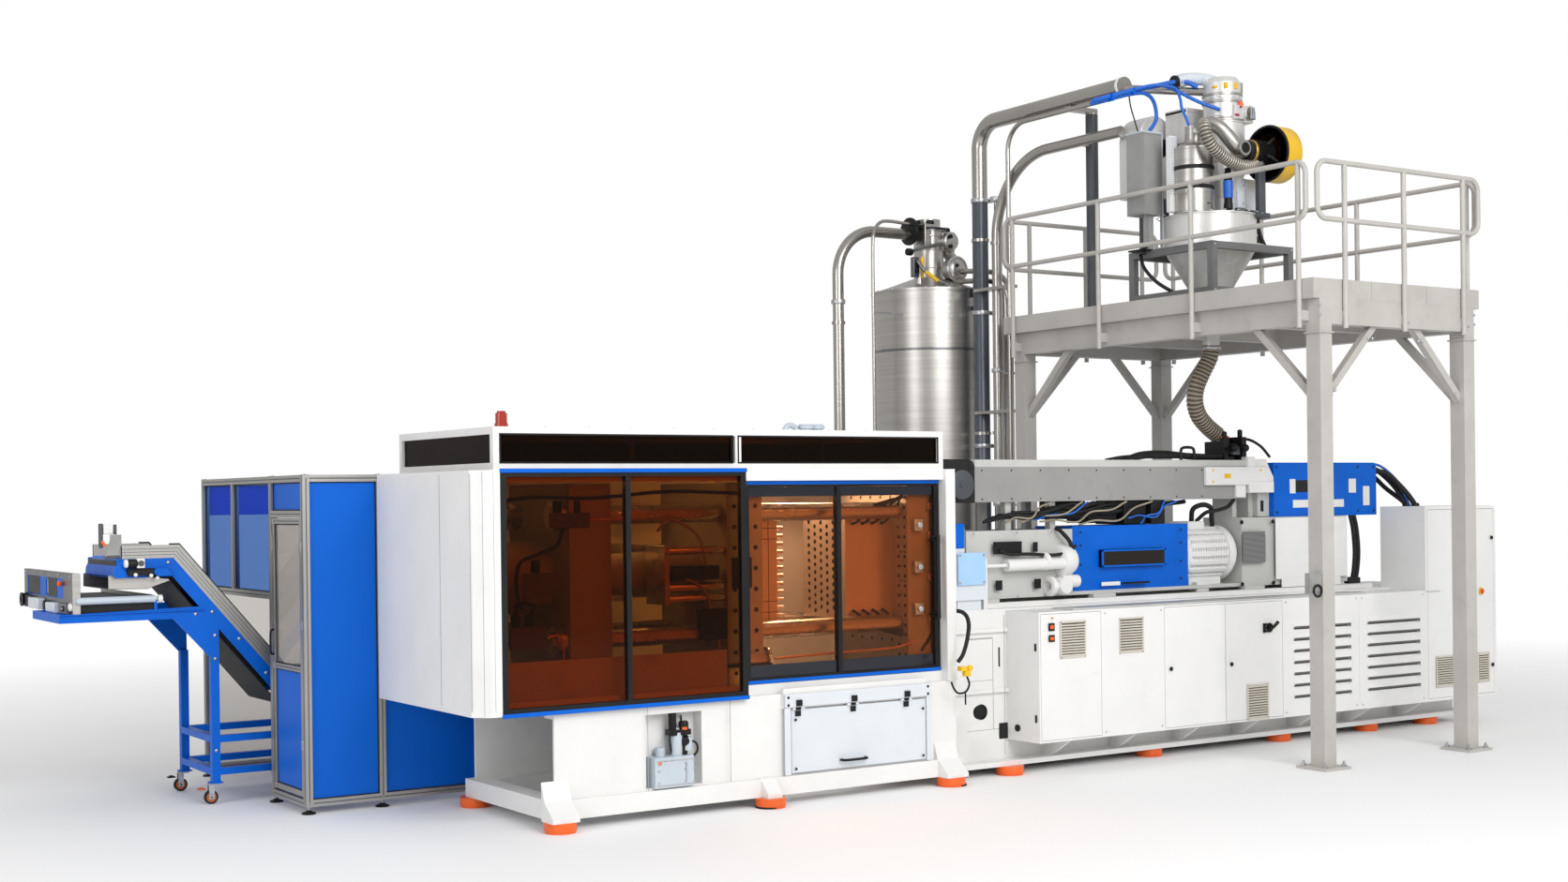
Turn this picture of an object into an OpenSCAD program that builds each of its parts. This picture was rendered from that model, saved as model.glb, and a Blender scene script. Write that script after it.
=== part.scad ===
// Injection molding machine with take-out cell, outfeed conveyor, material platform and drying tower.
// Millimetres. +X runs from the clamp end to the injection end, +Y away from the operator, +Z up.
// Origin: floor point under the centre of the front levelling pad at the clamp end.

/* [Clamp bed] */
// Length of the clamp bed along the machine
bed_len = 3480; // [3400:10:3600]
// Width of the clamp bed over its bottom rails
bed_w = 1380; // [1340:10:1440]
// Height of the bed's top face above the floor
bed_top = 790; // [760:5:820]
// Height of the bottom rails
rail_h = 130; // [100:5:150]
// Thickness of the bed's side walls
wall_t = 20; // [15:1:25]
// Radius of a levelling pad
pad_r = 110; // [100:5:125]
// Height of a levelling pad
pad_h = 70; // [60:5:80]
// Length of the chute flap
flap_len = 1220; // [1150:10:1250]
// Height of the chute flap
flap_h = 456; // [430:2:470]

/* [Guard] */
// Height of the guard housing above the bed
guard_h = 1620; // [1580:10:1680]
// Depth of the guard housing, front to back
guard_w = 1700; // [1650:10:1750]
// How far the guard reaches past the bed's free end
guard_overhang = 516; // [480:4:540]
// Thickness of the guard's sheet panels
guard_t = 25; // [20:1:30]
// Length of the fixed front window
window_len = 1910; // [1880:10:1930]
// Length of the sliding mould door
mould_door_len = 1770; // [1740:5:1780]
// Thickness of the window and door frames
frame_t = 50; // [46:1:54]
// Width of the black border round a pane
border = 45; // [35:1:55]
// Thickness of the glazing
glass_t = 8; // [6:1:10]
// Height of the roof frame above the guard
roof_h = 290; // [260:5:320]
// Side of the roof frame's bars
roof_bar = 50; // [40:1:60]

/* [Platens and mould] */
// Height of the machine axis above the floor
axis_z = 1670; // [1650:5:1690]
// Width of the platens
platen_w = 940; // [920:5:950]
// Height of the platens above the machine axis
platen_up = 650; // [620:5:680]
// Thickness of the fixed and end platens
platen_t = 320; // [300:5:330]
// Thickness of the moving platen
moving_t = 300; // [280:5:310]
// Radius of the tie bars
bar_r = 65; // [55:1:70]
// Distance between tie bars, front to back
bar_pitch_y = 700; // [690:5:720]
// Distance between tie bars, bottom to top
bar_pitch_z = 860; // [850:5:880]
// Width of the mould
mould_w = 490; // [460:5:500]
// Height of the mould
mould_h = 740; // [680:5:750]
// Thickness of the fixed mould half
mould_fixed_t = 450; // [420:5:460]
// Thickness of the moving mould half
half_t = 250; // [230:5:260]
// Length of a core
core_len = 100; // [80:1:105]
// Radius of a core
core_r = 14; // [12:0.5:15]
// Travel of the moving platen from open to closed
platen_travel = 620; // [560:5:628]
// Radius of the clamp ram
ram_r = 150; // [130:1:160]

/* [Injection bed and cabinets] */
// Length of the injection bed
inj_len = 6270; // [6200:10:6350]
// Height of the injection bed's top face above the floor
inj_top = 1300; // [1290:1:1320]
// Width of the injection bed over its walls
inj_w = 950; // [930:5:980]
// Height of the cabinets' underside above the floor
cab_z0 = 260; // [240:5:280]
// Height of the cabinet row
cab_h = 1025; // [1010:1:1030]
// Depth of the cabinet row
cab_d = 400; // [380:5:420]
// Width of the tall cabinet
tall_w = 1030; // [1000:5:1060]
// Height of the tall cabinet
tall_h = 1795; // [1760:5:1830]
// Depth of the tall cabinet
tall_d = 500; // [480:5:530]
// Thickness of the cabinet doors
door_t = 18; // [16:1:20]
// Gap round a cabinet door
door_gap = 5; // [4.5:0.5:6]
// Radius of the main switch's knob
knob_r = 24; // [20:1:30]
// Radius of the emergency stop button
estop_r = 22; // [18:1:28]

/* [Injection unit] */
// Height of the carriage rails
slide_rail_h = 40; // [36:1:44]
// Depth of the injection unit, front to back
unit_w = 460; // [450:2:470]
// Radius of the injection barrel
shot_r = 100; // [90:1:105]
// Length of the blue drive cover
cover_len = 1340; // [1300:5:1360]
// Height of the blue drive cover
cover_h = 540; // [520:5:560]
// Radius of the finned motor
motor_r = 236; // [220:1:240]
// Length of the finned motor
motor_len = 640; // [600:5:650]
// Length of the barrel guard
guard_beam_len = 3450; // [3400:10:3480]
// Height of the barrel guard
guard_beam_h = 340; // [320:5:360]
// Radius of the plasticising barrel
barrel_r = 110; // [100:1:120]
// Radius of the plasticising screw
screw_r = 60; // [50:1:65]
// Length of the upper drive cover
upper_len = 1400; // [1360:5:1420]
// Height of the upper drive cover
upper_h = 490; // [460:5:510]

/* [Platform] */
// Height of the deck's underside above the floor
deck_z = 3735; // [3700:5:3800]
// Size of the platform along the machine
platform_x = 2070; // [2040:5:2120]
// Size of the platform across the machine
platform_y = 3750; // [3700:10:3850]
// Side of the square posts
post = 140; // [120:5:150]
// Height of the main beams
beam_h = 200; // [180:5:220]
// Height of the toe boards
toe_h = 160; // [140:5:180]
// Height of the top handrail above the deck
handrail_h = 1085; // [1050:5:1120]
// Radius of the handrail tube
tube_r = 21; // [18:1:24]
// Side of a post's base plate
base_plate = 300; // [290:5:320]
// Distance between anchor holes of a base plate
anchor_pitch = 220; // [216:2:230]
// Radius of an anchor hole
anchor_r = 9; // [7:0.5:11]

/* [Material handling] */
// Side of the square hopper stand
stand_w = 1000; // [960:10:1040]
// Height of the hopper stand
stand_h = 595; // [560:5:630]
// Radius of the hopper
hopper_r = 400; // [380:5:410]
// Height of the hopper's straight wall
hopper_h = 280; // [250:5:310]
// Radius of the vacuum receiver's body
recv_r = 190; // [170:5:200]
// Radius of the dust filter
filter_r = 172; // [160:5:185]
// Radius of the blower's yellow drum
drum_r = 245; // [230:5:260]
// Radius of the main conveying pipe
pipe_r = 75; // [70:1:85]
// Radius of the second conveying pipe
second_pipe_r = 50; // [40:1:55]
// Height of the main pipe's run above the floor
run_z = 5860; // [5830:10:5900]
// Radius of the throat hose
hose_r = 75; // [65:1:80]
// Radius of the drying tower
tower_r = 575; // [550:5:600]
// Height of the drying tower's rim above the floor
rim_z = 4240; // [4200:10:4280]

/* [Take-out cell] */
// Size of the cell along the machine
cell_x = 2600; // [2500:10:2700]
// Size of the cell across the machine
cell_y = 2400; // [2300:10:2500]
// Height of the cell above the floor
cell_top = 2410; // [2380:5:2440]
// Side of the cell's aluminium profiles
profile = 50; // [46:1:54]
// Thickness of the cell's panels
panel_t = 6; // [4:1:8]

/* [Outfeed conveyor] */
// Width of the conveyor over its side plates
conv_w = 840; // [800:5:850]
// Slope of the inclined run in degrees
slope = 50; // [48:0.5:52]
// Height of the upper run's side plates above the floor
conv_top = 1822; // [1800:2:1850]
// Height of the lower run's side plates above the floor
conv_low = 820; // [800:5:840]
// Depth of the side plates
conv_side = 90; // [80:2:100]
// Radius of a castor wheel
wheel_r = 50; // [45:1:55]
// Width of a castor wheel
wheel_w = 30; // [26:1:34]

/* [Hidden] */
$fn = 64;

// Running clearance between pieces that move against each other
gap = 0.3;
// Amount by which a cut passes the face it cuts
cut = 1;
vent_slots = 12;

// Colours
white = [0.93, 0.93, 0.93];
light_grey = [0.80, 0.81, 0.82];
mid_grey = [0.60, 0.60, 0.59];
dark_grey = [0.28, 0.29, 0.31];
black = [0.06, 0.06, 0.06];
blue = [0.00, 0.30, 0.78];
steel = [0.66, 0.65, 0.63];
aluminium = [0.72, 0.70, 0.67];
pale_grey = [0.77, 0.75, 0.72];
orange = [0.95, 0.35, 0.08];
yellow = [0.98, 0.78, 0.05];
amber = [0.45, 0.22, 0.08, 0.6];

// ---- shapes used by many pieces ----

// Block from its lowest corner to its highest corner
module box(lo, hi) {
  translate(lo) cube(hi - lo);
}

// Round bar along X, Y or Z
module rod_x(x0, x1, y, z, r) {
  translate([x0, y, z]) rotate([0, 90, 0]) cylinder(h = x1 - x0, r = r);
}
module rod_y(y0, y1, x, z, r) {
  translate([x, y0, z]) rotate([-90, 0, 0]) cylinder(h = y1 - y0, r = r);
}
module rod_z(z0, z1, x, y, r) {
  translate([x, y, z0]) cylinder(h = z1 - z0, r = r);
}

// Round bar between two points
module rod_between(a, b, r) {
  v = b - a;
  len = norm(v);
  translate(a) rotate([0, acos(v.z / len), atan2(v.y, v.x)]) cylinder(h = len, r = r);
}

// Outline in the XZ plane, given as [x, z] points, made solid from y0 to y1
module plate_xz(points, y0, y1) {
  translate([0, y1, 0]) rotate([90, 0, 0]) linear_extrude(y1 - y0) polygon(points);
}

// Outline in the YZ plane, given as [y, z] points, made solid from x0 to x1
module plate_yz(points, x0, x1) {
  translate([x0, 0, 0]) rotate([90, 0, 90]) linear_extrude(x1 - x0) polygon(points);
}

// Upright frame in the XZ plane with an open middle
module frame_xz(lo, hi, bar) {
  difference() {
    box(lo, hi);
    box([lo.x + bar, lo.y - cut, lo.z + bar], [hi.x - bar, hi.y + cut, hi.z - bar]);
  }
}

// Block with walls all round and the middle open from bottom to top
module ring_block(lo, hi, wall_x, wall_y) {
  difference() {
    box(lo, hi);
    box([lo.x + wall_x, lo.y + wall_y, lo.z - cut], [hi.x - wall_x, hi.y - wall_y, hi.z + cut]);
  }
}

// Row of horizontal vent slots cut through a face that looks along -Y
module vent_cut(x0, x1, z0, z1, y) {
  pitch = (z1 - z0) / vent_slots;
  for (i = [0:vent_slots - 1])
    box([x0, y - cut, z0 + i * pitch], [x1, y + door_t + cut, z0 + (i + 0.5) * pitch]);
}

// ---- clamp bed and what stands on it ----

bed_x0 = -50;
bed_x1 = bed_x0 + bed_len;
bed_y0 = 30;
bed_y1 = bed_y0 + bed_w;
rail_w = 150;
rail_top = pad_h + rail_h;
recess_t = 10;
wall_in = 50; // wall's setback from the rail's face
face_y = bed_y0 + wall_in;
back_face = bed_y1 - wall_in;
foot_back_y = bed_y1 - 55;
feet_x = [0, bed_len / 2 - 70, bed_x1 - 120];
mid_y = (bed_y0 + bed_y1) / 2 - 40;

top_plate_t = 20;
ledge_h = 50;
ledge_w = 140;
way_w = 80; // guideways of the moving platen
way_h = 50;
way_off = 320;
way_top = bed_top + way_h;
way_x0 = 600;

recess = [[700, face_y, rail_top + recess_t], [1150, 200, 720]];

flap_x0 = bed_x1 - 1540;
flap_x1 = flap_x0 + flap_len;
hinge_r = 9;
hinge_z = bed_top - 110;
hinge_y = face_y - 39;
flap_y0 = face_y - 30;
flap_z1 = hinge_z - 8;
flap_z0 = flap_z1 - flap_h;
knuckle = 60;
knuckle_x = [for (k = [0.045, 0.44, 0.845]) flap_x0 + k * flap_len];
strip_z1 = bed_top + 40;
strip_z0 = hinge_z + 4;
leaf_t = 6;
leaf_h = 70;

module corner_bracket(x, w, reach) {
  plate_yz([[face_y, pad_h], [-reach, pad_h], [-reach, pad_h + 30], [bed_y0, rail_top],
    [face_y, rail_top + (reach > 80 ? 130 : 10)]], x - w / 2, x + w / 2);
}

module clamp_bed() {
  color(white) difference() {
    union() {
      ring_block([bed_x0, bed_y0, pad_h], [bed_x1, bed_y1, rail_top], rail_w, rail_w);
      box([bed_len / 2, bed_y0 + rail_w, pad_h], [bed_len / 2 + rail_w, bed_y1 - rail_w, rail_top]);
      box([0, face_y, rail_top], [bed_x1, face_y + wall_t, bed_top]);
      box([0, back_face - wall_t, rail_top], [bed_x1, back_face, bed_top]);
      box([bed_x1 - wall_t, face_y, rail_top], [bed_x1, back_face, bed_top]);
      box([bed_len / 2, face_y, rail_top], [bed_len / 2 + wall_t, back_face, bed_top]);
      box([0, face_y, bed_top - top_plate_t], [bed_x1, back_face, bed_top]);
      box([0, face_y, bed_top - ledge_h], [bed_x1, face_y + ledge_w, bed_top]);
      box([0, back_face - ledge_w, bed_top - ledge_h], [bed_x1, back_face, bed_top]);
      for (s = [-1, 1])
        box([way_x0, mid_y + s * way_off - way_w / 2, bed_top],
          [platen_x0, mid_y + s * way_off + way_w / 2, way_top]);
      for (x = feet_x) corner_bracket(x, x > 0 && x < bed_x1 - 200 ? 120 : 200,
        x > 0 && x < bed_x1 - 200 ? 60 : 90);
      box(recess[0] - [recess_t, 0, recess_t], recess[1] + [recess_t, 0, recess_t]);
      box([flap_x0 - 68, flap_y0, strip_z0], [flap_x1 + 10, face_y, strip_z1]);
      for (x = knuckle_x) fixed_knuckles(x);
    }
    box(recess[0] - [0, cut, 0], recess[1] - [0, recess_t, 0]);
    box([flap_x0 + 20, face_y - cut, flap_z0 + 20],
      [flap_x1 - 20, face_y + wall_t + cut, flap_z1 - 20]);
    box([flap_x0 + 60, mid_y - 240, bed_top - ledge_h], [flap_x1 - 150, mid_y + 240, bed_top + cut]);
  }
}

module fixed_knuckles(x) {
  side = knuckle / 2 + gap;
  for (s = [-1, 1]) {
    x0 = s < 0 ? x - side - 20 : x + side;
    rod_x(x0, x0 + 20, hinge_y, hinge_z, hinge_r);
    box([x0, flap_y0 - leaf_t, hinge_z], [x0 + 20, flap_y0, hinge_z + leaf_h]);
  }
}

module chute_flap() {
  color(light_grey) {
    box([flap_x0, flap_y0, flap_z0], [flap_x1, face_y - gap, flap_z1]);
    for (x = knuckle_x) {
      rod_x(x - knuckle / 2, x + knuckle / 2, hinge_y, hinge_z, hinge_r);
      box([x - knuckle / 2, flap_y0 - leaf_t, hinge_z - leaf_h], [x + knuckle / 2, flap_y0, hinge_z]);
    }
    pull_handle(flap_x0 + flap_len * 0.44, flap_y0, flap_z0 + 55, 200);
  }
}

// Bow handle on a face that looks along -Y
module pull_handle(x, y, z, len) {
  rod_x(x - len / 2, x + len / 2, y - 35, z, 8);
  for (s = [-1, 1]) rod_y(y - 35, y, x + s * (len / 2 - 10), z, 7);
}

inj_feet = [for (d = [610, 2220, 3800, 4970, 5820]) bed_x1 + d];

module leveling_feet() {
  for (x = feet_x, y = [0, foot_back_y]) foot_pad(x, y);
  for (i = [0:len(inj_feet) - 1]) {
    foot_pad(inj_feet[i], i == 0 ? inj_y0 - 130 : inj_y0 - 30);
    foot_pad(inj_feet[i], inj_y1 - 60);
  }
}

module foot_pad(x, y) {
  sole_h = 15;
  color(orange) union() {
    rod_z(0, sole_h, x, y, pad_r - 5);
    rod_z(sole_h, pad_h, x, y, pad_r);
  }
}

module lube_unit() {
  x = recess[0].x + 50;
  y1 = recess[1].y - recess_t;
  z0 = recess[0].z;
  z1 = z0 + 210;
  color(light_grey) union() {
    box([x, y1 - 150, z0], [x + 310, y1, z1]);
    rod_z(z1, z1 + 60, x + 90, y1 - 60, 34);
  }
  color(black) union() {
    rod_z(z1, z1 + 160, x + 210, y1 - 80, 42);
    rod_z(z1 + 160, z1 + 190, x + 210, y1 - 80, 24);
    rod_x(x + 210, x + 300, y1 - 80, z1 + 80, 16);
    rod_z(z1 + 30, z1 + 120, x + 300, y1 - 80, 36);
  }
}

// ---- guard, roof and front window ----

guard_x0 = bed_x0 - guard_overhang;
guard_y0 = bed_y0 + 10;
guard_y1 = guard_y0 + guard_w;
guard_z1 = bed_top + guard_h;
bevel = 100;
corner_x = guard_x0 + bevel + 76; // where the front window starts
window_x0 = corner_x;
window_x1 = window_x0 + window_len;
mid = (window_x0 + window_x1) / 2;
beam_y0 = guard_y0 + frame_t;
track_y0 = beam_y0 + frame_t; // plane of the sliding door
track_y1 = track_y0 + frame_t;
top_beam_z = guard_z1 - 80;
door_z0 = bed_top + 75;
door_z1 = top_beam_z;
door_x1 = bed_x1 - 100;
door_x0 = door_x1 - mould_door_len;
pillar_x0 = door_x1 + 10;
mullion_w = 38;

module guard_shell() {
  t = guard_t;
  color(white) difference() {
    union() {
      translate([0, 0, bed_top]) linear_extrude(guard_h) polygon([
        [guard_x0, guard_y0 + bevel], [guard_x0 + bevel, guard_y0], [corner_x, guard_y0],
        [corner_x, guard_y0 + t], [guard_x0 + bevel + t / 2, guard_y0 + t],
        [guard_x0 + t, guard_y0 + bevel + t / 2], [guard_x0 + t, guard_y1], [guard_x0, guard_y1]]);
      box([guard_x0 + t, guard_y0 + bevel + t, bed_top], [0, guard_y1 - t, bed_top + t]);
      box([corner_x - t, guard_y0 + t, bed_top], [corner_x, guard_y0 + bevel + 2 * t, guard_z1]);
      box([corner_x - t, beam_y0, top_beam_z], [bed_x1, track_y0, guard_z1]);
      box([corner_x - t, beam_y0, bed_top], [window_x1 + 40, track_y0, bed_top + border]);
      box([corner_x, track_y0, bed_top], [bed_x1, track_y1, door_z0 - gap]);
      box([corner_x, track_y0, door_z1 + gap], [bed_x1, track_y1, guard_z1]);
      box([pillar_x0, guard_y0 + 20, bed_top], [bed_x1, track_y1, guard_z1]);
      box([bed_x1 - t, track_y0, bed_top], [bed_x1, guard_y1, guard_z1]);
      box([guard_x0, guard_y1 - t, bed_top], [bed_x1, guard_y1, guard_z1]);
    }
    box([bed_x1 - t - cut, mid_y - 400, axis_z - 260], [bed_x1 + cut, mid_y + 400, axis_z + 260]);
  }
}

module front_window_frame() {
  color(black) union() {
    frame_xz([window_x0, guard_y0, bed_top], [window_x1, guard_y0 + frame_t, guard_z1], border);
    box([mid - mullion_w / 2, guard_y0, bed_top + border],
      [mid + mullion_w / 2, guard_y0 + frame_t, guard_z1 - border]);
  }
}

roof_x0 = window_x0;
roof_x1 = bed_x1 - 50;
roof_y0 = track_y0;
roof_y1 = guard_y1;
roof_z1 = guard_z1 + roof_h;
roof_mid = (roof_x0 + roof_x1) / 2;
roof_post_x = [roof_x0, roof_mid, roof_x1 - roof_bar];
roof_post_y = [roof_y0, roof_y1 - roof_bar];

module roof_frame() {
  color(aluminium) union() {
    ring_block([roof_x0, roof_y0, guard_z1], [roof_x1, roof_y1, guard_z1 + roof_bar], roof_bar, roof_bar);
    box([roof_x0, roof_y0, roof_z1 - roof_bar / 5], [roof_x1, roof_y1, roof_z1]);
    ring_block([roof_x0, roof_y0, roof_z1 - roof_bar], [roof_x1, roof_y1, roof_z1], roof_bar, roof_bar);
    for (x = roof_post_x, y = roof_post_y)
      box([x, y, guard_z1], [x + roof_bar, y + roof_bar, roof_z1]);
  }
}

// Fixed panes of the front window and of the roof
module amber_glazing() {
  y0 = guard_y0 + 12;
  z0 = guard_z1 + roof_bar;
  z1 = roof_z1 - roof_bar;
  color(amber) {
    box([window_x0 + border, y0, bed_top + border], [mid - mullion_w / 2, y0 + glass_t,
      guard_z1 - border]);
    box([mid + mullion_w / 2, y0, bed_top + border], [window_x1 - border, y0 + glass_t,
      guard_z1 - border]);
    for (i = [0, 1], y = [roof_y0 + 20, roof_y1 - 20 - glass_t])
      box([roof_post_x[i] + roof_bar, y, z0], [roof_post_x[i + 1], y + glass_t, z1]);
    for (x = [roof_x0 + 20, roof_x1 - 20 - glass_t])
      box([x, roof_y0 + roof_bar, z0], [x + glass_t, roof_y1 - roof_bar, z1]);
  }
}

module beacon() {
  base_r = 45;
  x = roof_x0 + 85;
  y = roof_y0 + 50;
  color([0.75, 0.08, 0.03]) union() {
    rod_z(roof_z1, roof_z1 + 22, x, y, base_r);
    rod_z(roof_z1 + 22, roof_z1 + 90, x, y, base_r - 6);
    rod_z(roof_z1 + 90, roof_z1 + 104, x, y, base_r - 16);
  }
}

mullion_x = door_x1 - mould_door_len * 0.528;

module mould_door() {
  handle_x = door_x1 - 60;
  handle_y = track_y0 - 65;
  color(black) union() {
    frame_xz([door_x0, track_y0, door_z0], [door_x1, track_y1, door_z1], border);
    box([mullion_x - mullion_w / 2, track_y0, door_z0 + border],
      [mullion_x + mullion_w / 2, track_y1, door_z1 - border]);
    rod_z(axis_z - 400, axis_z + 240, handle_x, handle_y, 16);
    for (z = [axis_z - 370, axis_z + 210]) rod_y(handle_y, track_y0, handle_x, z, 12);
    for (z = [axis_z - 370, axis_z + 210])
      box([handle_x - 20, track_y0 - 8, z - 20], [door_x1 - 10, track_y0, z + 20]);
  }
}

module mould_door_glass() {
  y0 = track_y0 + 18;
  color(amber) {
    box([door_x0 + border, y0, door_z0 + border],
      [mullion_x - mullion_w / 2, y0 + glass_t, door_z1 - border]);
    box([mullion_x + mullion_w / 2, y0, door_z0 + border],
      [door_x1 - border, y0 + glass_t, door_z1 - border]);
  }
}

// ---- platens, tie bars and mould ----

platen_y0 = mid_y - platen_w / 2;
platen_y1 = mid_y + platen_w / 2;
platen_z1 = axis_z + platen_up;
platen_x1 = bed_x1 - 30;
platen_x0 = platen_x1 - platen_t;
rear_x0 = 200;
rear_x1 = rear_x0 + platen_t;
mould_x = platen_x0 - mould_fixed_t;
parting_gap = 1;
mov_x = mould_x - platen_travel - parting_gap - half_t;
moving_x0 = mov_x - moving_t;
nozzle_hole_r = 90;
clamp_cyl_x0 = -350;
clamp_cyl_t = 20;
clamp_cyl_r = 250;
ram_end_x = clamp_cyl_x0 + clamp_cyl_t + 30;
shoe_h = 180;
core_cols = 6;
core_rows = 12;
core_pitch_y = mould_w / core_cols;
core_pitch_z = mould_h / (core_rows + 0.5);

module at_tie_bars() {
  for (sy = [-1, 1], sz = [-1, 1])
    translate([0, mid_y + sy * bar_pitch_y / 2, axis_z + sz * bar_pitch_z / 2]) children();
}

module bar_bores(x0, x1) {
  at_tie_bars() rod_x(x0 - cut, x1 + cut, 0, 0, bar_r + gap);
}

// Places a child on every core of the mould
module at_cores() {
  for (i = [0:core_cols - 1], j = [0:core_rows - 1])
    translate([0, mid_y - mould_w / 2 + (i + 0.5) * core_pitch_y,
      axis_z - mould_h / 2 + (j + 0.5 + (i % 2) / 2) * core_pitch_z]) children();
}

module fixed_platen() {
  tap_r = 12;
  color(mid_grey) difference() {
    box([platen_x0, platen_y0, bed_top], [platen_x1, platen_y1, platen_z1]);
    bar_bores(platen_x0, platen_x1);
    rod_x(platen_x0 - cut, platen_x1 + cut, mid_y, axis_z, nozzle_hole_r);
    for (y = [platen_y0 + 40, platen_y0 + 90], k = [-2:2])
      rod_x(platen_x0 - cut, platen_x0 + 60, y, axis_z + k * 110, tap_r);
  }
}

module rear_platen() {
  color(mid_grey) difference() {
    union() {
      box([rear_x0, platen_y0, bed_top], [rear_x1, platen_y1, platen_z1]);
      rod_x(clamp_cyl_x0, rear_x1, mid_y, axis_z, clamp_cyl_r);
    }
    bar_bores(rear_x0, rear_x1);
    rod_x(clamp_cyl_x0 + clamp_cyl_t, rear_x1 + cut, mid_y, axis_z, ram_r + gap);
  }
}

module tie_bars() {
  nut_len = 80;
  color(steel) at_tie_bars() union() {
    rod_x(rear_x0 - nut_len - 20, platen_x1, 0, 0, bar_r);
    rod_x(rear_x0 - nut_len - gap, rear_x0 - gap, 0, 0, bar_r + 35);
  }
}

module moving_platen() {
  shoe_w = 100;
  color(mid_grey) difference() {
    union() {
      box([moving_x0, platen_y0, way_top + shoe_h], [mov_x, platen_y1, platen_z1]);
      rod_x(ram_end_x, moving_x0, mid_y, axis_z, ram_r);
      for (s = [-1, 1])
        box([moving_x0 - 50, mid_y + s * way_off - shoe_w / 2, way_top + gap],
          [mov_x + 50, mid_y + s * way_off + shoe_w / 2, way_top + shoe_h]);
    }
    bar_bores(moving_x0, mov_x);
  }
}

module mould_moving_half() {
  color(steel) union() {
    box([mov_x, mid_y - mould_w / 2 - 40, axis_z - mould_h / 2 - 20],
      [mov_x + half_t, mid_y + mould_w / 2 + 40, axis_z + mould_h / 2 + 20]);
    at_cores() rod_x(mov_x + half_t - cut, mov_x + half_t + core_len, 0, 0, core_r);
  }
}

module mould_fixed_half() {
  cavity_clear = 3;
  color(steel) difference() {
    box([mould_x, mid_y - mould_w / 2 - 40, axis_z - mould_h / 2 - 20],
      [platen_x0, mid_y + mould_w / 2 + 40, axis_z + mould_h / 2 + 20]);
    at_cores() rod_x(mould_x - cut, mould_x + core_len + 10, 0, 0, core_r + cavity_clear);
  }
}

// Trough in front of the guideways
module drop_tray() {
  trough = [[moving_x0, track_y1 + 12, way_top + 10], [platen_x0 - 20, track_y1 + 92, way_top + 140]];
  sheet_t = 6;
  color(white) {
    difference() {
      box(trough[0], trough[1]);
      box(trough[0] + [sheet_t, sheet_t, sheet_t], trough[1] - [sheet_t, sheet_t, -cut]);
    }
    for (x = [trough[0].x + 100, (trough[0].x + trough[1].x) / 2, trough[1].x - 100])
      box([x - 15, trough[0].y + 20, bed_top], [x + 15, trough[0].y + 50, trough[0].z]);
  }
}

// ---- injection bed and cabinets ----

inj_x0 = bed_x1;
inj_x1 = inj_x0 + inj_len;
inj_y0 = mid_y - inj_w / 2 + 95;
inj_y1 = inj_y0 + inj_w;
inj_wall = 20;
flange_t = 40;
slide_y = [mid_y - 230, mid_y + 230];
slide_rail_w = 60;
slide_z = inj_top + slide_rail_h;
gusset_reach = 60;
bracket_x = inj_x0 + 510;
pull_rod_y = [mid_y - 302, mid_y + 302];
pull_rod_r = 15;
pull_z = axis_z - 30;
pull_rod_len = 600;

module injection_bed() {
  ledge_x1 = cab_x0;
  color(white) difference() {
    union() {
      ring_block([inj_x0, inj_y0 - 150, pad_h], [inj_x1, inj_y1 + 50, pad_h + flange_t], 200, 250);
      box([inj_x0, inj_y0, pad_h], [inj_x1, inj_y0 + inj_wall, inj_top]);
      box([inj_x0, inj_y1 - inj_wall, pad_h], [inj_x1, inj_y1, inj_top]);
      for (x = [inj_x0, inj_x0 + inj_len / 2, inj_x1 - inj_wall])
        box([x, inj_y0, pad_h], [x + inj_wall, inj_y1, inj_top]);
      box([inj_x0, inj_y0, inj_top - inj_wall], [inj_x1, inj_y1, inj_top]);
      for (y = slide_y)
        box([inj_x0 + 70, y - slide_rail_w / 2, inj_top], [tall_x0 - 100, y + slide_rail_w / 2, slide_z]);
      for (z = [inj_top - 660, inj_top - 180])
        box([inj_x0, inj_y0 - 30, z], [ledge_x1, inj_y0, z + 30]);
      for (x = [cab_x0 + 380 : 720 : inj_x1 - 300])
        plate_yz([[inj_y0, pad_h], [inj_y0 - 100, pad_h + flange_t], [cab_y0 + gusset_reach, cab_z0],
          [inj_y0, cab_z0]], x, x + 24);
      for (y = pull_rod_y) {
        box([bracket_x, y - 30, inj_top], [bracket_x + 40, y + 30, pull_z + 60]);
        rod_x(bracket_x + 40, bracket_x + 40 + pull_rod_len, y, pull_z, pull_rod_r);
      }
    }
    rod_y(inj_y0 - cut, inj_y0 + inj_wall + cut, inj_x0 + 405, inj_top - 808, 55);
    box([inj_x0 + 610, inj_y0 - cut, inj_top - 1010], [inj_x0 + 680, inj_y0 + inj_wall + cut,
      inj_top - 940]);
    box([tall_x0, inj_y0 - cut, cab_z0], [inj_x1 + cut, tall_y1, inj_top + cut]);
    for (k = [1, 3]) box([inj_x0 + k * inj_len / 4 - 600, mid_y - 150, inj_top - inj_wall - cut],
      [inj_x0 + k * inj_len / 4 + 600, mid_y + 150, inj_top + cut]);
  }
}

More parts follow.
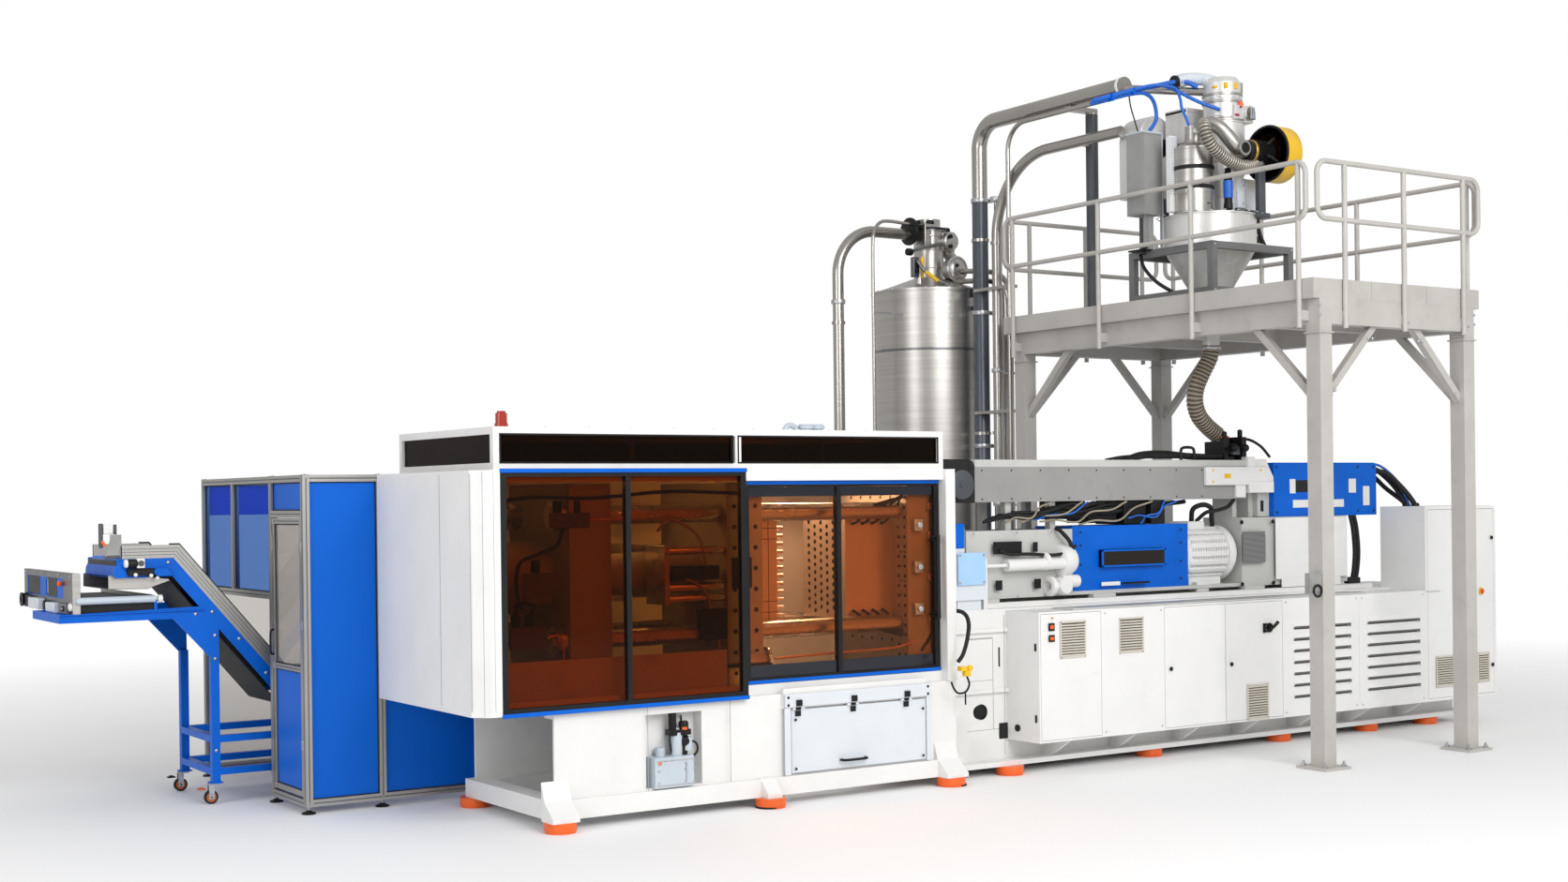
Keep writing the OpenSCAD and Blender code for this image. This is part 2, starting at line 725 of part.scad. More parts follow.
cab_x0 = inj_x0 + 690;
cab_y0 = inj_y0 - cab_d;
cab_z1 = cab_z0 + cab_h;
cab_t = 15;
bay_w = [659, 696, 713, 700, 991]; // first five bays, the sixth fills the rest
tall_x0 = inj_x1 - 900;
tall_x1 = tall_x0 + tall_w;
tall_y0 = cab_y0;
tall_y1 = tall_y0 + tall_d;
tall_z1 = cab_z0 + tall_h;
function bay_sum(n) = n == 0 ? 0 : bay_w[n - 1] + bay_sum(n - 1);
bay_x = [cab_x0 + cab_t, for (n = [1:5]) cab_x0 + bay_sum(n), tall_x0];
door_bays = [0, 2, 3];
louvre_z = [for (i = [0:6]) cab_z0 + 135 + i * (cab_h - 330) / 7];
pivot_in = 17; // pivot axis from the bay's edge
pivot_r = 4;
pivot_len = 10;
frame_edge = 1; // strip of frame left beside a door opening
door_z_lo = cab_z0 + cab_t + 3;
door_z_hi = cab_z1 - cab_t - 3;

// Louvres: slots with a sloped hood over each
module louvre_hoods(x0, x1) {
  for (z = louvre_z)
    plate_yz([[cab_y0, z + 90], [cab_y0, z + 45], [cab_y0 - 16, z + 38], [cab_y0 - 16, z + 46]], x0, x1);
}

module louvre_cuts(x0, x1) {
  for (z = louvre_z) box([x0 + 10, cab_y0 - cut, z + 20], [x1 - 10, cab_y0 + door_t + cut, z + 43]);
}

module cabinet_shell() {
  louvre = [[bay_x[4] + 133, bay_x[5] - 128], [bay_x[5] + 106, bay_x[6] - 103]];
  color(white) difference() {
    union() {
      box([cab_x0, cab_y0, cab_z0], [tall_x0, inj_y0, cab_z1]);
      for (l = louvre) louvre_hoods(l[0], l[1]);
    }
    for (i = [0:5])
      box([bay_x[i] + cab_t / 2, cab_y0 + door_t, cab_z0 + cab_t], [bay_x[i + 1] - cab_t / 2,
        inj_y0 - cab_t, cab_z1 - cab_t]);
    for (i = door_bays) {
      box([bay_x[i] + frame_edge, cab_y0 - cut, cab_z0 + cab_t], [bay_x[i + 1] - frame_edge,
        cab_y0 + door_t + 8, cab_z1 - cab_t]);
      pivot_x = i == 0 ? bay_x[i] + pivot_in : bay_x[i + 1] - pivot_in;
      for (z = [cab_z0 + 3, cab_z1 - cab_t - cut])
        rod_z(z, z + pivot_len + 3, pivot_x, cab_y0 + door_t / 2, pivot_r + gap);
    }
    box([bay_x[5] - 2, cab_y0 - cut, cab_z0 + 30], [bay_x[5] + 2, cab_y0 + 3, cab_z1 - 30]);
    vent_cut(bay_x[1] + 197, bay_x[1] + 457, cab_z1 - 361, cab_z1 - 85, cab_y0);
    for (l = louvre) louvre_cuts(l[0], l[1]);
  }
}

// Flush cabinet door between two bay lines, hung on pins at one edge
module flush_door(x0, x1, y0, z0, z1, pivot_x) {
  box([x0 + door_gap, y0, z0], [x1 - door_gap, y0 + door_t, z1]);
  for (z = [z0 - pivot_len, z1]) rod_z(z, z + pivot_len, pivot_x, y0 + door_t / 2, pivot_r);
}

module door_lock(x, y0, z) {
  rod_y(y0 - 6, y0, x, z, 14);
}

module cabinet_door_1() {
  x0 = bay_x[0];
  color(white) difference() {
    union() {
      flush_door(x0, bay_x[1], cab_y0, door_z_lo, door_z_hi, x0 + pivot_in);
      for (z = [cab_z1 - 118, cab_z1 - 207]) door_lock(x0 + 110, cab_y0, z);
      rod_y(cab_y0 - 4, cab_y0, x0 + 121, cab_z1 - 49, 10);
      door_lock(bay_x[1] - 60, cab_y0, cab_z1 - 500);
    }
    vent_cut(x0 + 208, x0 + 466, cab_z1 - 363, cab_z1 - 88, cab_y0);
  }
}

module cabinet_door_2() {
  color(white) union() {
    flush_door(bay_x[2], bay_x[3], cab_y0, door_z_lo, door_z_hi, bay_x[3] - pivot_in);
    door_lock(bay_x[2] + 66, cab_y0, cab_z1 - 524);
  }
}

module cabinet_door_3() {
  color(white) difference() {
    union() {
      flush_door(bay_x[3], bay_x[4], cab_y0, door_z_lo, door_z_hi, bay_x[4] - pivot_in);
      door_lock(bay_x[3] + 61, cab_y0, cab_z1 - 527);
      box([switch_x - 38, cab_y0 - 6, switch_z - 38], [switch_x + 38, cab_y0, switch_z + 38]);
    }
    vent_cut(bay_x[3] + 256, bay_x[3] + 505, cab_z0 + 19, cab_z0 + 304, cab_y0);
    rod_y(cab_y0 - 6 - cut, cab_y0 + 10, switch_x, switch_z, switch_stem_r + gap);
  }
}

switch_x = bay_x[3] + 529;
switch_z = cab_z1 - 241;
switch_stem_r = 7;

module main_switch() {
  y1 = cab_y0 - 6 - gap;
  color(black) union() {
    rod_y(y1 - 14, y1, switch_x, switch_z, knob_r);
    rod_y(y1 - cut, cab_y0 + 8, switch_x, switch_z, switch_stem_r);
    box([switch_x - knob_r * 1.6, y1 - 40, switch_z - 8], [switch_x + knob_r * 0.5, y1 - 10,
      switch_z + 8]);
  }
}

tall_frame = 30;
tdoor_x0 = tall_x0 + tall_frame;
tall_door_x1 = tall_x1 - tall_frame;
tall_door_z0 = cab_z0 + 28;
tall_door_z1 = tall_z1 - 33;
tall_r = 60;

module tall_cabinet() {
  color(white) difference() {
    translate([0, tall_y1, 0]) rotate([90, 0, 0]) linear_extrude(tall_d) union() {
      translate([tall_x0, cab_z0]) square([tall_w, tall_h - tall_r]);
      translate([tall_x0, cab_z0]) square([tall_w - tall_r, tall_h]);
      translate([tall_x1 - tall_r, tall_z1 - tall_r]) circle(r = tall_r);
    }
    box([tall_x0 + cab_t, tall_y0 + door_t, cab_z0 + cab_t],
      [tall_x1 - cab_t, tall_y1 - cab_t, tall_z1 - tall_r]);
    box([tdoor_x0 + frame_edge, tall_y0 - cut, tall_door_z0 - 3],
      [tall_door_x1 - frame_edge, tall_y0 + door_t + 8, tall_door_z1 + 3]);
    for (z = [tall_door_z0 - pivot_len - 3, tall_door_z1])
      rod_z(z, z + pivot_len + 3, tdoor_x0 + pivot_in, tall_y0 + door_t / 2, pivot_r + gap);
  }
}

estop_x = tall_x0 + 792;
estop_z = cab_z0 + 990;
estop_base_t = 8;
estop_stem_r = 8;
estop_travel = 6;

module tall_cabinet_door() {
  color(white) difference() {
    union() {
      flush_door(tdoor_x0, tall_door_x1, tall_y0, tall_door_z0, tall_door_z1, tdoor_x0 + pivot_in);
      rod_y(tall_y0 - estop_base_t, tall_y0, estop_x, estop_z, estop_r + 12);
      door_lock(tall_door_x1 - 50, tall_y0, estop_z - 350);
    }
    rod_y(tall_y0 - estop_base_t - cut, tall_y0 + door_t + cut, estop_x, estop_z, estop_stem_r + gap);
    vent_cut(tall_x0 + 136, tall_x0 + 403, cab_z0 + 129, cab_z0 + 406, tall_y0);
    vent_cut(tall_x0 + 740, tall_x0 + 911, cab_z0 + 140, cab_z0 + 407, tall_y0);
  }
}

module estop_button() {
  y1 = tall_y0 - estop_base_t - estop_travel - 2;
  color(orange) union() {
    rod_y(y1 - 16, y1, estop_x, estop_z, estop_r);
    rod_y(y1 - cut, tall_y0 + door_t - 2, estop_x, estop_z, estop_stem_r);
  }
}

box_y0 = mid_y - 380;
box_y1 = box_y0 + 140;

module terminal_box() {
  x0 = inj_x0 + 180;
  color(light_grey) union() {
    box([x0, box_y0, inj_top + 80], [x0 + 320, box_y1, inj_top + 435]);
    box([x0 + 40, box_y0 + 20, inj_top], [x0 + 280, box_y1 - 20, inj_top + 80]);
    box([x0 + 30, box_y0 - 12, inj_top + 200], [x0 + 290, box_y0, inj_top + 420]);
  }
  color(blue) box([x0 - 90, box_y0 + 10, inj_top + 435], [x0 + 110, box_y1, inj_top + 660]);
}

// ---- injection unit on its carriage ----

unit_y0 = mid_y - unit_w / 2;
unit_y1 = mid_y + unit_w / 2;
car_x0 = inj_x0 + 420;
plate_z0 = slide_z + 30;
top_z1 = plate_z0 + 30;
cover_x0 = inj_x0 + 1550;
cover_x1 = cover_x0 + cover_len;
motor_x1 = cover_x1 + motor_len;
ped_x0 = motor_x1 + 30;
ped_x1 = inj_x0 + 3990;
car_x1 = inj_x0 + 4960;
ped_z1 = plate_z0 + 610;
beam_x0 = inj_x0 + 170;
beam_x1 = beam_x0 + guard_beam_len;
barrel_z = axis_z + 650;
beam_z0 = barrel_z - guard_beam_h / 2;
beam_z1 = barrel_z + guard_beam_h / 2;
upper_x0 = ped_x1 - 10;
shoe_len = 250;

module injection_carriage() {
  post_w = 60;
  color(mid_grey) union() {
    for (y = slide_y, x = [car_x0 + 60, cover_x0 + 200, ped_x0, car_x1 - 340])
      box([x, y - 35, slide_z + gap], [x + shoe_len, y + 35, plate_z0]);
    box([car_x0, unit_y0, plate_z0], [car_x1, unit_y1, top_z1]);
    for (y = [unit_y0, unit_y1 - 15])
      box([car_x0, y, top_z1], [cover_x0, y + 15, top_z1 + 520]);
    for (x = [car_x0 + 450, cover_x0 - 200], y = [mid_y - 180, mid_y + 180 - post_w])
      box([x, y, top_z1], [x + post_w, y + post_w, beam_z0]);
    box([ped_x0 + 5, mid_y - 120, ped_z1], [beam_x1 - 5, mid_y + 120, beam_z0]);
    difference() {
      box([ped_x0, unit_y0, top_z1], [ped_x1, unit_y1, ped_z1]);
      box([ped_x0 + 12, unit_y0 + 12, top_z1 + 12], [ped_x1 + cut, unit_y1 - 12, ped_z1 - 12]);
      vent_cut(ped_x0 + 120, ped_x1 - 120, top_z1 + 190, top_z1 + 430, unit_y0);
    }
    difference() {
      box([ped_x1, unit_y0, top_z1], [car_x1, unit_y1, ped_z1]);
      box([ped_x1 + 12, unit_y0 + 12, top_z1 + 12], [car_x1 - 12, unit_y1 - 12, ped_z1 - 12]);
    }
  }
}

pull_cyl_x0 = bracket_x + 260;
pull_cyl_r = 48;

module shot_unit() {
  nozzle_r = 60;
  head_x = inj_x0 + 350;
  color(white) difference() {
    union() {
      rod_x(platen_x0 + 70, inj_x0, mid_y, axis_z, nozzle_r);
      rod_x(inj_x0, cover_x0, mid_y, axis_z, shot_r);
      box([head_x - 80, mid_y - 80, axis_z], [head_x + 80, mid_y + 80, axis_z + shot_r + 30]);
      box([car_x0 + 40, mid_y - 60, top_z1], [car_x0 + 100, mid_y + 60, axis_z - shot_r / 2]);
      for (y = pull_rod_y) {
        s = y < mid_y ? 1 : -1;
        rod_x(pull_cyl_x0, cover_x0 - 60, y, pull_z, pull_cyl_r);
        for (x = [pull_cyl_x0 + 40, cover_x0 - 160])
          box([x, s > 0 ? y : unit_y1, pull_z - 20], [x + 40, s > 0 ? unit_y0 : y, pull_z + 20]);
        rod_x(cover_x0 - 180, cover_x0, y + s * 20, top_z1 + 90, 52);
      }
    }
    rod_x(platen_x0 + 70 - cut, cover_x0 + cut, mid_y, axis_z, 20);
    for (y = pull_rod_y) rod_x(pull_cyl_x0 - cut, cover_x0 - 100, y, pull_z, pull_rod_r + gap);
  }
}

module drive_cover() {
  t = 12;
  z1 = top_z1 + cover_h;
  color(blue) union() {
    difference() {
      box([cover_x0, unit_y0, top_z1], [cover_x1, unit_y1, z1]);
      box([cover_x0 + t, unit_y0 + t, top_z1 - cut], [cover_x1 - t, unit_y1 - t, z1 - t]);
      box([cover_x0 + 293, unit_y0 - cut, top_z1 + 193], [cover_x0 + 1027, unit_y0 + t + cut,
        top_z1 + 338]);
    }
    pull_handle(cover_x0 + 672, unit_y0, top_z1 + 50, 280);
  }
}

module drive_motor() {
  fins = 15;
  fin_x0 = cover_x1 + 60;
  fin_x1 = motor_x1 - 110;
  pitch = (fin_x1 - fin_x0) / fins;
  core = motor_r - 22;
  color(white) union() {
    translate([cover_x1, mid_y, axis_z]) rotate([0, 90, 0]) rotate_extrude() polygon([
      [0, 0], [motor_r, 0], [motor_r, 60],
      for (i = [0:fins - 1]) each [[core, 60 + i * pitch], [core, 60 + i * pitch + pitch / 2],
        [motor_r, 60 + i * pitch + pitch / 2], [motor_r, 60 + (i + 1) * pitch]],
      [motor_r, motor_len - 60], [motor_r - 18, motor_len - 20], [motor_r - 60, motor_len],
        [0, motor_len]]);
    box([fin_x0 + 40, mid_y - 140, top_z1], [fin_x1 - 40, mid_y + 140, axis_z - core + 30]);
  }
}

beam_t = 8;
beam_end_t = 20;
transfer_r = 45;
trans_x = inj_x0 + 350;
throat_x = beam_x1 - 80;
feed_r = 45;

module barrel_guard() {
  color(mid_grey) difference() {
    box([beam_x0, unit_y0, beam_z0], [beam_x1, unit_y1, beam_z1]);
    box([beam_x0 + beam_end_t, unit_y0 + beam_t, beam_z0 + beam_t],
      [beam_x1 - beam_end_t, unit_y1 - beam_t, beam_z1 - beam_t]);
    rod_x(beam_x1 - beam_end_t - cut, beam_x1 + cut, mid_y, barrel_z, barrel_r + gap);
    rod_z(beam_z0 - cut, beam_z0 + beam_t + cut, trans_x, mid_y, transfer_r + gap);
    rod_z(beam_z1 - beam_t - cut, beam_z1 + cut, throat_x, mid_y, feed_r);
  }
}

module barrel() {
  x0 = trans_x - 80;
  color(steel) difference() {
    union() {
      rod_x(x0, upper_x0, mid_y, barrel_z, barrel_r);
      rod_z(axis_z + shot_r + 30, barrel_z, trans_x, mid_y, transfer_r);
    }
    rod_x(x0 + 60, upper_x0 + cut, mid_y, barrel_z, screw_r + gap);
    rod_z(axis_z + shot_r, barrel_z, trans_x, mid_y, 15);
    rod_z(barrel_z, barrel_z + barrel_r + cut, throat_x, mid_y, 35);
  }
}

module screw() {
  x0 = trans_x + 60;
  root_r = screw_r - 12;
  pitch = 2 * screw_r;
  shank = 600;
  turns = floor((upper_x0 - shank - x0) / pitch);
  color(steel) translate([x0, mid_y, barrel_z]) rotate([0, 90, 0]) rotate_extrude() polygon([
    [0, 0], [root_r, 0],
    for (i = [0:turns - 1]) each [[root_r, i * pitch + 80], [screw_r, i * pitch + 80],
      [screw_r, i * pitch + 92], [root_r, i * pitch + 92]],
    [root_r, turns * pitch], [screw_r, turns * pitch], [screw_r, upper_x0 - x0 - 2],
      [0, upper_x0 - x0 - 2]]);
}

module upper_cover() {
  t = 12;
  z1 = ped_z1 + upper_h;
  color(blue) difference() {
    translate([0, unit_y1, 0]) rotate([90, 0, 0]) linear_extrude(unit_w) union() {
      translate([upper_x0, ped_z1]) square([upper_len, upper_h - 40]);
      translate([upper_x0, ped_z1]) square([upper_len - 40, upper_h]);
      translate([upper_x0 + upper_len - 40, z1 - 40]) circle(r = 40);
    }
    box([upper_x0 + t, unit_y0 + t, ped_z1 - cut], [upper_x0 + upper_len - t, unit_y1 - t, z1 - 40]);
  }
}

throat_top = beam_z1 + 190;
throat_stub_h = 60;

module throat_valve() {
  color(dark_grey) difference() {
    union() {
      box([throat_x - 110, mid_y - 90, beam_z1], [throat_x + 110, mid_y + 90, beam_z1 + 40]);
      rod_z(beam_z1 + 40, throat_top - throat_stub_h, throat_x, mid_y, 82);
      rod_z(throat_top - throat_stub_h, throat_top, throat_x, mid_y, hose_r);
      rod_y(mid_y - 170, mid_y - 60, throat_x, beam_z1 + 85, 26);
      box([throat_x - 45, mid_y - 200, beam_z1 + 50], [throat_x + 45, mid_y - 170, beam_z1 + 120]);
    }
    rod_z(beam_z1 - cut, throat_top + cut, throat_x, mid_y, 55);
  }
}

// ---- platform ----

plat_x0 = throat_x - 920;
plat_x1 = plat_x0 + platform_x;
plat_y0 = -1200;
plat_y1 = plat_y0 + platform_y;
deck_t = 10;
deck_top = deck_z + deck_t;
toe_t = 8;
beam_in = 70; // beams and posts set back from the deck's sides
beam_w = 120;
post_x = [plat_x0 + beam_in, plat_x1 - beam_in - post];
post_y = [plat_y0, plat_y1 - beam_in - post];
beam_z = deck_z - beam_h;
plate_h = 20;
brace_run = 600;
brace_w = 60;
stand_c = [throat_x - 280, mid_y - 180];
hole = hose_r + 55;

// Diagonal from a post's face up to the beam's underside, in the plane of travel
module brace(dir) {
  rotate([90, 0, 0]) linear_extrude(brace_w) polygon([[0, beam_z - brace_run],
    [0, beam_z - brace_run + brace_w * sqrt(2)], [dir * (brace_run - brace_w * sqrt(2)), beam_z],
    [dir * brace_run, beam_z]]);
}

module platform_frame() {
  post_x1 = post_x[1] + post;
  color(pale_grey) difference() {
    for (x = post_x, y = post_y)
      box([x + post / 2 - base_plate / 2, y + post / 2 - base_plate / 2, 0],
        [x + post / 2 + base_plate / 2, y + post / 2 + base_plate / 2, plate_h]);
    for (x = post_x, y = post_y, sx = [-1, 1], sy = [-1, 1])
      rod_z(-cut, plate_h + cut, x + post / 2 + sx * anchor_pitch / 2,
        y + post / 2 + sy * anchor_pitch / 2, anchor_r);
  }
  color(pale_grey) for (x = post_x, y = post_y) box([x, y, plate_h + gap], [x + post, y + post, beam_z]);
  color(pale_grey) for (x = [post_x[0], post_x1 - beam_w])
    box([x, plat_y0, beam_z], [x + beam_w, plat_y1 - beam_in, deck_z]);
  color(pale_grey) {
    for (y = [plat_y0, post_y[1] + post - beam_w])
      box([post_x[0] + beam_w, y, beam_z], [post_x1 - beam_w, y + beam_w, deck_z]);
    for (y = [0.25, 0.55, 0.78] * platform_y)
      box([post_x[0] + beam_w, plat_y0 + y, beam_z + 60], [post_x1 - beam_w, plat_y0 + y + 80, deck_z]);
  }
  color(pale_grey) {
    for (y = post_y) translate([0, y + post / 2 + brace_w / 2, 0]) {
      translate([post_x[0] + post, 0, 0]) brace(1);
      translate([post_x[1], 0, 0]) brace(-1);
    }
    for (x = post_x) translate([x + post / 2 - brace_w / 2, 0, 0]) {
      translate([0, post_y[0] + post, 0]) rotate([0, 0, 90]) brace(1);
      translate([0, post_y[1], 0]) rotate([0, 0, 90]) brace(-1);
    }
  }
  color(pale_grey) for (y = [[plat_y0, stand_c.y - hole], [stand_c.y + hole, plat_y1]])
    box([plat_x0, y[0], deck_z + gap], [plat_x1, y[1], deck_top]);
  color(pale_grey) for (x = [[plat_x0, stand_c.x - hole], [stand_c.x + hole, plat_x1]])
    box([x[0], stand_c.y - hole + gap, deck_z + gap], [x[1], stand_c.y + hole - gap, deck_top]);
  color(pale_grey) for (x = [plat_x0, plat_x1 - toe_t])
    box([x, plat_y0, deck_top + gap], [x + toe_t, plat_y1, deck_z + toe_h]);
  color(pale_grey) for (y = [plat_y0, plat_y1 - toe_t])
    box([plat_x0 + toe_t + gap, y, deck_top + gap],
      [plat_x1 - toe_t - gap, y + toe_t, deck_z + toe_h]);
}

rail_top_z = deck_z + handrail_h;
rail_mid_z = deck_z + handrail_h * 0.58;
rail_bend = 100;
rail_out = tube_r + 4;

// Rail loop of two bars with rounded ends, along +X
module rail_loop(len, stanchions) {
  z0 = rail_mid_z + rail_bend;
  z1 = rail_top_z - rail_bend;
  for (z = [rail_mid_z, rail_top_z]) rod_x(rail_bend, len - rail_bend, 0, z, tube_r);
  for (x = [0, len]) rod_z(z0, z1, x, 0, tube_r);
  for (s = [0, 1], t = [0, 1])
    translate([s == 0 ? rail_bend : len - rail_bend, 0, t == 0 ? z0 : z1])
      mirror([1 - s, 0, 0]) mirror([0, 0, 1 - t]) rotate([90, 0, 0]) rotate_extrude(angle = 90)
        translate([rail_bend, 0]) circle(r = tube_r);
  for (x = stanchions) rod_z(beam_z - 30, rail_top_z, x, 0, tube_r);
}

// Clamp blocks that hold a stanchion to a beam
module rail_clamps(stanchions, reach) {
  for (x = stanchions) difference() {
    box([x - tube_r + 3, 0, beam_z + 30], [x + tube_r - 3, reach, beam_z + 110]);
    rod_z(beam_z, deck_z, x, 0, tube_r + gap);
  }
}

module handrails() {
  side_len = platform_y - 100;
  front_len = platform_x - 60;
  side_st = [80, side_len * 0.34, side_len * 0.65, side_len - 110];
  front_st = [front_len * 0.16, front_len * 0.52, front_len * 0.9];
  out = rail_out - 4;
  color(pale_grey) {
    for (y = [plat_y0 - out, plat_y1 + out]) translate([plat_x0 + 30, y, 0]) rail_loop(front_len,
      front_st);
    for (x = [plat_x0 - out, plat_x1 + out])
      translate([x, plat_y0 + 50, 0]) rotate([0, 0, 90]) rail_loop(side_len, side_st);
  }
  color(pale_grey) {
    translate([plat_x0 + 30, plat_y0 - out, 0]) rail_clamps(front_st, out);
    translate([plat_x0 + 30, plat_y1 + out, 0]) mirror([0, 1, 0]) rail_clamps(front_st, out + beam_in);
    translate([plat_x0 - out, plat_y0 + 50, 0]) rotate([0, 0, 90]) mirror([0, 1, 0])
      rail_clamps(side_st, out + beam_in);
    translate([plat_x1 + out, plat_y0 + 50, 0]) rotate([0, 0, 90]) rail_clamps(side_st, out + beam_in);
  }
}

stand_x0 = stand_c.x - stand_w / 2;
stand_y0 = stand_c.y - stand_w / 2;
stand_z1 = deck_top + stand_h;
stand_bar = 60;

module hopper_stand() {
  color(dark_grey) union() {
    for (x = [stand_x0, stand_x0 + stand_w - stand_bar], y = [stand_y0, stand_y0 + stand_w - stand_bar])
      box([x, y, deck_top], [x + stand_bar, y + stand_bar, stand_z1]);
    for (z = [deck_top + 150, stand_z1 - stand_bar])
      ring_block([stand_x0, stand_y0, z], [stand_x0 + stand_w, stand_y0 + stand_w, z + stand_bar],
        stand_bar, stand_bar);
  }
}

hopper_wall = 6;
hopper_z1 = stand_z1 + hopper_h;
hopper_out_z = beam_z - 40;
lid_t = 12;
flange_h = 12;

module hopper() {
  r0 = hose_r;
  w = hopper_wall;
  color(steel) union() {
    translate([stand_c.x, stand_c.y, 0]) rotate_extrude() polygon([
      [r0 - w, hopper_out_z], [r0, hopper_out_z], [r0, deck_top + 60], [hopper_r, stand_z1],
      [stand_w / 2 - 10, stand_z1], [stand_w / 2 - 10, stand_z1 + flange_h],
        [hopper_r, stand_z1 + flange_h],
      [hopper_r, hopper_z1], [hopper_r - w, hopper_z1], [hopper_r - w, stand_z1 + w],
        [r0 - w, deck_top + 60 + w]]);
    rod_z(hopper_z1, hopper_z1 + lid_t, stand_c.x, stand_c.y, hopper_r + 10);
  }
}

lid_top = hopper_z1 + lid_t;
recv_c = [stand_c.x + 150, stand_c.y - 20];
head_r = recv_r - 24;

module vacuum_receiver() {
  color(light_grey) translate([recv_c.x, recv_c.y, lid_top]) rotate_extrude() polygon([
    [0, 0], [110, 0], [110, 160], [recv_r, 380], [recv_r, 820], [recv_r + 10, 820],
    [recv_r + 10, 850], [head_r, 850], [head_r, 1030], [head_r + 8, 1030], [head_r + 8, 1055],
    [head_r, 1055], [head_r, 1180], [head_r - 40, 1230], [0, 1240]]);
}

filter_c = [stand_c.x - 270, stand_c.y - 70];
filter_z1 = lid_top + 570;
filter_port_z = filter_z1 + 130;

module dust_filter() {
  color(steel) difference() {
    translate([filter_c.x, filter_c.y, lid_top]) rotate_extrude() polygon([
      [0, 0], [filter_r, 0], [filter_r, 170], [filter_r + 4, 170], [filter_r + 4, 195], [filter_r, 195],
      [filter_r, 400], [filter_r + 4, 400], [filter_r + 4, 425], [filter_r, 425], [filter_r, 570],
      [filter_r - 50, 600], [70, 610], [70, 760], [0, 760]]);
    rod_z(lid_top - cut, lid_top + 900, recv_c.x, recv_c.y, recv_r + gap);
  }
}

filter_box = [[stand_c.x - 590, stand_c.y + 210, stand_z1 + 310], [225, 210, 725]];

module filter_control_box() {
  lo = filter_box[0];
  size = filter_box[1];
  color(mid_grey) union() {
    translate(lo) cube(size);
    box([lo.x + size.x - 130, lo.y + 40, stand_z1], [stand_x0 + 60, lo.y + 110, lo.z]);
    box([lo.x - 8, lo.y + 12, lo.z + 12], [lo.x, lo.y + size.y - 12, lo.z + size.z - 12]);
  }
}

blower_y = stand_c.y - 360;
blower_z = lid_top + 533;
fan_x0 = stand_c.x - 40;
drum_x0 = fan_x0 + 380;
drum_w = 190;
motor_small_r = 95;

module suction_blower() {
  color(yellow) difference() {
    rod_x(drum_x0, drum_x0 + drum_w, blower_y, blower_z, drum_r);
    rod_x(drum_x0 - cut, drum_x0 + drum_w - 60, blower_y, blower_z, drum_r - 20);
  }
  color(black) union() {
    rod_x(fan_x0 + 160, drum_x0 + drum_w - 60, blower_y, blower_z, motor_small_r);
    box([fan_x0 + 170, blower_y - 40, blower_z - 240], [fan_x0 + 300, blower_y + 40, blower_z]);
    box([fan_x0 + 170, blower_y - 40, lid_top], [fan_x0 + 300, blower_y + 100, blower_z - 240]);
  }
  color(light_grey) union() {
    rod_x(fan_x0, fan_x0 + 160, blower_y, blower_z, 78);
    difference() {
      rod_between([fan_x0 + 60, blower_y, blower_z], [filter_c.x, filter_c.y, filter_port_z], 42);
      rod_z(filter_z1, lid_top + 900, filter_c.x, filter_c.y, 70 + gap);
    }
  }
}

// Route of the throat hose from the hopper's outlet to the throat
hose_route = [
  [0, 0, hopper_out_z], [-10, 10, 3400], [-60, 40, 3280], [-110, 70, 3150], [-110, 100, 3020],
  [-40, 130, 2900], [80, 155, 2810], [190, 170, 2750], [260, 180, 2720],
    [throat_x - stand_c.x, mid_y - stand_c.y, throat_top]
];
hose_sides = 12;

// Ring of points round a route point, square to the given direction
function ring_points(p, dir, r, sides) =
  let (side = cross(dir, [0, 1, 0]), u = side / norm(side), v = cross(u, dir) / norm(dir))
  [for (k = [0:sides - 1]) p + r * (cos(k * 360 / sides) * u + sin(k * 360 / sides) * v)];

// Closed tube swept along a list of points, its end rings level with the two end faces
module swept_tube(route, r, sides) {
  n = len(route);
  rings = [for (i = [0:n - 1])
    let (dir = i == 0 || i == n - 1 ? [0, 0, -1] : route[i + 1] - route[i - 1])
    ring_points(route[i], dir, r, sides)];
  points = [for (ring = rings) each ring];
  polyhedron(points, concat(
    [[for (k = [0:sides - 1]) k]],
    [for (i = [0:n - 2], k = [0:sides - 1])
      [i * sides + k, (i + 1) * sides + k, (i + 1) * sides + (k + 1) % sides, i * sides + (k + 1)
        % sides]],
    [[for (k = [sides - 1:-1:0]) (n - 1) * sides + k]]), convexity = 4);
}

module throat_hose() {
  color([0.72, 0.69, 0.62]) translate([stand_c.x, stand_c.y, 0]) swept_tube(hose_route, hose_r,
    hose_sides);
}

// ---- conveying pipes and drying tower ----

pipe_x = plat_x0 + 220;
pipe_y = plat_y1 + 600;
pipe_bend = 250;
end_y = stand_c.y + 660;
second_y = pipe_y - 250;
second_z = run_z - 400;
second_bend = 750;
thin_x = pipe_x - 90;
thin_y = plat_y1 + 65;
thin_r = 22;
thin_z = run_z - 110;
column_x = pipe_x + 235;
column_y = end_y + 635;
column_r = 56;
tower_c = [pipe_x - 90, pipe_y + 710];
neck_r = 150;
neck_z0 = rim_z + 170;
neck_z1 = neck_z0 + 470;
side_x = tower_c.x - 1130;
side_pipe_z = rim_z + 600;
elbow = 450;
side_r = 55;

// Pipe that rises from the floor and bends to run along -Y
module riser(x, y, z0, z1, y_end, bend, r) {
  rod_z(z0, z1 - bend, x, y, r);
  translate([x, y - bend, z1 - bend]) rotate([90, 0, 90]) rotate_extrude(angle = 90)
    translate([bend, 0]) circle(r = r);
  rod_y(y_end, y - bend, x, z1, r);
}

module collar(x, y, z, r) {
  rod_z(z, z + 30, x, y, r + 12);
}

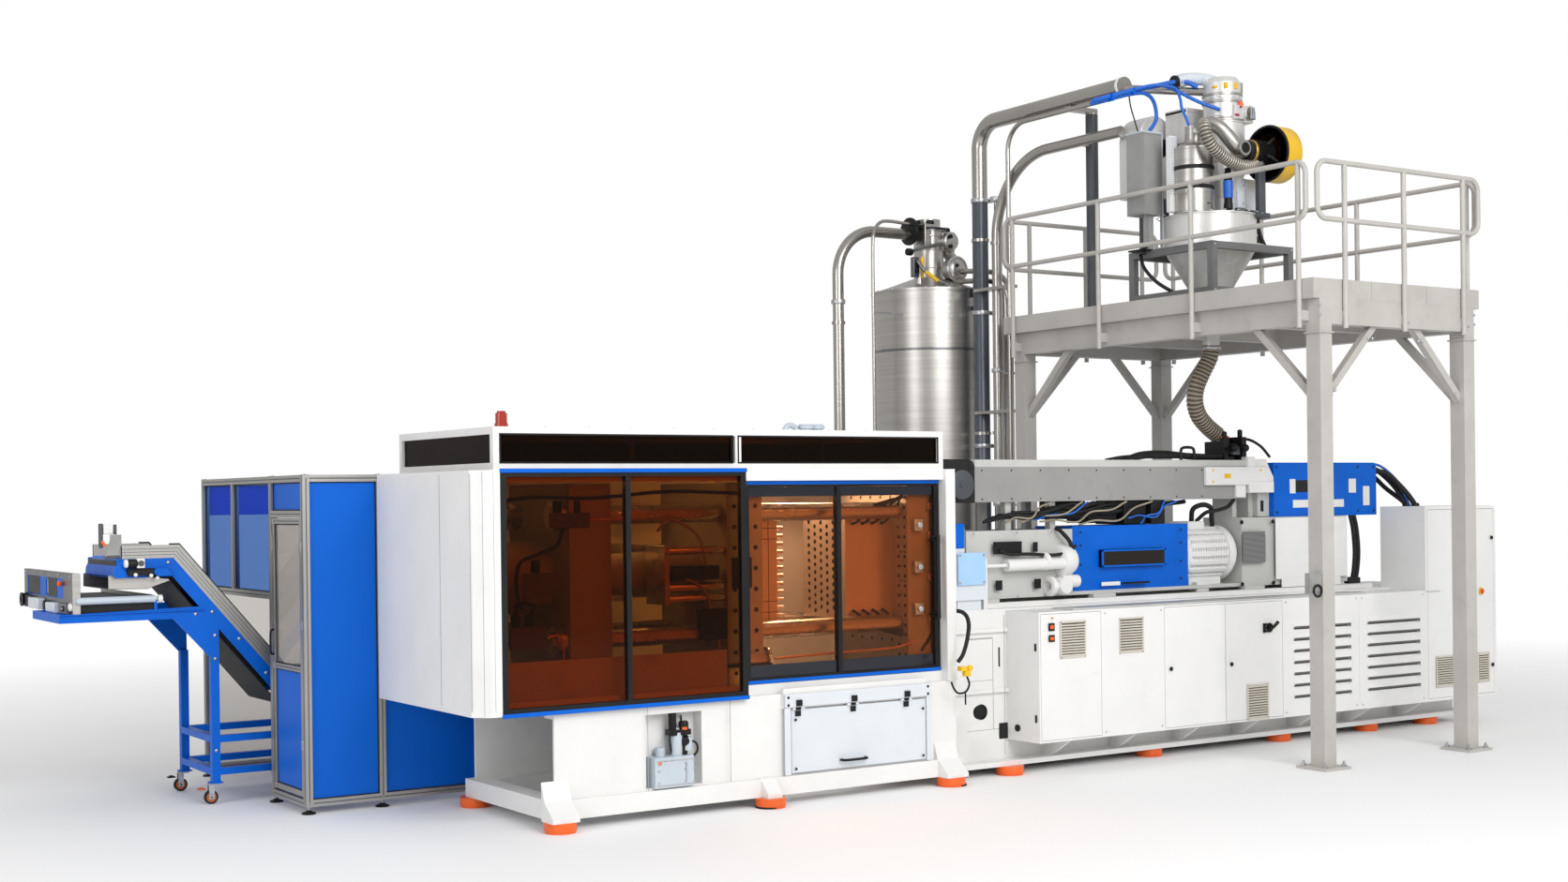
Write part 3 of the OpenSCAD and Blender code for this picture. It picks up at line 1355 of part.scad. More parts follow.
module conveying_pipes() {
  color(steel) union() {
    riser(pipe_x, pipe_y, 0, run_z, end_y, pipe_bend, pipe_r);
    for (z = [0, 2800, 4700]) collar(pipe_x, pipe_y, z, pipe_r);
    riser(pipe_x, second_y, 0, second_z, end_y, second_bend, second_pipe_r);
    for (z = [0, 2800, 4650]) collar(pipe_x, second_y, z, second_pipe_r);
    riser(thin_x, thin_y, 0, thin_z, end_y, 250, thin_r);
    for (z = [3000, 4200]) box([thin_x - 8, thin_y, z], [pipe_x + 12, pipe_y, z + 30]);
    rod_z(deck_top, run_z - pipe_r - 35, column_x, column_y, column_r);
    rod_z(deck_top, deck_top + 12, column_x, column_y, column_r + 45);
    box([pipe_x - 60, column_y - 40, run_z - pipe_r - 35],
      [column_x + 40, column_y + 40, run_z - pipe_r + 8]);
    box([pipe_x, column_y - 20, second_z - 20], [column_x, column_y + 20, second_z + 20]);
    rod_y(end_y - 60, end_y, pipe_x, run_z, pipe_r + 5);
    rod_y(pipe_y, tower_c.y - 80, tower_c.x + 30, outlet_z - 60, 45);
    difference() {
      rod_between([pipe_x, end_y - 20, run_z - 20],
        [recv_c.x, recv_c.y, lid_top + 1110], 36);
      rod_z(lid_top + 800, lid_top + 1300, recv_c.x, recv_c.y, head_r + gap);
    }
    rod_z(0, side_pipe_z - elbow, side_x, tower_c.y, side_r);
    translate([side_x + elbow, tower_c.y, side_pipe_z - elbow]) rotate([90, 0, 0])
      rotate([0, 0, 90]) rotate_extrude(angle = 90) translate([elbow, 0]) circle(r = side_r);
    for (z = [0, 2600, 3900]) collar(side_x, tower_c.y, z, side_r);
    difference() {
      rod_x(side_x + elbow, tower_c.x, tower_c.y, side_pipe_z, side_r);
      rod_z(neck_z0 - cut, neck_z1 + 300, tower_c.x, tower_c.y, neck_r + gap);
      rod_z(neck_z1 - 1, neck_z1 + 15, tower_c.x, tower_c.y, neck_r + 31);
    }
  }
}

tower_wall = 8;
tower_leg = 80;
tower_z0 = 1250;
outlet_z = 650;

module drying_tower() {
  r = tower_r;
  w = tower_wall;
  color(steel) difference() {
    union() {
      translate([tower_c.x, tower_c.y, 0]) rotate_extrude() polygon([
        [80 - w, outlet_z], [80, outlet_z], [r, tower_z0], [r, rim_z - 600], [r + 4, rim_z - 600],
        [r + 4, rim_z - 570], [r, rim_z - 570], [r, rim_z], [r + 12, rim_z],
        [r + 12, rim_z + 24], [r - 15, rim_z + 24], [neck_r, neck_z0], [neck_r, neck_z1],
        [neck_r - w, neck_z1], [neck_r - w, neck_z0], [r - w, rim_z], [r - w, tower_z0 + w],
        [80 - w, outlet_z + w]]);
      rod_z(neck_z1, neck_z1 + 14, tower_c.x, tower_c.y, neck_r + 30);
      rod_z(neck_z1 + 14, neck_z1 + 120, tower_c.x, tower_c.y, neck_r - 30);
      rod_between([tower_c.x, tower_c.y, neck_z1 + 70], [tower_c.x + 330, tower_c.y - 60,
        neck_z0 + 120], 60);
      for (a = [45:90:315])
        translate([tower_c.x + (r - 45) * cos(a), tower_c.y + (r - 45) * sin(a), 0])
          translate([-tower_leg / 2, -tower_leg / 2, 0]) cube([tower_leg, tower_leg, tower_z0 + 40]);
      rod_z(rim_z, valve_z, valve_x, valve_y, 34);
      box([tower_c.x - 80, tower_c.y - 80, outlet_z - 140], [tower_c.x + 80, tower_c.y + 80,
        outlet_z + 2]);
    }
    rod_y(valve_y - 40, valve_y + 40, valve_x, valve_z - 30, 8 + gap);
    rod_z(outlet_z - 140 - cut, outlet_z + w + cut, tower_c.x, tower_c.y, 80 - w);
  }
}

valve_x = tower_c.x - 300;
valve_y = tower_c.y - 230;
valve_z = rim_z + 170;

module tower_valve_lever() {
  lever_y = valve_y - 34 - 12;
  color(yellow) union() {
    rod_y(lever_y, valve_y + 30, valve_x, valve_z - 30, 8);
    box([valve_x - 12, lever_y - 8, valve_z - 42], [valve_x + 12, lever_y + 4, valve_z + 120]);
    rod_z(valve_z + 60, valve_z + 170, valve_x, lever_y - 2, 18);
  }
}

// ---- take-out cell ----

cell_x0 = guard_x0 - 554;
cell_x1 = cell_x0 + cell_x;
cell_y0 = guard_y1;
cell_y1 = cell_y0 + cell_y;
foot_h = 50;
mpost_x = cell_x0 + 550;
post_row = [cell_y0, cell_y0 + 690, cell_y1 - profile];
top_post_y = cell_y0 + 1590;
crail_z = 1500;
front_z = 780;
lintel_z = 2105;

module cell_post(x, y) {
  box([x, y, foot_h], [x + profile, y + profile, cell_top]);
  rod_z(0, 12, x + profile / 2, y + profile / 2, 40);
  rod_z(12, foot_h, x + profile / 2, y + profile / 2, 12);
}

module cell_frame() {
  p = profile;
  color(aluminium) union() {
    for (x = [cell_x0, cell_x1 - p], y = post_row) cell_post(x, y);
    for (y = [cell_y0, cell_y1 - p]) {
      cell_post(mpost_x, y);
      box([cell_x0, y, foot_h], [cell_x1, y + p, foot_h + p]);
      box([cell_x0, y, cell_top - p], [cell_x1, y + p, cell_top]);
    }
    for (x = [cell_x0, cell_x1 - p])
      box([x, cell_y0, cell_top - p], [x + p, cell_y1, cell_top]);
    box([cell_x1 - p, cell_y0, foot_h], [cell_x1, cell_y1, foot_h + p]);
    box([cell_x0, cell_y0, foot_h], [cell_x0 + p, post_row[1] + p, foot_h + p]);
    box([mpost_x, cell_y0, front_z], [cell_x1, cell_y0 + p, front_z + p]);
    box([cell_x0, post_row[1], crail_z], [cell_x0 + p, cell_y1, crail_z + p]);
    box([cell_x0, top_post_y, crail_z], [cell_x0 + p, top_post_y + p, cell_top]);
    box([cell_x0, cell_y0, lintel_z], [cell_x0 + p, post_row[1], lintel_z + p]);
    for (z = [foot_h + p, lintel_z]) door_socket(z);
  }
}

cell_door_t = 30;
cell_pin = [cell_x0 + cell_door_t / 2 + 4, cell_y0 + profile + 26];
cell_pin_r = 6;

// Socket block for a hinge pin of the access door
module door_socket(z) {
  s = z > front_z ? -1 : 1;
  z0 = s > 0 ? z : z - 12;
  difference() {
    box([cell_pin.x - 12, cell_pin.y - 27, z0], [cell_pin.x + 12, cell_pin.y + 12, z0 + 12]);
    rod_z(z0 - cut, z0 + 12 + cut, cell_pin.x, cell_pin.y, cell_pin_r + gap);
  }
}

module cell_door() {
  x0 = cell_x0 + 4;
  y0 = cell_y0 + profile + 8;
  y1 = post_row[1] - 8;
  z0 = foot_h + profile + 16;
  z1 = lintel_z - 16;
  mid = 1040;
  bar = 40;
  color(aluminium) union() {
    frame_yz([x0, y0, z0], [x0 + cell_door_t, y1, z1], bar);
    box([x0, y0, mid - bar], [x0 + cell_door_t, y1, mid]);
    box([x0 + 12, y0 + bar, z0 + bar], [x0 + 12 + panel_t, y1 - bar, mid - bar]);
    box([x0 + 12, y0 + bar, mid], [x0 + 12 + panel_t, y1 - bar, z1 - bar]);
    for (z = [z0 - 14, z1]) rod_z(z, z + 14, cell_pin.x, cell_pin.y, cell_pin_r);
    box([x0 - 30, y1 - 32, mid + 60], [x0 - 20, y1 - 8, mid + 240]);
    for (z = [mid + 70, mid + 210]) box([x0 - 20, y1 - 28, z], [x0, y1 - 12, z + 20]);
  }
}

module frame_yz(lo, hi, bar) {
  difference() {
    box(lo, hi);
    box([lo.x - cut, lo.y + bar, lo.z + bar], [hi.x + cut, hi.y - bar, hi.z - bar]);
  }
}

module cell_panels() {
  p = profile;
  t = panel_t;
  m = (p - t) / 2;
  z0 = foot_h + p;
  z1 = cell_top - p;
  color(blue) {
    for (y = [cell_y0 + m, cell_y1 - p + m]) box([cell_x0 + p, y, z0], [mpost_x, y + t, z1]);
    box([mpost_x + p, cell_y0 + m, z0], [cell_x1 - p, cell_y0 + m + t, front_z]);
    box([mpost_x + p, cell_y1 - p + m, z0], [cell_x1 - p, cell_y1 - p + m + t, z1]);
    for (k = [0, 1])
      box([cell_x1 - p + m, post_row[k] + p, z0], [cell_x1 - p + m + t, post_row[k + 1], z1]);
    box([cell_x0 + m, cell_y0 + p, lintel_z + p], [cell_x0 + m + t, post_row[1], z1]);
    box([cell_x0 + m, post_row[1] + p, crail_z + p], [cell_x0 + m + t, top_post_y, z1]);
    box([cell_x0 + m, top_post_y + p, crail_z + p], [cell_x0 + m + t, post_row[2], z1]);
  }
}

// ---- outfeed conveyor ----

conv_y0 = cell_y0 + 900;
conv_y1 = conv_y0 + conv_w;
side_t = 20;
knee_x = cell_x0 - 656;
knee_run = (conv_top - conv_low) / tan(slope);
knee2_x = knee_x + knee_run;
upper_x = knee_x - 400;
tail_x = cell_x0 + 1620;
bar_low = conv_top - 445;
bar_h = 60;
bar_end_x = knee_x - 800;
cross_x0 = bar_end_x + 107;
cross_w = 573;
cross_len = 1500;
leg_w = 60;
leg_x = [cell_x0 - 390, cell_x0 + 600];
leg_z0 = 150;
foot_t = 10;
belt_t = 8;
belt_h = 110;
belt_gap = 10;
// Offset along X that keeps the inclined band square to its thickness
band_shift = conv_side * tan(slope / 2);
belt_dx = belt_h * tan(slope / 2);
alu_h = 95;
alu_shift = alu_h * tan(slope / 2);

module side_band(y0, y1) {
  plate_xz([[upper_x, conv_top], [knee_x, conv_top], [knee2_x, conv_low], [tail_x, conv_low],
    [tail_x, conv_low - conv_side], [knee2_x - band_shift, conv_low - conv_side],
    [knee_x - band_shift, conv_top - conv_side], [upper_x, conv_top - conv_side]], y0, y1);
  plate_xz([[upper_x + 36, conv_top + alu_h], [knee_x + alu_shift, conv_top + alu_h],
    [knee2_x + alu_shift, conv_low + alu_h], [tail_x, conv_low + alu_h], [tail_x, conv_low],
    [knee2_x, conv_low], [knee_x, conv_top], [upper_x + 36, conv_top]], y0, y1);
  gusset_z = conv_top - 360;
  gusset_x = knee_x + (conv_top - gusset_z) / tan(slope);
  plate_xz([[bar_end_x, bar_low], [bar_end_x, bar_low + bar_h], [gusset_x - band_shift, gusset_z],
    [leg_x[0] + leg_w, bar_low - 40], [leg_x[0] + leg_w, bar_low - 300], [leg_x[0], bar_low - 300],
    [leg_x[0] - 270, bar_low]], y0, y1);
}

module conveyor_frame() {
  bar_in = conv_y0 + side_t;
  color(blue) difference() {
    union() {
      for (y = [conv_y0, conv_y1 - side_t]) side_band(y, y + side_t);
      for (x = leg_x, y = [conv_y0, conv_y1 - leg_w]) {
        top = x == leg_x[0] ? bar_low - 290 : conv_low - 20;
        box([x, y, leg_z0], [x + leg_w, y + leg_w, top]);
        box([x - 15, y - 15, leg_z0], [x + leg_w + 15, y + leg_w + 15, leg_z0 + foot_t]);
      }
      for (x = leg_x, z = [leg_z0 + 60, leg_z0 + 300])
        box([x, conv_y0, z], [x + leg_w, conv_y1, z + 50]);
      for (y = [conv_y0, conv_y1 - leg_w], z = [leg_z0 + 60, leg_z0 + 300])
        box([leg_x[0], y, z], [leg_x[1], y + leg_w, z + 50]);
      for (x = [bar_end_x, bar_end_x + 300, bar_end_x + 500])
        box([x, conv_y0, bar_low], [x + 40, conv_y1, bar_low + bar_h]);
      for (x = [cross_x0, cross_x0 + cross_w - cross_rail])
        box([x, conv_y0, bar_low + bar_h], [x + cross_rail, conv_y0 + cross_len, bar_low + 165]);
      box([tail_x - 40, conv_y0, conv_low - conv_side], [tail_x, conv_y1, conv_low]);
      end_plate();
      for (y = [conv_y0, conv_y1 - leg_w]) fork_cheeks(leg_x[1] + leg_w / 2, y + leg_w / 2, leg_z0);
    }
    for (y = [conv_y0, conv_y1 - leg_w])
      rod_z(leg_z0 - cut, leg_z0 + foot_t + 30, leg_x[0] + leg_w / 2, y + leg_w / 2, king_r + gap);
  }
}

// Plate with two openings along the cross belt's outer side
module end_plate() {
  z0 = bar_low + bar_h;
  difference() {
    box([cross_x0 - 12, conv_y0 + 10, z0], [cross_x0, conv_y0 + cross_len + 30, z0 + 290]);
    for (y = [530, 1110])
      box([cross_x0 - 12 - cut, conv_y0 + y, z0 + 120], [cross_x0 + cut, conv_y0 + y + 300, z0 + 230]);
  }
}

cross_rail = 20;
cheek_gap = 3;
cheek_t = 5;
axle_r = 6;
king_r = 10;
trail = 35;
fork_z1 = leg_z0 - gap;

module fork_cheeks(x, y, z1) {
  for (s = [-1, 1]) {
    y0 = y + (s < 0 ? -wheel_w / 2 - cheek_gap - cheek_t : wheel_w / 2 + cheek_gap);
    difference() {
      box([x - 20, y0, wheel_r - 14], [x + 20, y0 + cheek_t, z1]);
      rod_y(y0 - cut, y0 + cheek_t + cut, x, wheel_r, axle_r + gap);
    }
  }
}

module swivel_fork(j) {
  y = castor_y[j];
  x = leg_x[0] + leg_w / 2;
  half = wheel_w / 2 + cheek_gap + cheek_t;
  color(steel) union() {
    box([x - trail - 20, y - half, fork_z1 - 12], [x + 30, y + half, fork_z1]);
    rod_z(fork_z1 - 12, leg_z0 + foot_t + 20, x, y, king_r);
    fork_cheeks(x - trail, y, fork_z1 - 12);
  }
}

module castor_wheel(i, j) {
  x = castor_x[i];
  y = castor_y[j];
  half = wheel_w / 2 + cheek_gap + cheek_t + 3;
  color(orange) union() {
    rod_y(y - wheel_w / 2, y + wheel_w / 2, x, wheel_r, wheel_r);
    rod_y(y - half, y + half, x, wheel_r, axle_r);
  }
}

castor_y = [conv_y0 + leg_w / 2, conv_y1 - leg_w / 2];
castor_x = [leg_x[0] + leg_w / 2 - trail, leg_x[1] + leg_w / 2];

// Closed belt loop between the side plates, and the short cross belt on the lower frame
module conveyor_belt() {
  y0 = conv_y0 + leg_w + belt_gap;
  y1 = conv_y1 - leg_w - belt_gap;
  t = belt_t;
  s = t * tan(slope / 2);
  top = conv_top - 12;
  low = conv_low - 12;
  color(black) difference() {
    plate_xz([[upper_x + 20, top], [knee_x, top], [knee2_x, low], [tail_x - 60, low],
      [tail_x - 60, low - belt_h], [knee2_x - belt_dx, low - belt_h],
      [knee_x - belt_dx, top - belt_h], [upper_x + 20, top - belt_h]], y0, y1);
    plate_xz([[upper_x + 20 + t, top - t], [knee_x - s, top - t], [knee2_x - s, low - t],
      [tail_x - 60 - t, low - t], [tail_x - 60 - t, low - belt_h + t],
      [knee2_x - belt_dx + s, low - belt_h + t], [knee_x - belt_dx + s, top - belt_h + t],
      [upper_x + 20 + t, top - belt_h + t]], y0 - cut, y1 + cut);
  }
  color(steel) for (p = [[upper_x + 80, top - belt_h / 2], [tail_x - 140, low - belt_h / 2]])
    rod_y(conv_y0 + side_t, conv_y1 - side_t, p[0], p[1], belt_h / 2 - t + 1);
  color(black) difference() {
    box([cross_x0 + cross_rail, conv_y0 + side_t, bar_low + bar_h],
      [cross_x0 + cross_w - cross_rail, conv_y0 + cross_len - 10, bar_low + 150]);
    side_band(conv_y1 - side_t, conv_y1);
  }
}

clamp_bed();
leveling_feet();
lube_unit();
chute_flap();
guard_shell();
front_window_frame();
amber_glazing();
roof_frame();
beacon();
mould_door();
mould_door_glass();
fixed_platen();
rear_platen();
tie_bars();
moving_platen();
mould_fixed_half();
mould_moving_half();
drop_tray();
injection_bed();
cabinet_shell();
tall_cabinet();
terminal_box();
cabinet_door_1();
cabinet_door_2();
cabinet_door_3();
tall_cabinet_door();
main_switch();
estop_button();
injection_carriage();
shot_unit();
drive_cover();
drive_motor();
barrel_guard();
barrel();
screw();
upper_cover();
throat_valve();
platform_frame();
handrails();
hopper_stand();
hopper();
vacuum_receiver();
dust_filter();
filter_control_box();
suction_blower();
throat_hose();
conveying_pipes();
drying_tower();
tower_valve_lever();
cell_frame();
cell_panels();
cell_door();
conveyor_frame();
conveyor_belt();
swivel_fork(0);  // castor_fork_1
swivel_fork(1);  // castor_fork_2
castor_wheel(0, 0);  // castor_wheel_1
castor_wheel(0, 1);  // castor_wheel_2
castor_wheel(1, 0);  // castor_wheel_3
castor_wheel(1, 1);  // castor_wheel_4
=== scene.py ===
# %% [markdown]
# This lesson dresses an injection molding machine with its platform, dryer and conveyor.
# The solid shapes come from CAD and are loaded as a fixed frame. Everything made here is
# either a finish for those solids or a piece of detail that is laid on them.
# We load the frame first, because each place below is measured from it.

import bmesh
import bpy
import numpy as np
from mathutils import Matrix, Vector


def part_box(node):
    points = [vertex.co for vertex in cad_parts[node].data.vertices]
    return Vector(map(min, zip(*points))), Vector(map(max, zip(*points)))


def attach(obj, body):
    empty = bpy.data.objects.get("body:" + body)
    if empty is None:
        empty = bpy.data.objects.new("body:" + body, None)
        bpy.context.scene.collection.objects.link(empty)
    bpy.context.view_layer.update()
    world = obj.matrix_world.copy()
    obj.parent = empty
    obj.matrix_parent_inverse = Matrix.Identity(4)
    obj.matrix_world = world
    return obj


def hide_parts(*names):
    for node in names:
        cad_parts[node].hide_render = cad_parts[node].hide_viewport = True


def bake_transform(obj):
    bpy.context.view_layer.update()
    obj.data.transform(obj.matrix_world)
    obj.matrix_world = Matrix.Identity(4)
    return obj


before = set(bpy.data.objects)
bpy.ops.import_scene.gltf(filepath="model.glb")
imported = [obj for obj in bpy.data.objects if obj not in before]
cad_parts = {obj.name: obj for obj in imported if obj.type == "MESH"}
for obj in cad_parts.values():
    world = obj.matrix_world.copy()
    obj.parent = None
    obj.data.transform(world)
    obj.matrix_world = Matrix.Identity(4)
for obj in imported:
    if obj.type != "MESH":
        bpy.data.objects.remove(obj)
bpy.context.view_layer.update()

# %% [markdown]
# The machine is shown as one sees it from the operator's aisle: a little left of the clamp
# end, at eye level. A camera is a place, three directions and a lens. We build the three
# directions from turn, pitch and roll, as the columns of a matrix, because that keeps the
# numbers readable. The lens shift keeps upright edges upright while showing the high platform.

# %% Camera
def camera_matrix(place, turn, pitch, roll):
    """Forward points along the turn and pitch; right is level; both then roll about forward."""
    turn, pitch, roll = np.radians([turn, pitch, roll])
    forward = np.array([np.sin(turn) * np.cos(pitch), np.cos(turn) * np.cos(pitch), np.sin(pitch)])
    level = np.array([np.cos(turn), -np.sin(turn), 0.0])
    upright = np.cross(level, forward)
    right = np.cos(roll) * level + np.sin(roll) * upright
    up = np.cos(roll) * upright - np.sin(roll) * level
    matrix = np.eye(4)
    matrix[:3, 0], matrix[:3, 1], matrix[:3, 2], matrix[:3, 3] = right, up, -forward, place
    return Matrix(matrix.tolist())


lens = bpy.data.cameras.new("aisle_view")
lens.lens, lens.sensor_width, lens.shift_y = 43.51, 36.0, 0.03976
lens.clip_start, lens.clip_end = 0.1, 200.0
camera = bpy.data.objects.new("aisle_view", lens)
camera.matrix_world = camera_matrix((-5.7128, -11.3131, 2.204), 33.6363, -0.16088, -0.69587)
scene = bpy.context.scene
scene.collection.objects.link(camera)
scene.camera = camera
scene.view_settings.view_transform = "Standard"
print("camera stands", round(float(np.hypot(*camera.location[:2])), 2), "m from the corner pad")

# %% [markdown]
# A mesh is points and faces. Every shape below is a grid of points worked out in one go with
# numpy: two parameters run over the grid and a formula turns them into x, y and z. These few
# helpers make boxes, turned parts, bars along a path and flat plates, and join them.

# %% Shape helpers
box_pick = np.array([[i, j, k] for i in (0, 1) for j in (0, 1) for k in (0, 1)])
box_faces = np.array([[0, 1, 3, 2], [4, 6, 7, 5], [0, 4, 5, 1], [2, 3, 7, 6], [0, 2, 6, 4], [1, 5, 7, 3]])


def boxes(*corners):
    """Each box is two corners, six numbers in all; its eight points pick low or high for x, y and z."""
    low_high = np.array(corners, float).reshape(-1, 2, 3)
    low, high = low_high.min(1), low_high.max(1)
    points = low[:, None] + box_pick[None] * (high - low)[:, None]
    faces = box_faces[None] + 8 * np.arange(len(low))[:, None, None]
    return points.reshape(-1, 3), faces.reshape(-1, 4).tolist()


def grid_faces(rows, columns):
    """Quads between neighbouring rows; the last column joins the first."""
    i, j = np.meshgrid(np.arange(rows - 1), np.arange(columns), indexing="ij")
    a, b = i * columns + j, i * columns + (j + 1) % columns
    return np.stack([a, b, b + columns, a + columns], -1).reshape(-1, 4).tolist()


def turned(profile, centres, axis="z", sides=32, hollow=False):
    """A (radius, height) profile is turned about an axis through each centre; a hollow one closes on itself."""
    radius, height = np.array(profile, float).T
    angle = np.linspace(0, 2 * np.pi, sides, endpoint=False)
    ring = np.stack([np.outer(radius, np.cos(angle)), np.outer(radius, np.sin(angle)),
        np.repeat(height[:, None], sides, 1)], -1).reshape(-1, 3)
    ring = ring[:, {"z": [0, 1, 2], "x": [2, 0, 1], "y": [1, 2, 0]}[axis]]
    centres = np.array(centres, float).reshape(-1, 3)
    count = len(ring)
    skin = grid_faces(len(radius), sides)
    if hollow:
        skin += [[count - sides + i, count - sides + (i + 1) % sides, (i + 1) % sides, i] for i in range(sides)]
    else:
        skin += [list(range(sides))[::-1], list(range(count - sides, count))]
    faces = [[v + n * count for v in face] for n in range(len(centres)) for face in skin]
    return (centres[:, None] + ring[None]).reshape(-1, 3), faces


def disc(radius, depth, centres, axis="z", sides=32, top=None):
    """A round bar; its depth runs along the axis and may be negative, and its middle may rise to a top."""
    return turned([(0, 0), (radius, 0), (radius, depth), (0, top or depth)], centres, axis, sides)


def head(radius, side, top_radius, top, centres, axis="z", sides=32):
    """A screw head or cap: its side rises to a chamfer, which ends in a flat top."""
    return turned([(0, 0), (radius, 0), (radius, side), (top_radius, top), (0, top)], centres, axis, sides)


def curve_through(points, count=40):
    """A smooth curve through the points: each span is a cubic set by its four neighbours."""
    p = np.array(points, float)
    p = np.vstack([2 * p[0] - p[1], p, 2 * p[-1] - p[-2]])
    t = np.linspace(0, len(p) - 3 - 1e-9, count)
    i, f = t.astype(int), (t % 1)[:, None]
    a, b, c, d = p[i], p[i + 1], p[i + 2], p[i + 3]
    return 0.5 * (2 * b + (c - a) * f + (2 * a - 5 * b + 4 * c - d) * f**2 + (3 * b - a - 3 * c + d) * f**3)


def tube(path, radius, sides=12):
    """A circle is carried along the path, square to it; the radius may vary along the way."""
    path = np.array(path, float)
    ahead = np.gradient(path, axis=0)
    ahead /= np.linalg.norm(ahead, axis=1, keepdims=True)
    spread = np.abs(ahead).max(0)
    aside = np.cross(ahead, np.eye(3)[int(np.argmin(spread))])
    aside /= np.linalg.norm(aside, axis=1, keepdims=True)
    above = np.cross(ahead, aside)
    angle = np.linspace(0, 2 * np.pi, sides, endpoint=False)[None, :, None]
    radius = np.broadcast_to(radius, len(path))[:, None, None]
    ring = path[:, None] + radius * (np.cos(angle) * aside[:, None] + np.sin(angle) * above[:, None])
    count = len(path) * sides
    faces = grid_faces(len(path), sides) + [list(range(sides))[::-1], list(range(count - sides, count))]
    return ring.reshape(-1, 3), faces


def pipe(route, radius, sides=12, count=40):
    """A round tube along the smooth curve through a route."""
    return tube(curve_through(route, count), radius, sides)


def plate(outline, axis, low, high):
    """A flat outline in the plane square to the axis, given thickness from low to high."""
    flat = np.array(outline, float)
    place = {"x": 0, "y": 1, "z": 2}[axis]
    points = np.vstack([np.insert(flat, place, low, 1), np.insert(flat, place, high, 1)])
    n = len(flat)
    rim = [[i, (i + 1) % n, n + (i + 1) % n, n + i] for i in range(n)]
    return points, rim + [list(range(n))[::-1], list(range(n, 2 * n))]


# %% [markdown]
# A piece is one or more of those shapes in one mesh. It rides on a body of the machine, so
# that it moves with it. A table holds the usual slot of each finish, and a piece may name its
# own; the slot is looked up but not kept. Faces are made to point outwards, and a small live
# bevel catches light on edges that a press brake would round.

# %% Piece helper
finishes = {}
made = []
carriage = "injection_carriage"
slot_of = {finish: slot for slot, finishes_of in {"black_plastic": "rubber_black vent_dark",
    "ground_steel": "zinc ground_steel copper_pipe", "blue_paint": "blue_coat cable_blue",
    "black_frame": "black_coat navy_band",
    "light_grey_paint": "light_grey_coat panel_grey band_grey pale_blue satin_steel vent_frame",
    "mid_grey_paint": "mid_grey_coat", "orange_pad": "orange_coat",
    "dark_grey_paint": "dark_grey_coat slot_grey grille riser_grey", "white_paint": "white_inside white_coat",
    "beige_hose": "hose_beige hose_dark", "yellow_paint": "yellow_coat brass_band",
    "amber_pane": "amber_dark clear_dark", "stainless_steel": "stainless stainless_dark pipe_steel",
    "red_lens": "red_lens", "platform_grey_paint": "platform_grey",
    "blue_panel": "blue_sheet blue_window clear_sheet", "profile_aluminium": "anodised",
    "orange_wheel": "orange_hub"}.items() for finish in finishes_of.split()}


def piece(name, shapes, finish, body="machine", slot=None, bevel=0.0, angle=40):
    """Shapes become one mesh with one finish; it rides on a body. A slot is looked up, the finish's usual one or
    its own, but not kept.
    """
    slot = slot or slot_of[finish]
    shapes = shapes if isinstance(shapes, list) else [shapes]
    start, points, faces = 0, [], []
    for shape_points, shape_faces in shapes:
        points.append(shape_points)
        faces += [[v + start for v in face] for face in shape_faces]
        start += len(shape_points)
    mesh = bpy.data.meshes.new(name)
    mesh.from_pydata(np.vstack(points).tolist(), [], faces)
    tidy = bmesh.new()
    tidy.from_mesh(mesh)
    bmesh.ops.recalc_face_normals(tidy, faces=tidy.faces)
    tidy.to_mesh(mesh)
    tidy.free()
    mesh.polygons.foreach_set("use_smooth", np.ones(len(mesh.polygons), bool))
    mesh.set_sharp_from_angle(angle=np.radians(angle))
    mesh.materials.append(finishes[finish])
    thing = bpy.data.objects.new(name, mesh)
    scene.collection.objects.link(thing)
    if bevel:
        edge = thing.modifiers.new("edge", "BEVEL")
        edge.width, edge.segments, edge.limit_method = bevel, 2, "ANGLE"
        edge.harden_normals = False
    if body:
        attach(thing, body)
    made.append(thing)
    return thing


def path_length(path):
    """The sum of the distances between neighbouring points."""
    return float(np.linalg.norm(np.diff(path, axis=0), axis=1).sum())


def free_cord(name, route, radius, finish, sides=12, count=40, shape=None, body="machine",
        slot="black_plastic"):
    """A cable between two fixed ends, made as a tube along its own curve unless a shape is given."""
    path = curve_through(route, count)
    thing = piece(name, shape or tube(path, radius, sides), finish, body=body, slot=slot, angle=80)
    return thing


# %% [markdown]
# Paint on a machine is not one flat colour: the coat has a fine orange-peel, and oil, dust and
# light wear shift its tone. One node recipe serves the paints. A broad noise moves the colour a
# little, a fine noise drives the bump, and a third changes the roughness in patches. It all
# reads Object coordinates, so the pattern keeps its real size on every solid.

# %% Finish helper
def feed(tree, node, inputs):
    """Each named input gets its value, or a link where the value is another node's output."""
    for key, value in inputs.items():
        if isinstance(value, bpy.types.NodeSocket):
            tree.links.new(value, node.inputs[key])
        else:
            node.inputs[key].default_value = value
    return node


def grow(tree, kind, inputs=None, **settings):
    """A new shader node with its settings and inputs filled in."""
    node = tree.nodes.new("ShaderNode" + kind)
    for key, value in settings.items():
        setattr(node, key, value)
    return feed(tree, node, inputs or {})


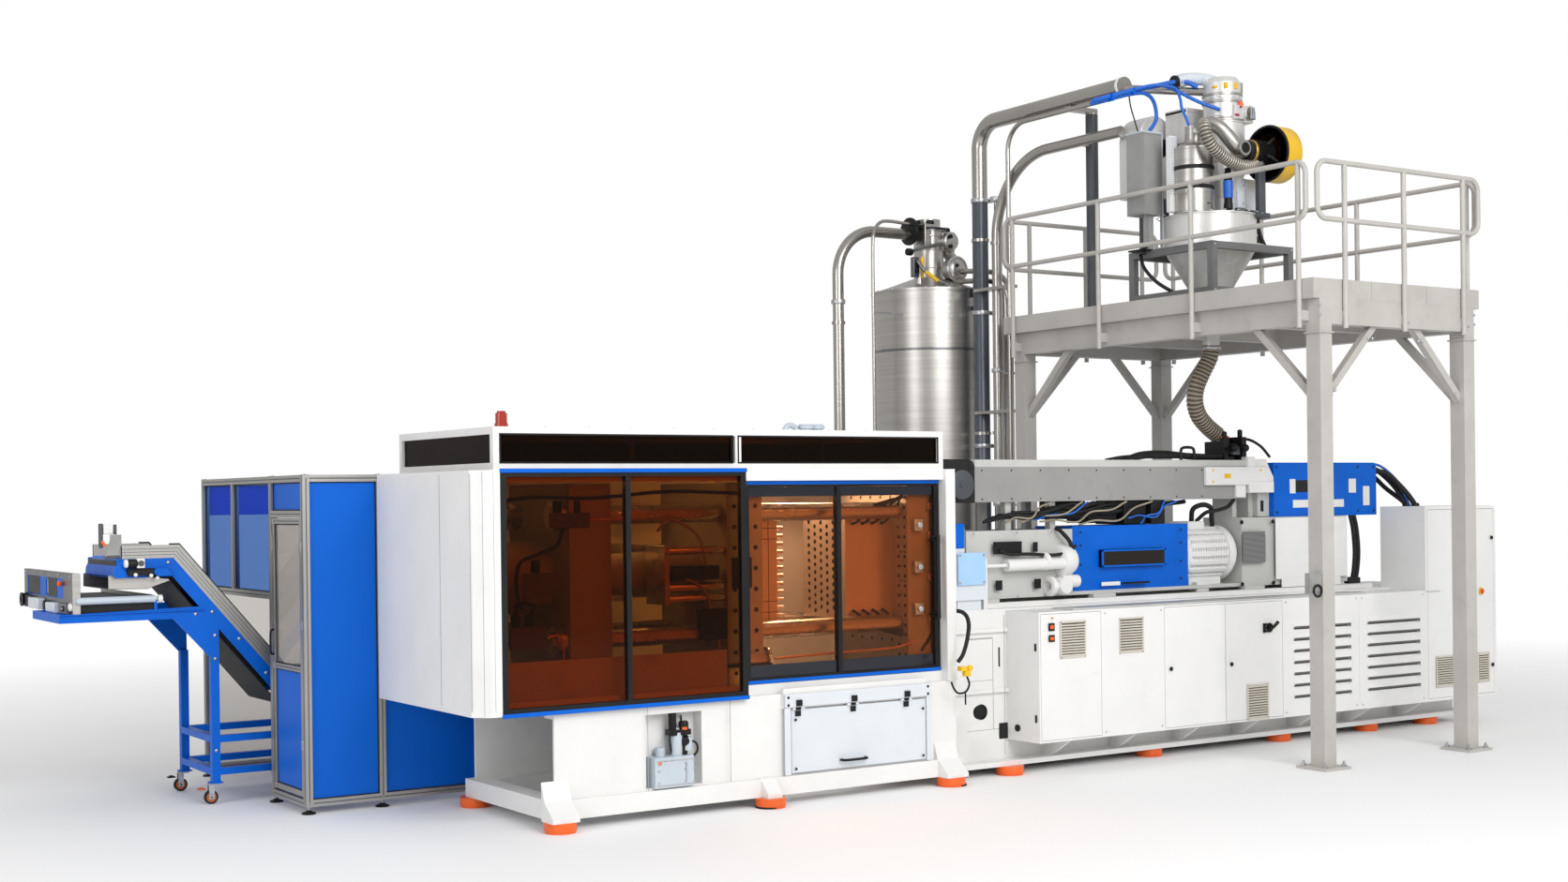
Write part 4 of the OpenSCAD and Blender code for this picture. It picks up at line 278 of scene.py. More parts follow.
def finish(name, colour, rough=0.4, metal=0.0, shift=0.05, size=3.0, peel=0.15, grain=(1, 1, 1), peel_size=160.0,
        soil=0.0, coat=0.0, gloss=0.5):
    """A broad noise blends the colour with a darker one; a fine noise lifts the surface; soil darkens patches."""
    material = bpy.data.materials.new(name)
    material.use_nodes = True
    tree = material.node_tree
    place = grow(tree, "TexCoord").outputs["Object"]
    stretch = grow(tree, "Mapping", {"Vector": place, "Scale": grain}).outputs["Vector"]
    broad, fine, patches = (grow(tree, "TexNoise", {"Vector": stretch, "Scale": scale,
        "Detail": detail}).outputs["Fac"] for scale, detail in ((size, 5), (peel_size, 3), (size * 2.7, 6)))
    tone = grow(tree, "ValToRGB", {"Fac": broad})
    low, high = tone.color_ramp.elements
    low.position, high.position = 0.35, 0.65
    low.color = [c * (1 - shift) for c in colour] + [1]
    high.color = [min(1, c * (1 + shift)) for c in colour] + [1]
    paint = tone.outputs["Color"]
    if soil:
        amount = grow(tree, "MapRange", {"Value": patches, "From Min": 0.56, "From Max": 0.8, "To Max": soil})
        paint = grow(tree, "Mix", {"A": paint, "B": [c * 0.55 for c in colour] + [1],
            "Factor": amount.outputs["Result"]}, data_type="RGBA").outputs["Result"]
    satin = grow(tree, "MapRange", {"Value": patches, "To Min": rough * 0.8, "To Max": rough * 1.2})
    bump = grow(tree, "Bump", {"Height": fine, "Strength": peel, "Distance": 0.002})
    feed(tree, tree.nodes["Principled BSDF"], {"Base Color": paint, "Roughness": satin.outputs["Result"],
        "Normal": bump.outputs["Normal"], "Metallic": metal, "Coat Weight": coat, "Specular IOR Level": gloss})
    finishes[name] = material
    return material


def striped(name, direction, pitch, dark, share=0.5, depth=0.6):
    """A wave along one direction is cut into stripes that darken the colour and sink the surface."""
    tree = finishes[name].node_tree
    shader = tree.nodes["Principled BSDF"]
    place = grow(tree, "TexCoord").outputs["Object"]
    wave = grow(tree, "TexWave", {"Vector": place, "Scale": np.pi / 10 / pitch}, bands_direction=direction)
    step = grow(tree, "MapRange", {"Value": wave.outputs["Fac"], "From Min": share - 0.1,
        "From Max": share + 0.1}).outputs["Result"]
    blend = grow(tree, "Mix", {"A": shader.inputs["Base Color"].links[0].from_socket, "B": (*dark, 1),
        "Factor": step}, data_type="RGBA")
    feed(tree, shader, {"Base Color": blend.outputs["Result"]})
    bump = [node for node in tree.nodes if node.type == "BUMP"][0]
    bump.invert = True
    feed(tree, bump, {"Strength": depth, "Height": step})


def see_through(name, tint, haze=0.1, mirror=0.1, roof=None):
    """Tinted sheet: most light passes straight on and takes the tint; above 2.41 m the roof tint takes over."""
    tree = finish(name, [c * haze for c in tint], rough=0.05, shift=0.08, size=1.2, peel=0.02,
        peel_size=18).node_tree
    colour = (*tint, 1)
    if roof:
        split = grow(tree, "SeparateXYZ", {"Vector": grow(tree, "TexCoord").outputs["Object"]})
        high = grow(tree, "Math", {0: split.outputs["Z"], 1: 2.41}, operation="GREATER_THAN")
        colour = grow(tree, "Mix", {"A": colour, "B": (*roof, 1), "Factor": high.outputs["Value"]},
            data_type="RGBA").outputs["Result"]
    through = grow(tree, "BsdfTransparent", {"Color": colour})
    edge = grow(tree, "LayerWeight", {"Blend": 0.2})
    share = grow(tree, "MapRange", {"Value": edge.outputs["Facing"], "To Min": 1 - mirror,
        "To Max": 1 - 6 * mirror})
    blend = grow(tree, "MixShader", {"Fac": share.outputs["Result"],
        1: tree.nodes["Principled BSDF"].outputs["BSDF"], 2: through.outputs["BSDF"]})
    feed(tree, tree.nodes["Material Output"], {"Surface": blend.outputs["Shader"]})


# %% [markdown]
# Now the finishes of this machine. White powder coat covers most of it, vivid blue marks the
# covers and the conveyor, and the platform is a warm grey. Sheet stainless steel has its grain
# along the rolling direction, so its noise is stretched many times that way.

# %% Paints, metals, plastics
finish("white_coat", (0.77, 0.765, 0.75), rough=0.42, shift=0.02, peel=0.1, soil=0.1)
# The same white paint made darker for parts inside the guard: painted shade; its patches are dirt.
finish("white_inside", (0.55, 0.55, 0.54), rough=0.5, shift=0.05, soil=0.4)
finish("light_grey_coat", (0.5, 0.56, 0.62), rough=0.4, shift=0.03, soil=0.15)
finish("panel_grey", (0.66, 0.7, 0.74), rough=0.38, shift=0.02, soil=0.1)
finish("mid_grey_coat", (0.3, 0.3, 0.29), rough=0.45, shift=0.06, soil=0.4)
finish("beam_grey", (0.3, 0.295, 0.285), rough=0.42, shift=0.04, soil=0.25)
finish("band_grey", (0.52, 0.52, 0.5), rough=0.4, shift=0.03, soil=0.15)
finish("stand_grey", (0.16, 0.163, 0.162), rough=0.42, shift=0.1, soil=0.3)
finish("satin_steel", (0.72, 0.71, 0.69), rough=0.34, metal=0.45, shift=0.05, grain=(14, 14, 1), size=2, peel=0.08)
finish("dark_grey_coat", (0.06, 0.066, 0.075), rough=0.42, shift=0.12, soil=0.3)
finish("platform_grey", (0.47, 0.45, 0.42), rough=0.45, shift=0.05, soil=0.25)
finish("black_coat", (0.008, 0.008, 0.009), rough=0.38, shift=0.2, peel=0.1, gloss=0.25)
finish("blue_coat", (0.001, 0.115, 0.58), rough=0.38, shift=0.05, peel=0.12, soil=0.15, gloss=0.15)
finish("blue_sheet", (0.001, 0.115, 0.58), rough=0.42, shift=0.03, size=0.8, peel=0.03, peel_size=60, gloss=0.15)
finish("orange_coat", (0.8, 0.12, 0.012), rough=0.35, shift=0.08, peel=0.2, soil=0.5)
finish("yellow_coat", (0.8, 0.48, 0.006), rough=0.38, shift=0.08, peel=0.2, soil=0.35)
finish("red_lens", (0.38, 0.02, 0.008), rough=0.18, shift=0.1, peel=0.02, coat=0.5)
finish("red_plastic", (0.7, 0.05, 0.01), rough=0.35, shift=0.06)
finish("anodised", (0.4, 0.39, 0.37), rough=0.38, metal=0.75, shift=0.05, grain=(40, 40, 1), size=2, peel=0.08)
finish("ground_steel", (0.55, 0.54, 0.53), rough=0.28, metal=0.95, shift=0.03, size=3, peel=0.02)
finish("zinc", (0.5, 0.5, 0.52), rough=0.35, metal=0.9, shift=0.15, size=30, peel=0.1)
finish("stainless", (0.46, 0.44, 0.415), rough=0.34, metal=0.95, shift=0.07, grain=(0.8, 0.8, 24), size=1.6,
    peel=0.05, peel_size=12)
finish("pipe_steel", (0.42, 0.4, 0.37), rough=0.24, metal=0.95, shift=0.06, size=1.5, peel=0.01, peel_size=20)
finish("riser_grey", (0.085, 0.095, 0.115), rough=0.33, metal=0.35, shift=0.1, size=2, soil=0.2)
finish("stainless_dark", (0.2, 0.2, 0.21), rough=0.3, metal=0.9, shift=0.15, grain=(8, 8, 0.6), size=2, peel=0.1)
finish("rubber_black", (0.012, 0.012, 0.012), rough=0.6, shift=0.3, size=20, peel=0.3, peel_size=220, gloss=0.3)
finish("hose_beige", (0.3, 0.255, 0.195), rough=0.5, shift=0.1, size=8, peel=0.2)
# Dark brown for the tube inside ribbed hoses, which shows in the grooves: painted shade in the grooves.
finish("hose_dark", (0.075, 0.062, 0.045), rough=0.6, shift=0.1, size=8)
finish("hose_silver", (0.42, 0.39, 0.35), rough=0.4, metal=0.55, shift=0.15, size=12, peel=0.2)
finish("cable_blue", (0.01, 0.12, 0.55), rough=0.45, shift=0.1, size=20, peel=0.1)
finish("copper_pipe", (0.75, 0.42, 0.22), rough=0.3, metal=0.9, shift=0.15, size=12)
finish("mould_steel", (0.66, 0.58, 0.5), rough=0.3, metal=0.85, shift=0.03, size=4, peel=0.02)
finish("navy_band", (0.006, 0.007, 0.014), rough=0.2, shift=0.1)
finish("pale_blue", (0.36, 0.58, 0.84), rough=0.4, shift=0.03)
finish("grille", (0.3, 0.3, 0.3), rough=0.5, shift=0.05)
# The grille's dark stripes paint the shade in the gaps between its bars.
striped("grille", "Z", 0.01, (0.05, 0.05, 0.05))
finish("brass_band", (0.65, 0.4, 0.08), rough=0.3, metal=0.8, shift=0.1)
see_through("amber_sheet", (0.72, 0.42, 0.17), haze=0.03, roof=(0.2, 0.085, 0.03))
# Both ambers are one glazing; the door's far lighter tint paints the light of the lit mould area behind it.
see_through("amber_door_sheet", (1.0, 0.7, 0.48), haze=0.06)
see_through("amber_dark", (0.45, 0.36, 0.28), mirror=0.25)
see_through("clear_dark", (0.3, 0.3, 0.3), mirror=0.3)
finish("orange_hub", (0.45, 0.1, 0.02), rough=0.4, shift=0.15)
see_through("blue_window", (0.42, 0.62, 1.0), haze=0.1, mirror=0.04)
# Dark grey for slots, grooves, holes and louvre shadows: painted shade in recesses.
finish("slot_grey", (0.1, 0.1, 0.1), rough=0.5, shift=0.1)
see_through("clear_sheet", (0.82, 0.8, 0.78), haze=0.45)
print(len(finishes), "finishes made")

# %% [markdown]
# The CAD solids that already have the right shape only need their finish. Each slot of its
# mesh takes the finish, or one slot is added. The panels of the take-out cell hold solid blue
# sheets and clear windows in one solid, so further down that solid is hidden and made anew as sheets.

# %% Finishes on the solids
dress = {
    "white_coat": "clamp_bed guard_shell drop_tray injection_bed cabinet_shell tall_cabinet cabinet_door_1 "
                  "cabinet_door_2 cabinet_door_3 tall_cabinet_door shot_unit drive_motor roof_frame",
    "panel_grey": "chute_flap terminal_box",
    "light_grey_coat": "lube_unit",
    "satin_steel": "vacuum_receiver hopper",
    "mid_grey_coat": "fixed_platen rear_platen moving_platen filter_control_box",
    "beam_grey": "barrel_guard",
    "band_grey": "injection_carriage",
    "stand_grey": "hopper_stand",
    "dark_grey_coat": "throat_valve",
    "platform_grey": "platform_frame handrails",
    "black_coat": "front_window_frame mould_door main_switch",
    "blue_coat": "drive_cover upper_cover conveyor_frame",
    "blue_sheet": "cell_panels",
    "amber_sheet": "amber_glazing",
    "amber_door_sheet": "mould_door_glass",
    "orange_coat": "leveling_feet",
    "red_lens": "beacon",
    "red_plastic": "estop_button",
    "anodised": "cell_frame cell_door",
    "ground_steel": "tie_bars barrel screw",
    "mould_steel": "mould_fixed_half mould_moving_half",
    "stainless": "dust_filter drying_tower",
    "pipe_steel": "conveying_pipes",
    "yellow_coat": "suction_blower tower_valve_lever",
    "hose_beige": "throat_hose",
    "rubber_black": "conveyor_belt castor_wheel_1 castor_wheel_2 castor_wheel_3 castor_wheel_4",
    "zinc": "castor_fork_1 castor_fork_2",
}
for finish_name, names in dress.items():
    for name in names.split():
        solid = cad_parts[name]
        for material_slot in solid.material_slots or []:
            material_slot.material = finishes[finish_name]
        if not solid.material_slots:
            solid.data.materials.append(finishes[finish_name])
print(sum(len(n.split()) for n in dress.values()), "solids dressed")

# %% [markdown]
# The floor and the light are plain, so the machine is what one sees. The floor looks white to
# the camera and to mirrors and glass, but is a pale grey for real light, which keeps a soft
# shadow. One large lamp stands for the hall windows on the operator side, a weaker one fills
# the clamp end, and the sky gives an even base.

# %% Floor and light
floor_mesh = bpy.data.meshes.new("floor")
floor_mesh.from_pydata([(-60, -60, -0.001), (70, -60, -0.001), (70, 70, -0.001), (-60, 70, -0.001)], [],
    [(0, 1, 2, 3)])
floor = bpy.data.objects.new("floor", floor_mesh)
scene.collection.objects.link(floor)
pale = bpy.data.materials.new("pale_floor")
pale.use_nodes = True
tree = pale.node_tree
paint = feed(tree, tree.nodes["Principled BSDF"], {"Base Color": (0.9, 0.9, 0.9, 1), "Roughness": 0.7})
white = grow(tree, "Emission", {"Strength": 1.0})
reach = grow(tree, "VectorMath", {0: grow(tree, "TexCoord").outputs["Object"], 1: (3.5, 1.0, 0)},
    operation="DISTANCE")
spread = grow(tree, "MapRange", {"Value": reach.outputs["Value"], "From Min": 6.0, "From Max": 16.0})
far = grow(tree, "Math", {0: spread.outputs["Result"], 1: grow(tree, "LightPath").outputs["Is Camera Ray"]},
    operation="MULTIPLY")
mask = grow(tree, "MixShader", {"Fac": far.outputs["Value"], 1: paint.outputs["BSDF"],
    2: white.outputs["Emission"]})
feed(tree, tree.nodes["Material Output"], {"Surface": mask.outputs["Shader"]})
floor_mesh.materials.append(pale)
sky = bpy.data.worlds.new("sky")
sky.use_nodes = True
tree = sky.node_tree
ray = grow(tree, "LightPath").outputs
either = grow(tree, "Math", {0: ray["Is Camera Ray"], 1: ray["Is Transmission Ray"]}, operation="MAXIMUM")
direct = grow(tree, "MapRange", {"Value": either.outputs["Value"], "To Min": 0.62, "To Max": 1.0})
feed(tree, tree.nodes["Background"], {"Strength": direct.outputs["Result"], "Color": (1, 1, 1, 1)})
scene.world = sky


def lamp(name, place, aim, size, power):
    """A square lamp at a place, turned so that it looks at its aim."""
    light = bpy.data.lights.new(name, "AREA")
    light.size, light.energy = size, power
    holder = bpy.data.objects.new(name, light)
    back = np.array(place, float) - aim
    back /= np.linalg.norm(back)
    side = np.cross([0, 0, 1], back)
    side /= np.linalg.norm(side)
    matrix = np.eye(4)
    matrix[:3, 0], matrix[:3, 1], matrix[:3, 2], matrix[:3, 3] = side, np.cross(back, side), back, place
    holder.matrix_world = Matrix(matrix.tolist())
    scene.collection.objects.link(holder)


lamp("window_wall", (2.0, -13.0, 9.0), (3.5, 0.5, 1.5), 9.0, 1500)
lamp("clamp_end", (-12.0, -3.0, 6.0), (1.0, 1.0, 1.5), 6.0, 450)
lamp("mould_lamp", (2.5, 0.9, 2.3), (2.5, 0.55, 1.3), 0.5, 34)
lamp("clamp_lamp", (0.5, 0.9, 2.36), (0.5, 0.5, 1.3), 0.5, 14)
print("lamps set")

# %% [markdown]
# The clamp unit stands on orange wedge pads. Each pad has a rubber sole, a threaded stud and
# a pair of nuts that level the bed. They are turned shapes: a profile spun about an upright axis.

# %% Levelling studs
pads = [(x, y, 0) for x in (0.0, 1.66, 3.33) for y in (0.0, 1.355)]
pads += [(x, y, 0) for x, front in ((4.04, 0.17), (5.65, 0.27), (7.23, 0.27), (8.4, 0.27), (9.25, 0.27))
    for y in (front, 1.19)]
piece("pad_soles", turned([(0, 0), (0.1, 0), (0.104, 0.004), (0.104, 0.012), (0, 0.012)], pads), "rubber_black",
    slot="orange_pad")
corner = [(x, y, 0) for x, y, z in pads[:6]]
piece("pad_studs", [turned([(0, 0.06), (0.016, 0.06), (0.016, 0.128), (0.012, 0.132), (0, 0.132)], corner,
    sides=16), turned([(0, 0.082), (0.03, 0.082), (0.03, 0.104), (0.026, 0.107), (0, 0.107)], corner, sides=6)],
    "zinc")

# %% [markdown]
# The big window of a clamp guard is amber sheet in a black painted rim, closed by thin blue
# strips above and below. The strips stand a few millimetres proud of the rim. The right pair
# of panes is the sliding door, so its strips ride on the door.

# %% Window strips
piece("window_strips", boxes((-0.392, 0.03, 2.392, 1.524, 0.041, 2.42),
    (-0.392, 0.03, 0.778, 1.524, 0.041, 0.806)), "blue_coat", bevel=0.002)
piece("door_strips", boxes((1.562, 0.133, 2.302, 3.328, 0.1405, 2.328),
    (1.562, 0.133, 0.867, 3.328, 0.1405, 0.893)), "blue_coat", body="mould_door", bevel=0.002)
piece("pane_gaskets", boxes(*[(a - 0.006, 0.1385, z - 0.006, b + 0.006, 0.1425, z + 0.006)
    for a, b in ((-0.34, 1.47), (1.52, 3.33)) for z in (2.46, 2.65)],
    *[(a - 0.006, 0.1385, 2.46, a + 0.006, 0.1425, 2.65) for a in (-0.34, 1.47, 1.52, 3.33)]), "black_coat")
piece("roof_screws", head(0.008, 0.002, 0.005, 0.004, [(x, y, 2.7) for x in np.linspace(-0.33, 3.33, 12)
    for y in (0.165, 1.715)], sides=10), "zinc")
piece("roof_vents", [turned([(0, 2.7), (0.05, 2.7), (0.05, 2.74), (0.065, 2.745), (0.065, 2.765), (0.05, 2.78),
    (0, 2.782)], [(2.66, 0.95, 0), (2.76, 0.95, 0)], sides=20), pipe([(2.57, 0.95, 2.72), (2.55, 0.95, 2.76),
    (2.49, 0.95, 2.765), (2.45, 0.95, 2.715)], 0.022)], "light_grey_coat")

# %% [markdown]
# A guard of this size is folded from several sheets. What one sees of that is thin dark joints
# where sheets meet and rows of small screws. We lay shallow dark lines along the joints.

# %% Sheet joints of guard and bed
joint_lines = [[(-0.5675, 0.62, 0.83), (-0.5655, 0.625, 2.39)], [(-0.5675, 0.13, 0.83), (-0.5655, 0.134, 2.39)],
    [(-0.52, 0.0395, 0.8), (-0.516, 0.0405, 2.4)]]
joint_lines += [[(-0.44, 0.0395, 0.83), (-0.437, 0.0405, 2.4)], [(0.693, 0.0385, 0.205), (0.697, 0.0405, 0.79)],
    [(1.36, 0.0385, 0.205), (1.364, 0.0405, 0.79)]]
piece("sheet_joints", boxes(*joint_lines), "mid_grey_coat")

# %% [markdown]
# The product flap at the foot of the bed hangs on three black hinges under a fixed strip. Each
# hinge is a turned knuckle with two leaves: the upper leaf stays on the bed and the lower one
# swings with the flap, so they are two pieces on two bodies.

# %% Flap hinges, screws and handle
hinge_x = [1.94, 2.43, 2.92]
piece("hinge_top_leaves", boxes(*[(x - 0.024, 0.012, 0.7, x + 0.024, 0.028, 0.745) for x in hinge_x]),
    "black_coat", bevel=0.003)
piece("hinge_low_leaves", [boxes(*[(x - 0.024, 0.0345, 0.625, x + 0.024, 0.0405, 0.666) for x in hinge_x]),
    turned([(0, -0.024), (0.01, -0.024), (0.01, 0.024), (0, 0.024)], [(x, 0.041, 0.68) for x in hinge_x], axis="x",
    sides=16)], "black_coat", body="chute_flap", bevel=0.002)
piece("flap_strip", [boxes((1.822, 0.028, 0.693, 3.15, 0.041, 0.788)),
    boxes((1.822, 0.034, 0.205, 1.874, 0.041, 0.69), (3.112, 0.034, 0.205, 3.15, 0.041, 0.69))], "panel_grey",
    bevel=0.002)
piece("flap_screws", head(0.01, -0.003, 0.006, -0.006, [(x, 0.04, z) for x in (1.92, 3.08) for z in (0.245, 0.6)],
    axis="y", sides=14), "black_coat", body="chute_flap")
piece("strip_screws", head(0.01, -0.003, 0.006, -0.006, [(x, 0.028, z) for x in (1.85, 3.12)
    for z in (0.71, 0.765)], axis="y", sides=14), "black_coat")
grip = curve_through([(2.315, 0.04, 0.278), (2.318, 0.012, 0.278), (2.345, -0.006, 0.278), (2.425, -0.01, 0.278),
    (2.505, -0.006, 0.278), (2.532, 0.012, 0.278), (2.535, 0.04, 0.278)])
piece("flap_grip", tube(grip, 0.01, sides=14), "black_coat", body="chute_flap")

# %% [markdown]
# The lubrication set in the recess of the bed is a grey steel box with a small motor pump on
# top. The pump is three turned parts, and its hoses are tubes carried along smooth curves.

# %% Lubrication pump
pump = [turned([(0, 0.62), (0.034, 0.62), (0.036, 0.63), (0.036, 0.7), (0.03, 0.715), (0, 0.715)],
    [(1.02, 0.11, -0.06)], sides=24), turned([(0, 0), (0.042, 0), (0.045, 0.005), (0.045, 0.055), (0.04, 0.065),
    (0, 0.065)], [(0.985, 0.115, 0.515)], axis="x", sides=24), head(0.028, 0.12, 0.02, 0.13, [(0.93, 0.11, 0.6)],
    sides=20), boxes((0.9, 0.07, 0.56, 1.06, 0.16, 0.6), (1.0, 0.09, 0.4, 1.04, 0.13, 0.6))]
piece("pump_motor", pump, "black_coat", bevel=0.003)
piece("pump_cap", [disc(0.02, 0.018, [(1.0, 0.062, 0.6)], axis="z", sides=16, top=0.02),
    boxes((0.775, 0.036, 0.372, 0.8, 0.041, 0.392))], "orange_coat", bevel=0.001)
piece("pump_hoses", [pipe([(1.05, 0.1, 0.52), (1.1, 0.08, 0.5), (1.115, 0.08, 0.45), (1.09, 0.09, 0.41),
    (1.04, 0.1, 0.405)], 0.008), pipe([(0.94, 0.1, 0.62), (0.9, 0.09, 0.58), (0.905, 0.1, 0.5),
    (0.93, 0.11, 0.41)], 0.007), pipe([(1.0, 0.11, 0.66), (1.02, 0.14, 0.69), (1.05, 0.19, 0.66),
    (1.07, 0.199, 0.6)], 0.006)], "rubber_black")
piece("lube_box_fittings", [boxes((0.76, 0.0375, 0.222, 1.075, 0.041, 0.23),
    (0.76, 0.0375, 0.392, 1.075, 0.041, 0.4)), boxes((0.995, 0.034, 0.25, 1.003, 0.041, 0.38)),
    disc(0.008, -0.004, [(x, 0.04, z) for x in (0.78, 0.99, 1.06) for z in (0.245, 0.33, 0.375)], axis="y",
    sides=12, top=-0.006)], "zinc")

# %% [markdown]
# Behind the amber panes one sees the clamp at work: polished bars, the hub of the clamp
# cylinder, valve blocks, looping hoses and the drilled face of the platen. These pieces do not
# need to work, but they must sit where the real ones sit and stay clear of what moves.

# %% Inside the guard, fixed parts
piece("cylinder_flange", turned([(0, -0.34), (0.1, -0.34), (0.21, -0.325), (0.225, -0.31), (0.225, -0.2),
    (0.21, -0.18), (0, -0.18)], [(0.0, 0.68, 1.67)], axis="x", sides=40), "mid_grey_coat")
piece("valve_blocks", boxes((-0.25, 0.195, 1.2, 0.02, 0.215, 1.36), (0.05, 0.195, 2.02, 0.35, 0.215, 2.12),
    (-0.15, 0.195, 1.55, 0.1, 0.215, 1.72)), "dark_grey_coat", bevel=0.004)
piece("bed_apron", boxes((-0.33, 0.1955, 0.845, 1.44, 0.2035, 1.115), (-0.33, 0.1945, 1.1, 1.44, 0.2035, 1.125)),
    "white_inside")
piece("valve_coils", turned([(0, 0), (0.028, 0), (0.032, 0.006), (0.032, 0.075), (0.026, 0.085), (0, 0.088)],
    [(x, 0.229, z) for x, z in ((-0.2, 1.36), (-0.1, 1.36), (0.12, 2.12), (0.26, 2.12), (-0.05, 1.72))], sides=20),
    "black_coat")
piece("pump_drum", [turned([(0, 0), (0.06, 0), (0.072, 0.01), (0.072, 0.17), (0.06, 0.19), (0, 0.19)],
    [(1.6, 0.245, 1.04)], axis="x", sides=28), disc(0.085, 0.02, [(1.79, 0.245, 1.04)], axis="x", sides=28)],
    "ground_steel")
piece("tray_lip", boxes((1.459, 0.196, 0.974, 3.06, 0.206, 0.99), (1.459, 0.2015, 0.86, 3.06, 0.2035, 0.872)),
    "white_inside")
# Dark discs stand for the drilled holes in the platen: painted shade inside them.
holes = [(3.0785, y, z) for y in (0.245, 0.325) for z in np.arange(0.92, 2.28, 0.075)]
holes += [(3.0785, y, z) for y in (0.42, 0.55, 0.68, 0.81, 0.94) for z in (1.1, 1.2, 2.12, 2.2)]
piece("platen_holes", disc(0.013, 0.002, holes, axis="x", sides=14), "black_coat")
piece("clamp_brackets", [boxes(*[(3.12, 0.165, z, 3.2, 0.209, z + 0.09) for z in (1.3, 1.62, 1.94)],
    *[(3.26, 0.175, z, 3.38, 0.209, z + 0.05) for z in (1.24, 1.56, 1.88, 2.1)]),
    disc(0.024, -0.022, [(3.16, 0.165, z + 0.045) for z in (1.3, 1.62, 1.94)], axis="y", sides=6)], "ground_steel",
    bevel=0.003)
hose_routes = [[(0.15, 0.19, 2.02), (0.1, 0.15, 1.9), (-0.05, 0.14, 1.84), (-0.18, 0.16, 1.78), (-0.2, 0.19, 1.6),
    (-0.16, 0.19, 1.48)], [(-0.25, 0.17, 1.26), (-0.32, 0.16, 1.2), (-0.3, 0.15, 1.05), (-0.12, 0.14, 0.96),
    (0.1, 0.15, 0.95), (0.2, 0.16, 0.96)], [(-0.2, 0.16, 1.44), (-0.19, 0.15, 1.52), (-0.08, 0.15, 1.5),
    (-0.1, 0.155, 1.44)], [(0.52, 0.16, 0.94), (0.62, 0.15, 0.93), (0.66, 0.15, 1.02), (0.72, 0.15, 1.07),
    (0.84, 0.16, 0.98), (0.86, 0.17, 0.86)], [(-0.33, 0.2, 2.2), (-0.05, 0.17, 2.23), (0.4, 0.16, 2.22),
    (1.0, 0.16, 2.26), (1.7, 0.17, 2.24), (2.4, 0.17, 2.27), (3.1, 0.18, 2.24)],
    [(3.3, 0.17, 2.2), (3.34, 0.16, 2.02), (3.32, 0.165, 1.8), (3.35, 0.17, 1.5), (3.33, 0.17, 1.2),
    (3.2, 0.18, 1.02)]]
piece("guard_hoses", [pipe([(x, max(y, 0.208), z) for x, y, z in route], 0.013, sides=10, count=48)
    for route in hose_routes], "rubber_black")
piece("oil_pipes", [pipe([(x, max(y, 0.2035) if x < 1.5 else y, z) for x, y, z in route], 0.009, sides=10)
    for route in ([(0.02, 0.17, 1.28), (0.1, 0.17, 1.29), (0.14, 0.18, 1.22), (0.14, 0.18, 1.06)],
    [(0.35, 0.16, 2.07), (0.6, 0.155, 2.08), (0.66, 0.155, 2.14), (0.66, 0.16, 2.3)],
    [(3.12, 0.18, 1.1), (2.9, 0.185, 1.06), (2.3, 0.185, 1.05), (1.84, 0.19, 1.04)])], "copper_pipe")

# %% [markdown]
# The ejector set sits between the rear platen and the moving platen and travels with the
# latter, so these pieces ride on the moving platen. Bars, a cross plate, a hub and cables.

# %% Ejector set on the moving platen
bars = [turned([(0, 0.98), (0.026, 0.98), (0.028, 0.985), (0.028, 1.458), (0, 1.458)], [(0, y, z)], axis="x",
    sides=20) for y in (0.26, 1.1) for z in (1.5, 1.58, 1.84)]
bars += [boxes((0.955, 0.23, 1.46, 0.995, 0.5, 1.88), (0.955, 0.86, 1.46, 0.995, 1.13, 1.88))]
piece("ejector_bars", bars, "ground_steel", body="moving_platen", bevel=0.003)
piece("ejector_drive", [turned([(0, 1.02), (0.048, 1.02), (0.055, 1.03), (0.055, 1.22), (0.045, 1.24), (0, 1.24)],
    [(0, 0.27, 1.68)], axis="x", sides=24), boxes((1.24, 0.215, 1.63, 1.4, 0.325, 1.73),
    (1.25, 0.22, 1.2, 1.457, 0.3, 1.42))], "black_coat", body="moving_platen", bevel=0.004)
piece("ejector_cables", [pipe(route, 0.01, sides=10, count=36) for route in ([(1.3, 0.24, 1.73),
    (1.24, 0.23, 1.92), (1.12, 0.228, 2.02), (0.99, 0.228, 2.06), (0.9, 0.235, 1.98)],
    [(1.33, 0.24, 1.42), (1.3, 0.228, 1.52), (1.22, 0.226, 1.6), (1.12, 0.23, 1.64)],
    [(1.4, 0.24, 1.2), (1.39, 0.23, 1.12), (1.32, 0.23, 1.06), (1.22, 0.235, 1.05)])], "hose_beige",
    body="moving_platen")
piece("platen_fittings", [disc(0.016, -0.008, [(x, 0.21, z) for x in (1.52, 1.7)
    for z in np.arange(0.95, 2.3, 0.15)], axis="y", sides=12, top=-0.01),
    boxes((1.5, 0.196, 1.56, 1.66, 0.2105, 1.78))], "black_coat", body="moving_platen")
mould_lines = [[(1.76, 0.3935, z), (2.009, 0.3955, z + 0.004)] for z in (1.36, 1.44, 1.9, 1.98)]
piece("mould_split_lines", boxes(*mould_lines, [(1.84, 0.3935, 1.28), (1.844, 0.3955, 2.06)],
    [(1.93, 0.3935, 1.28), (1.934, 0.3955, 2.06)]), "black_coat", body="moving_platen")
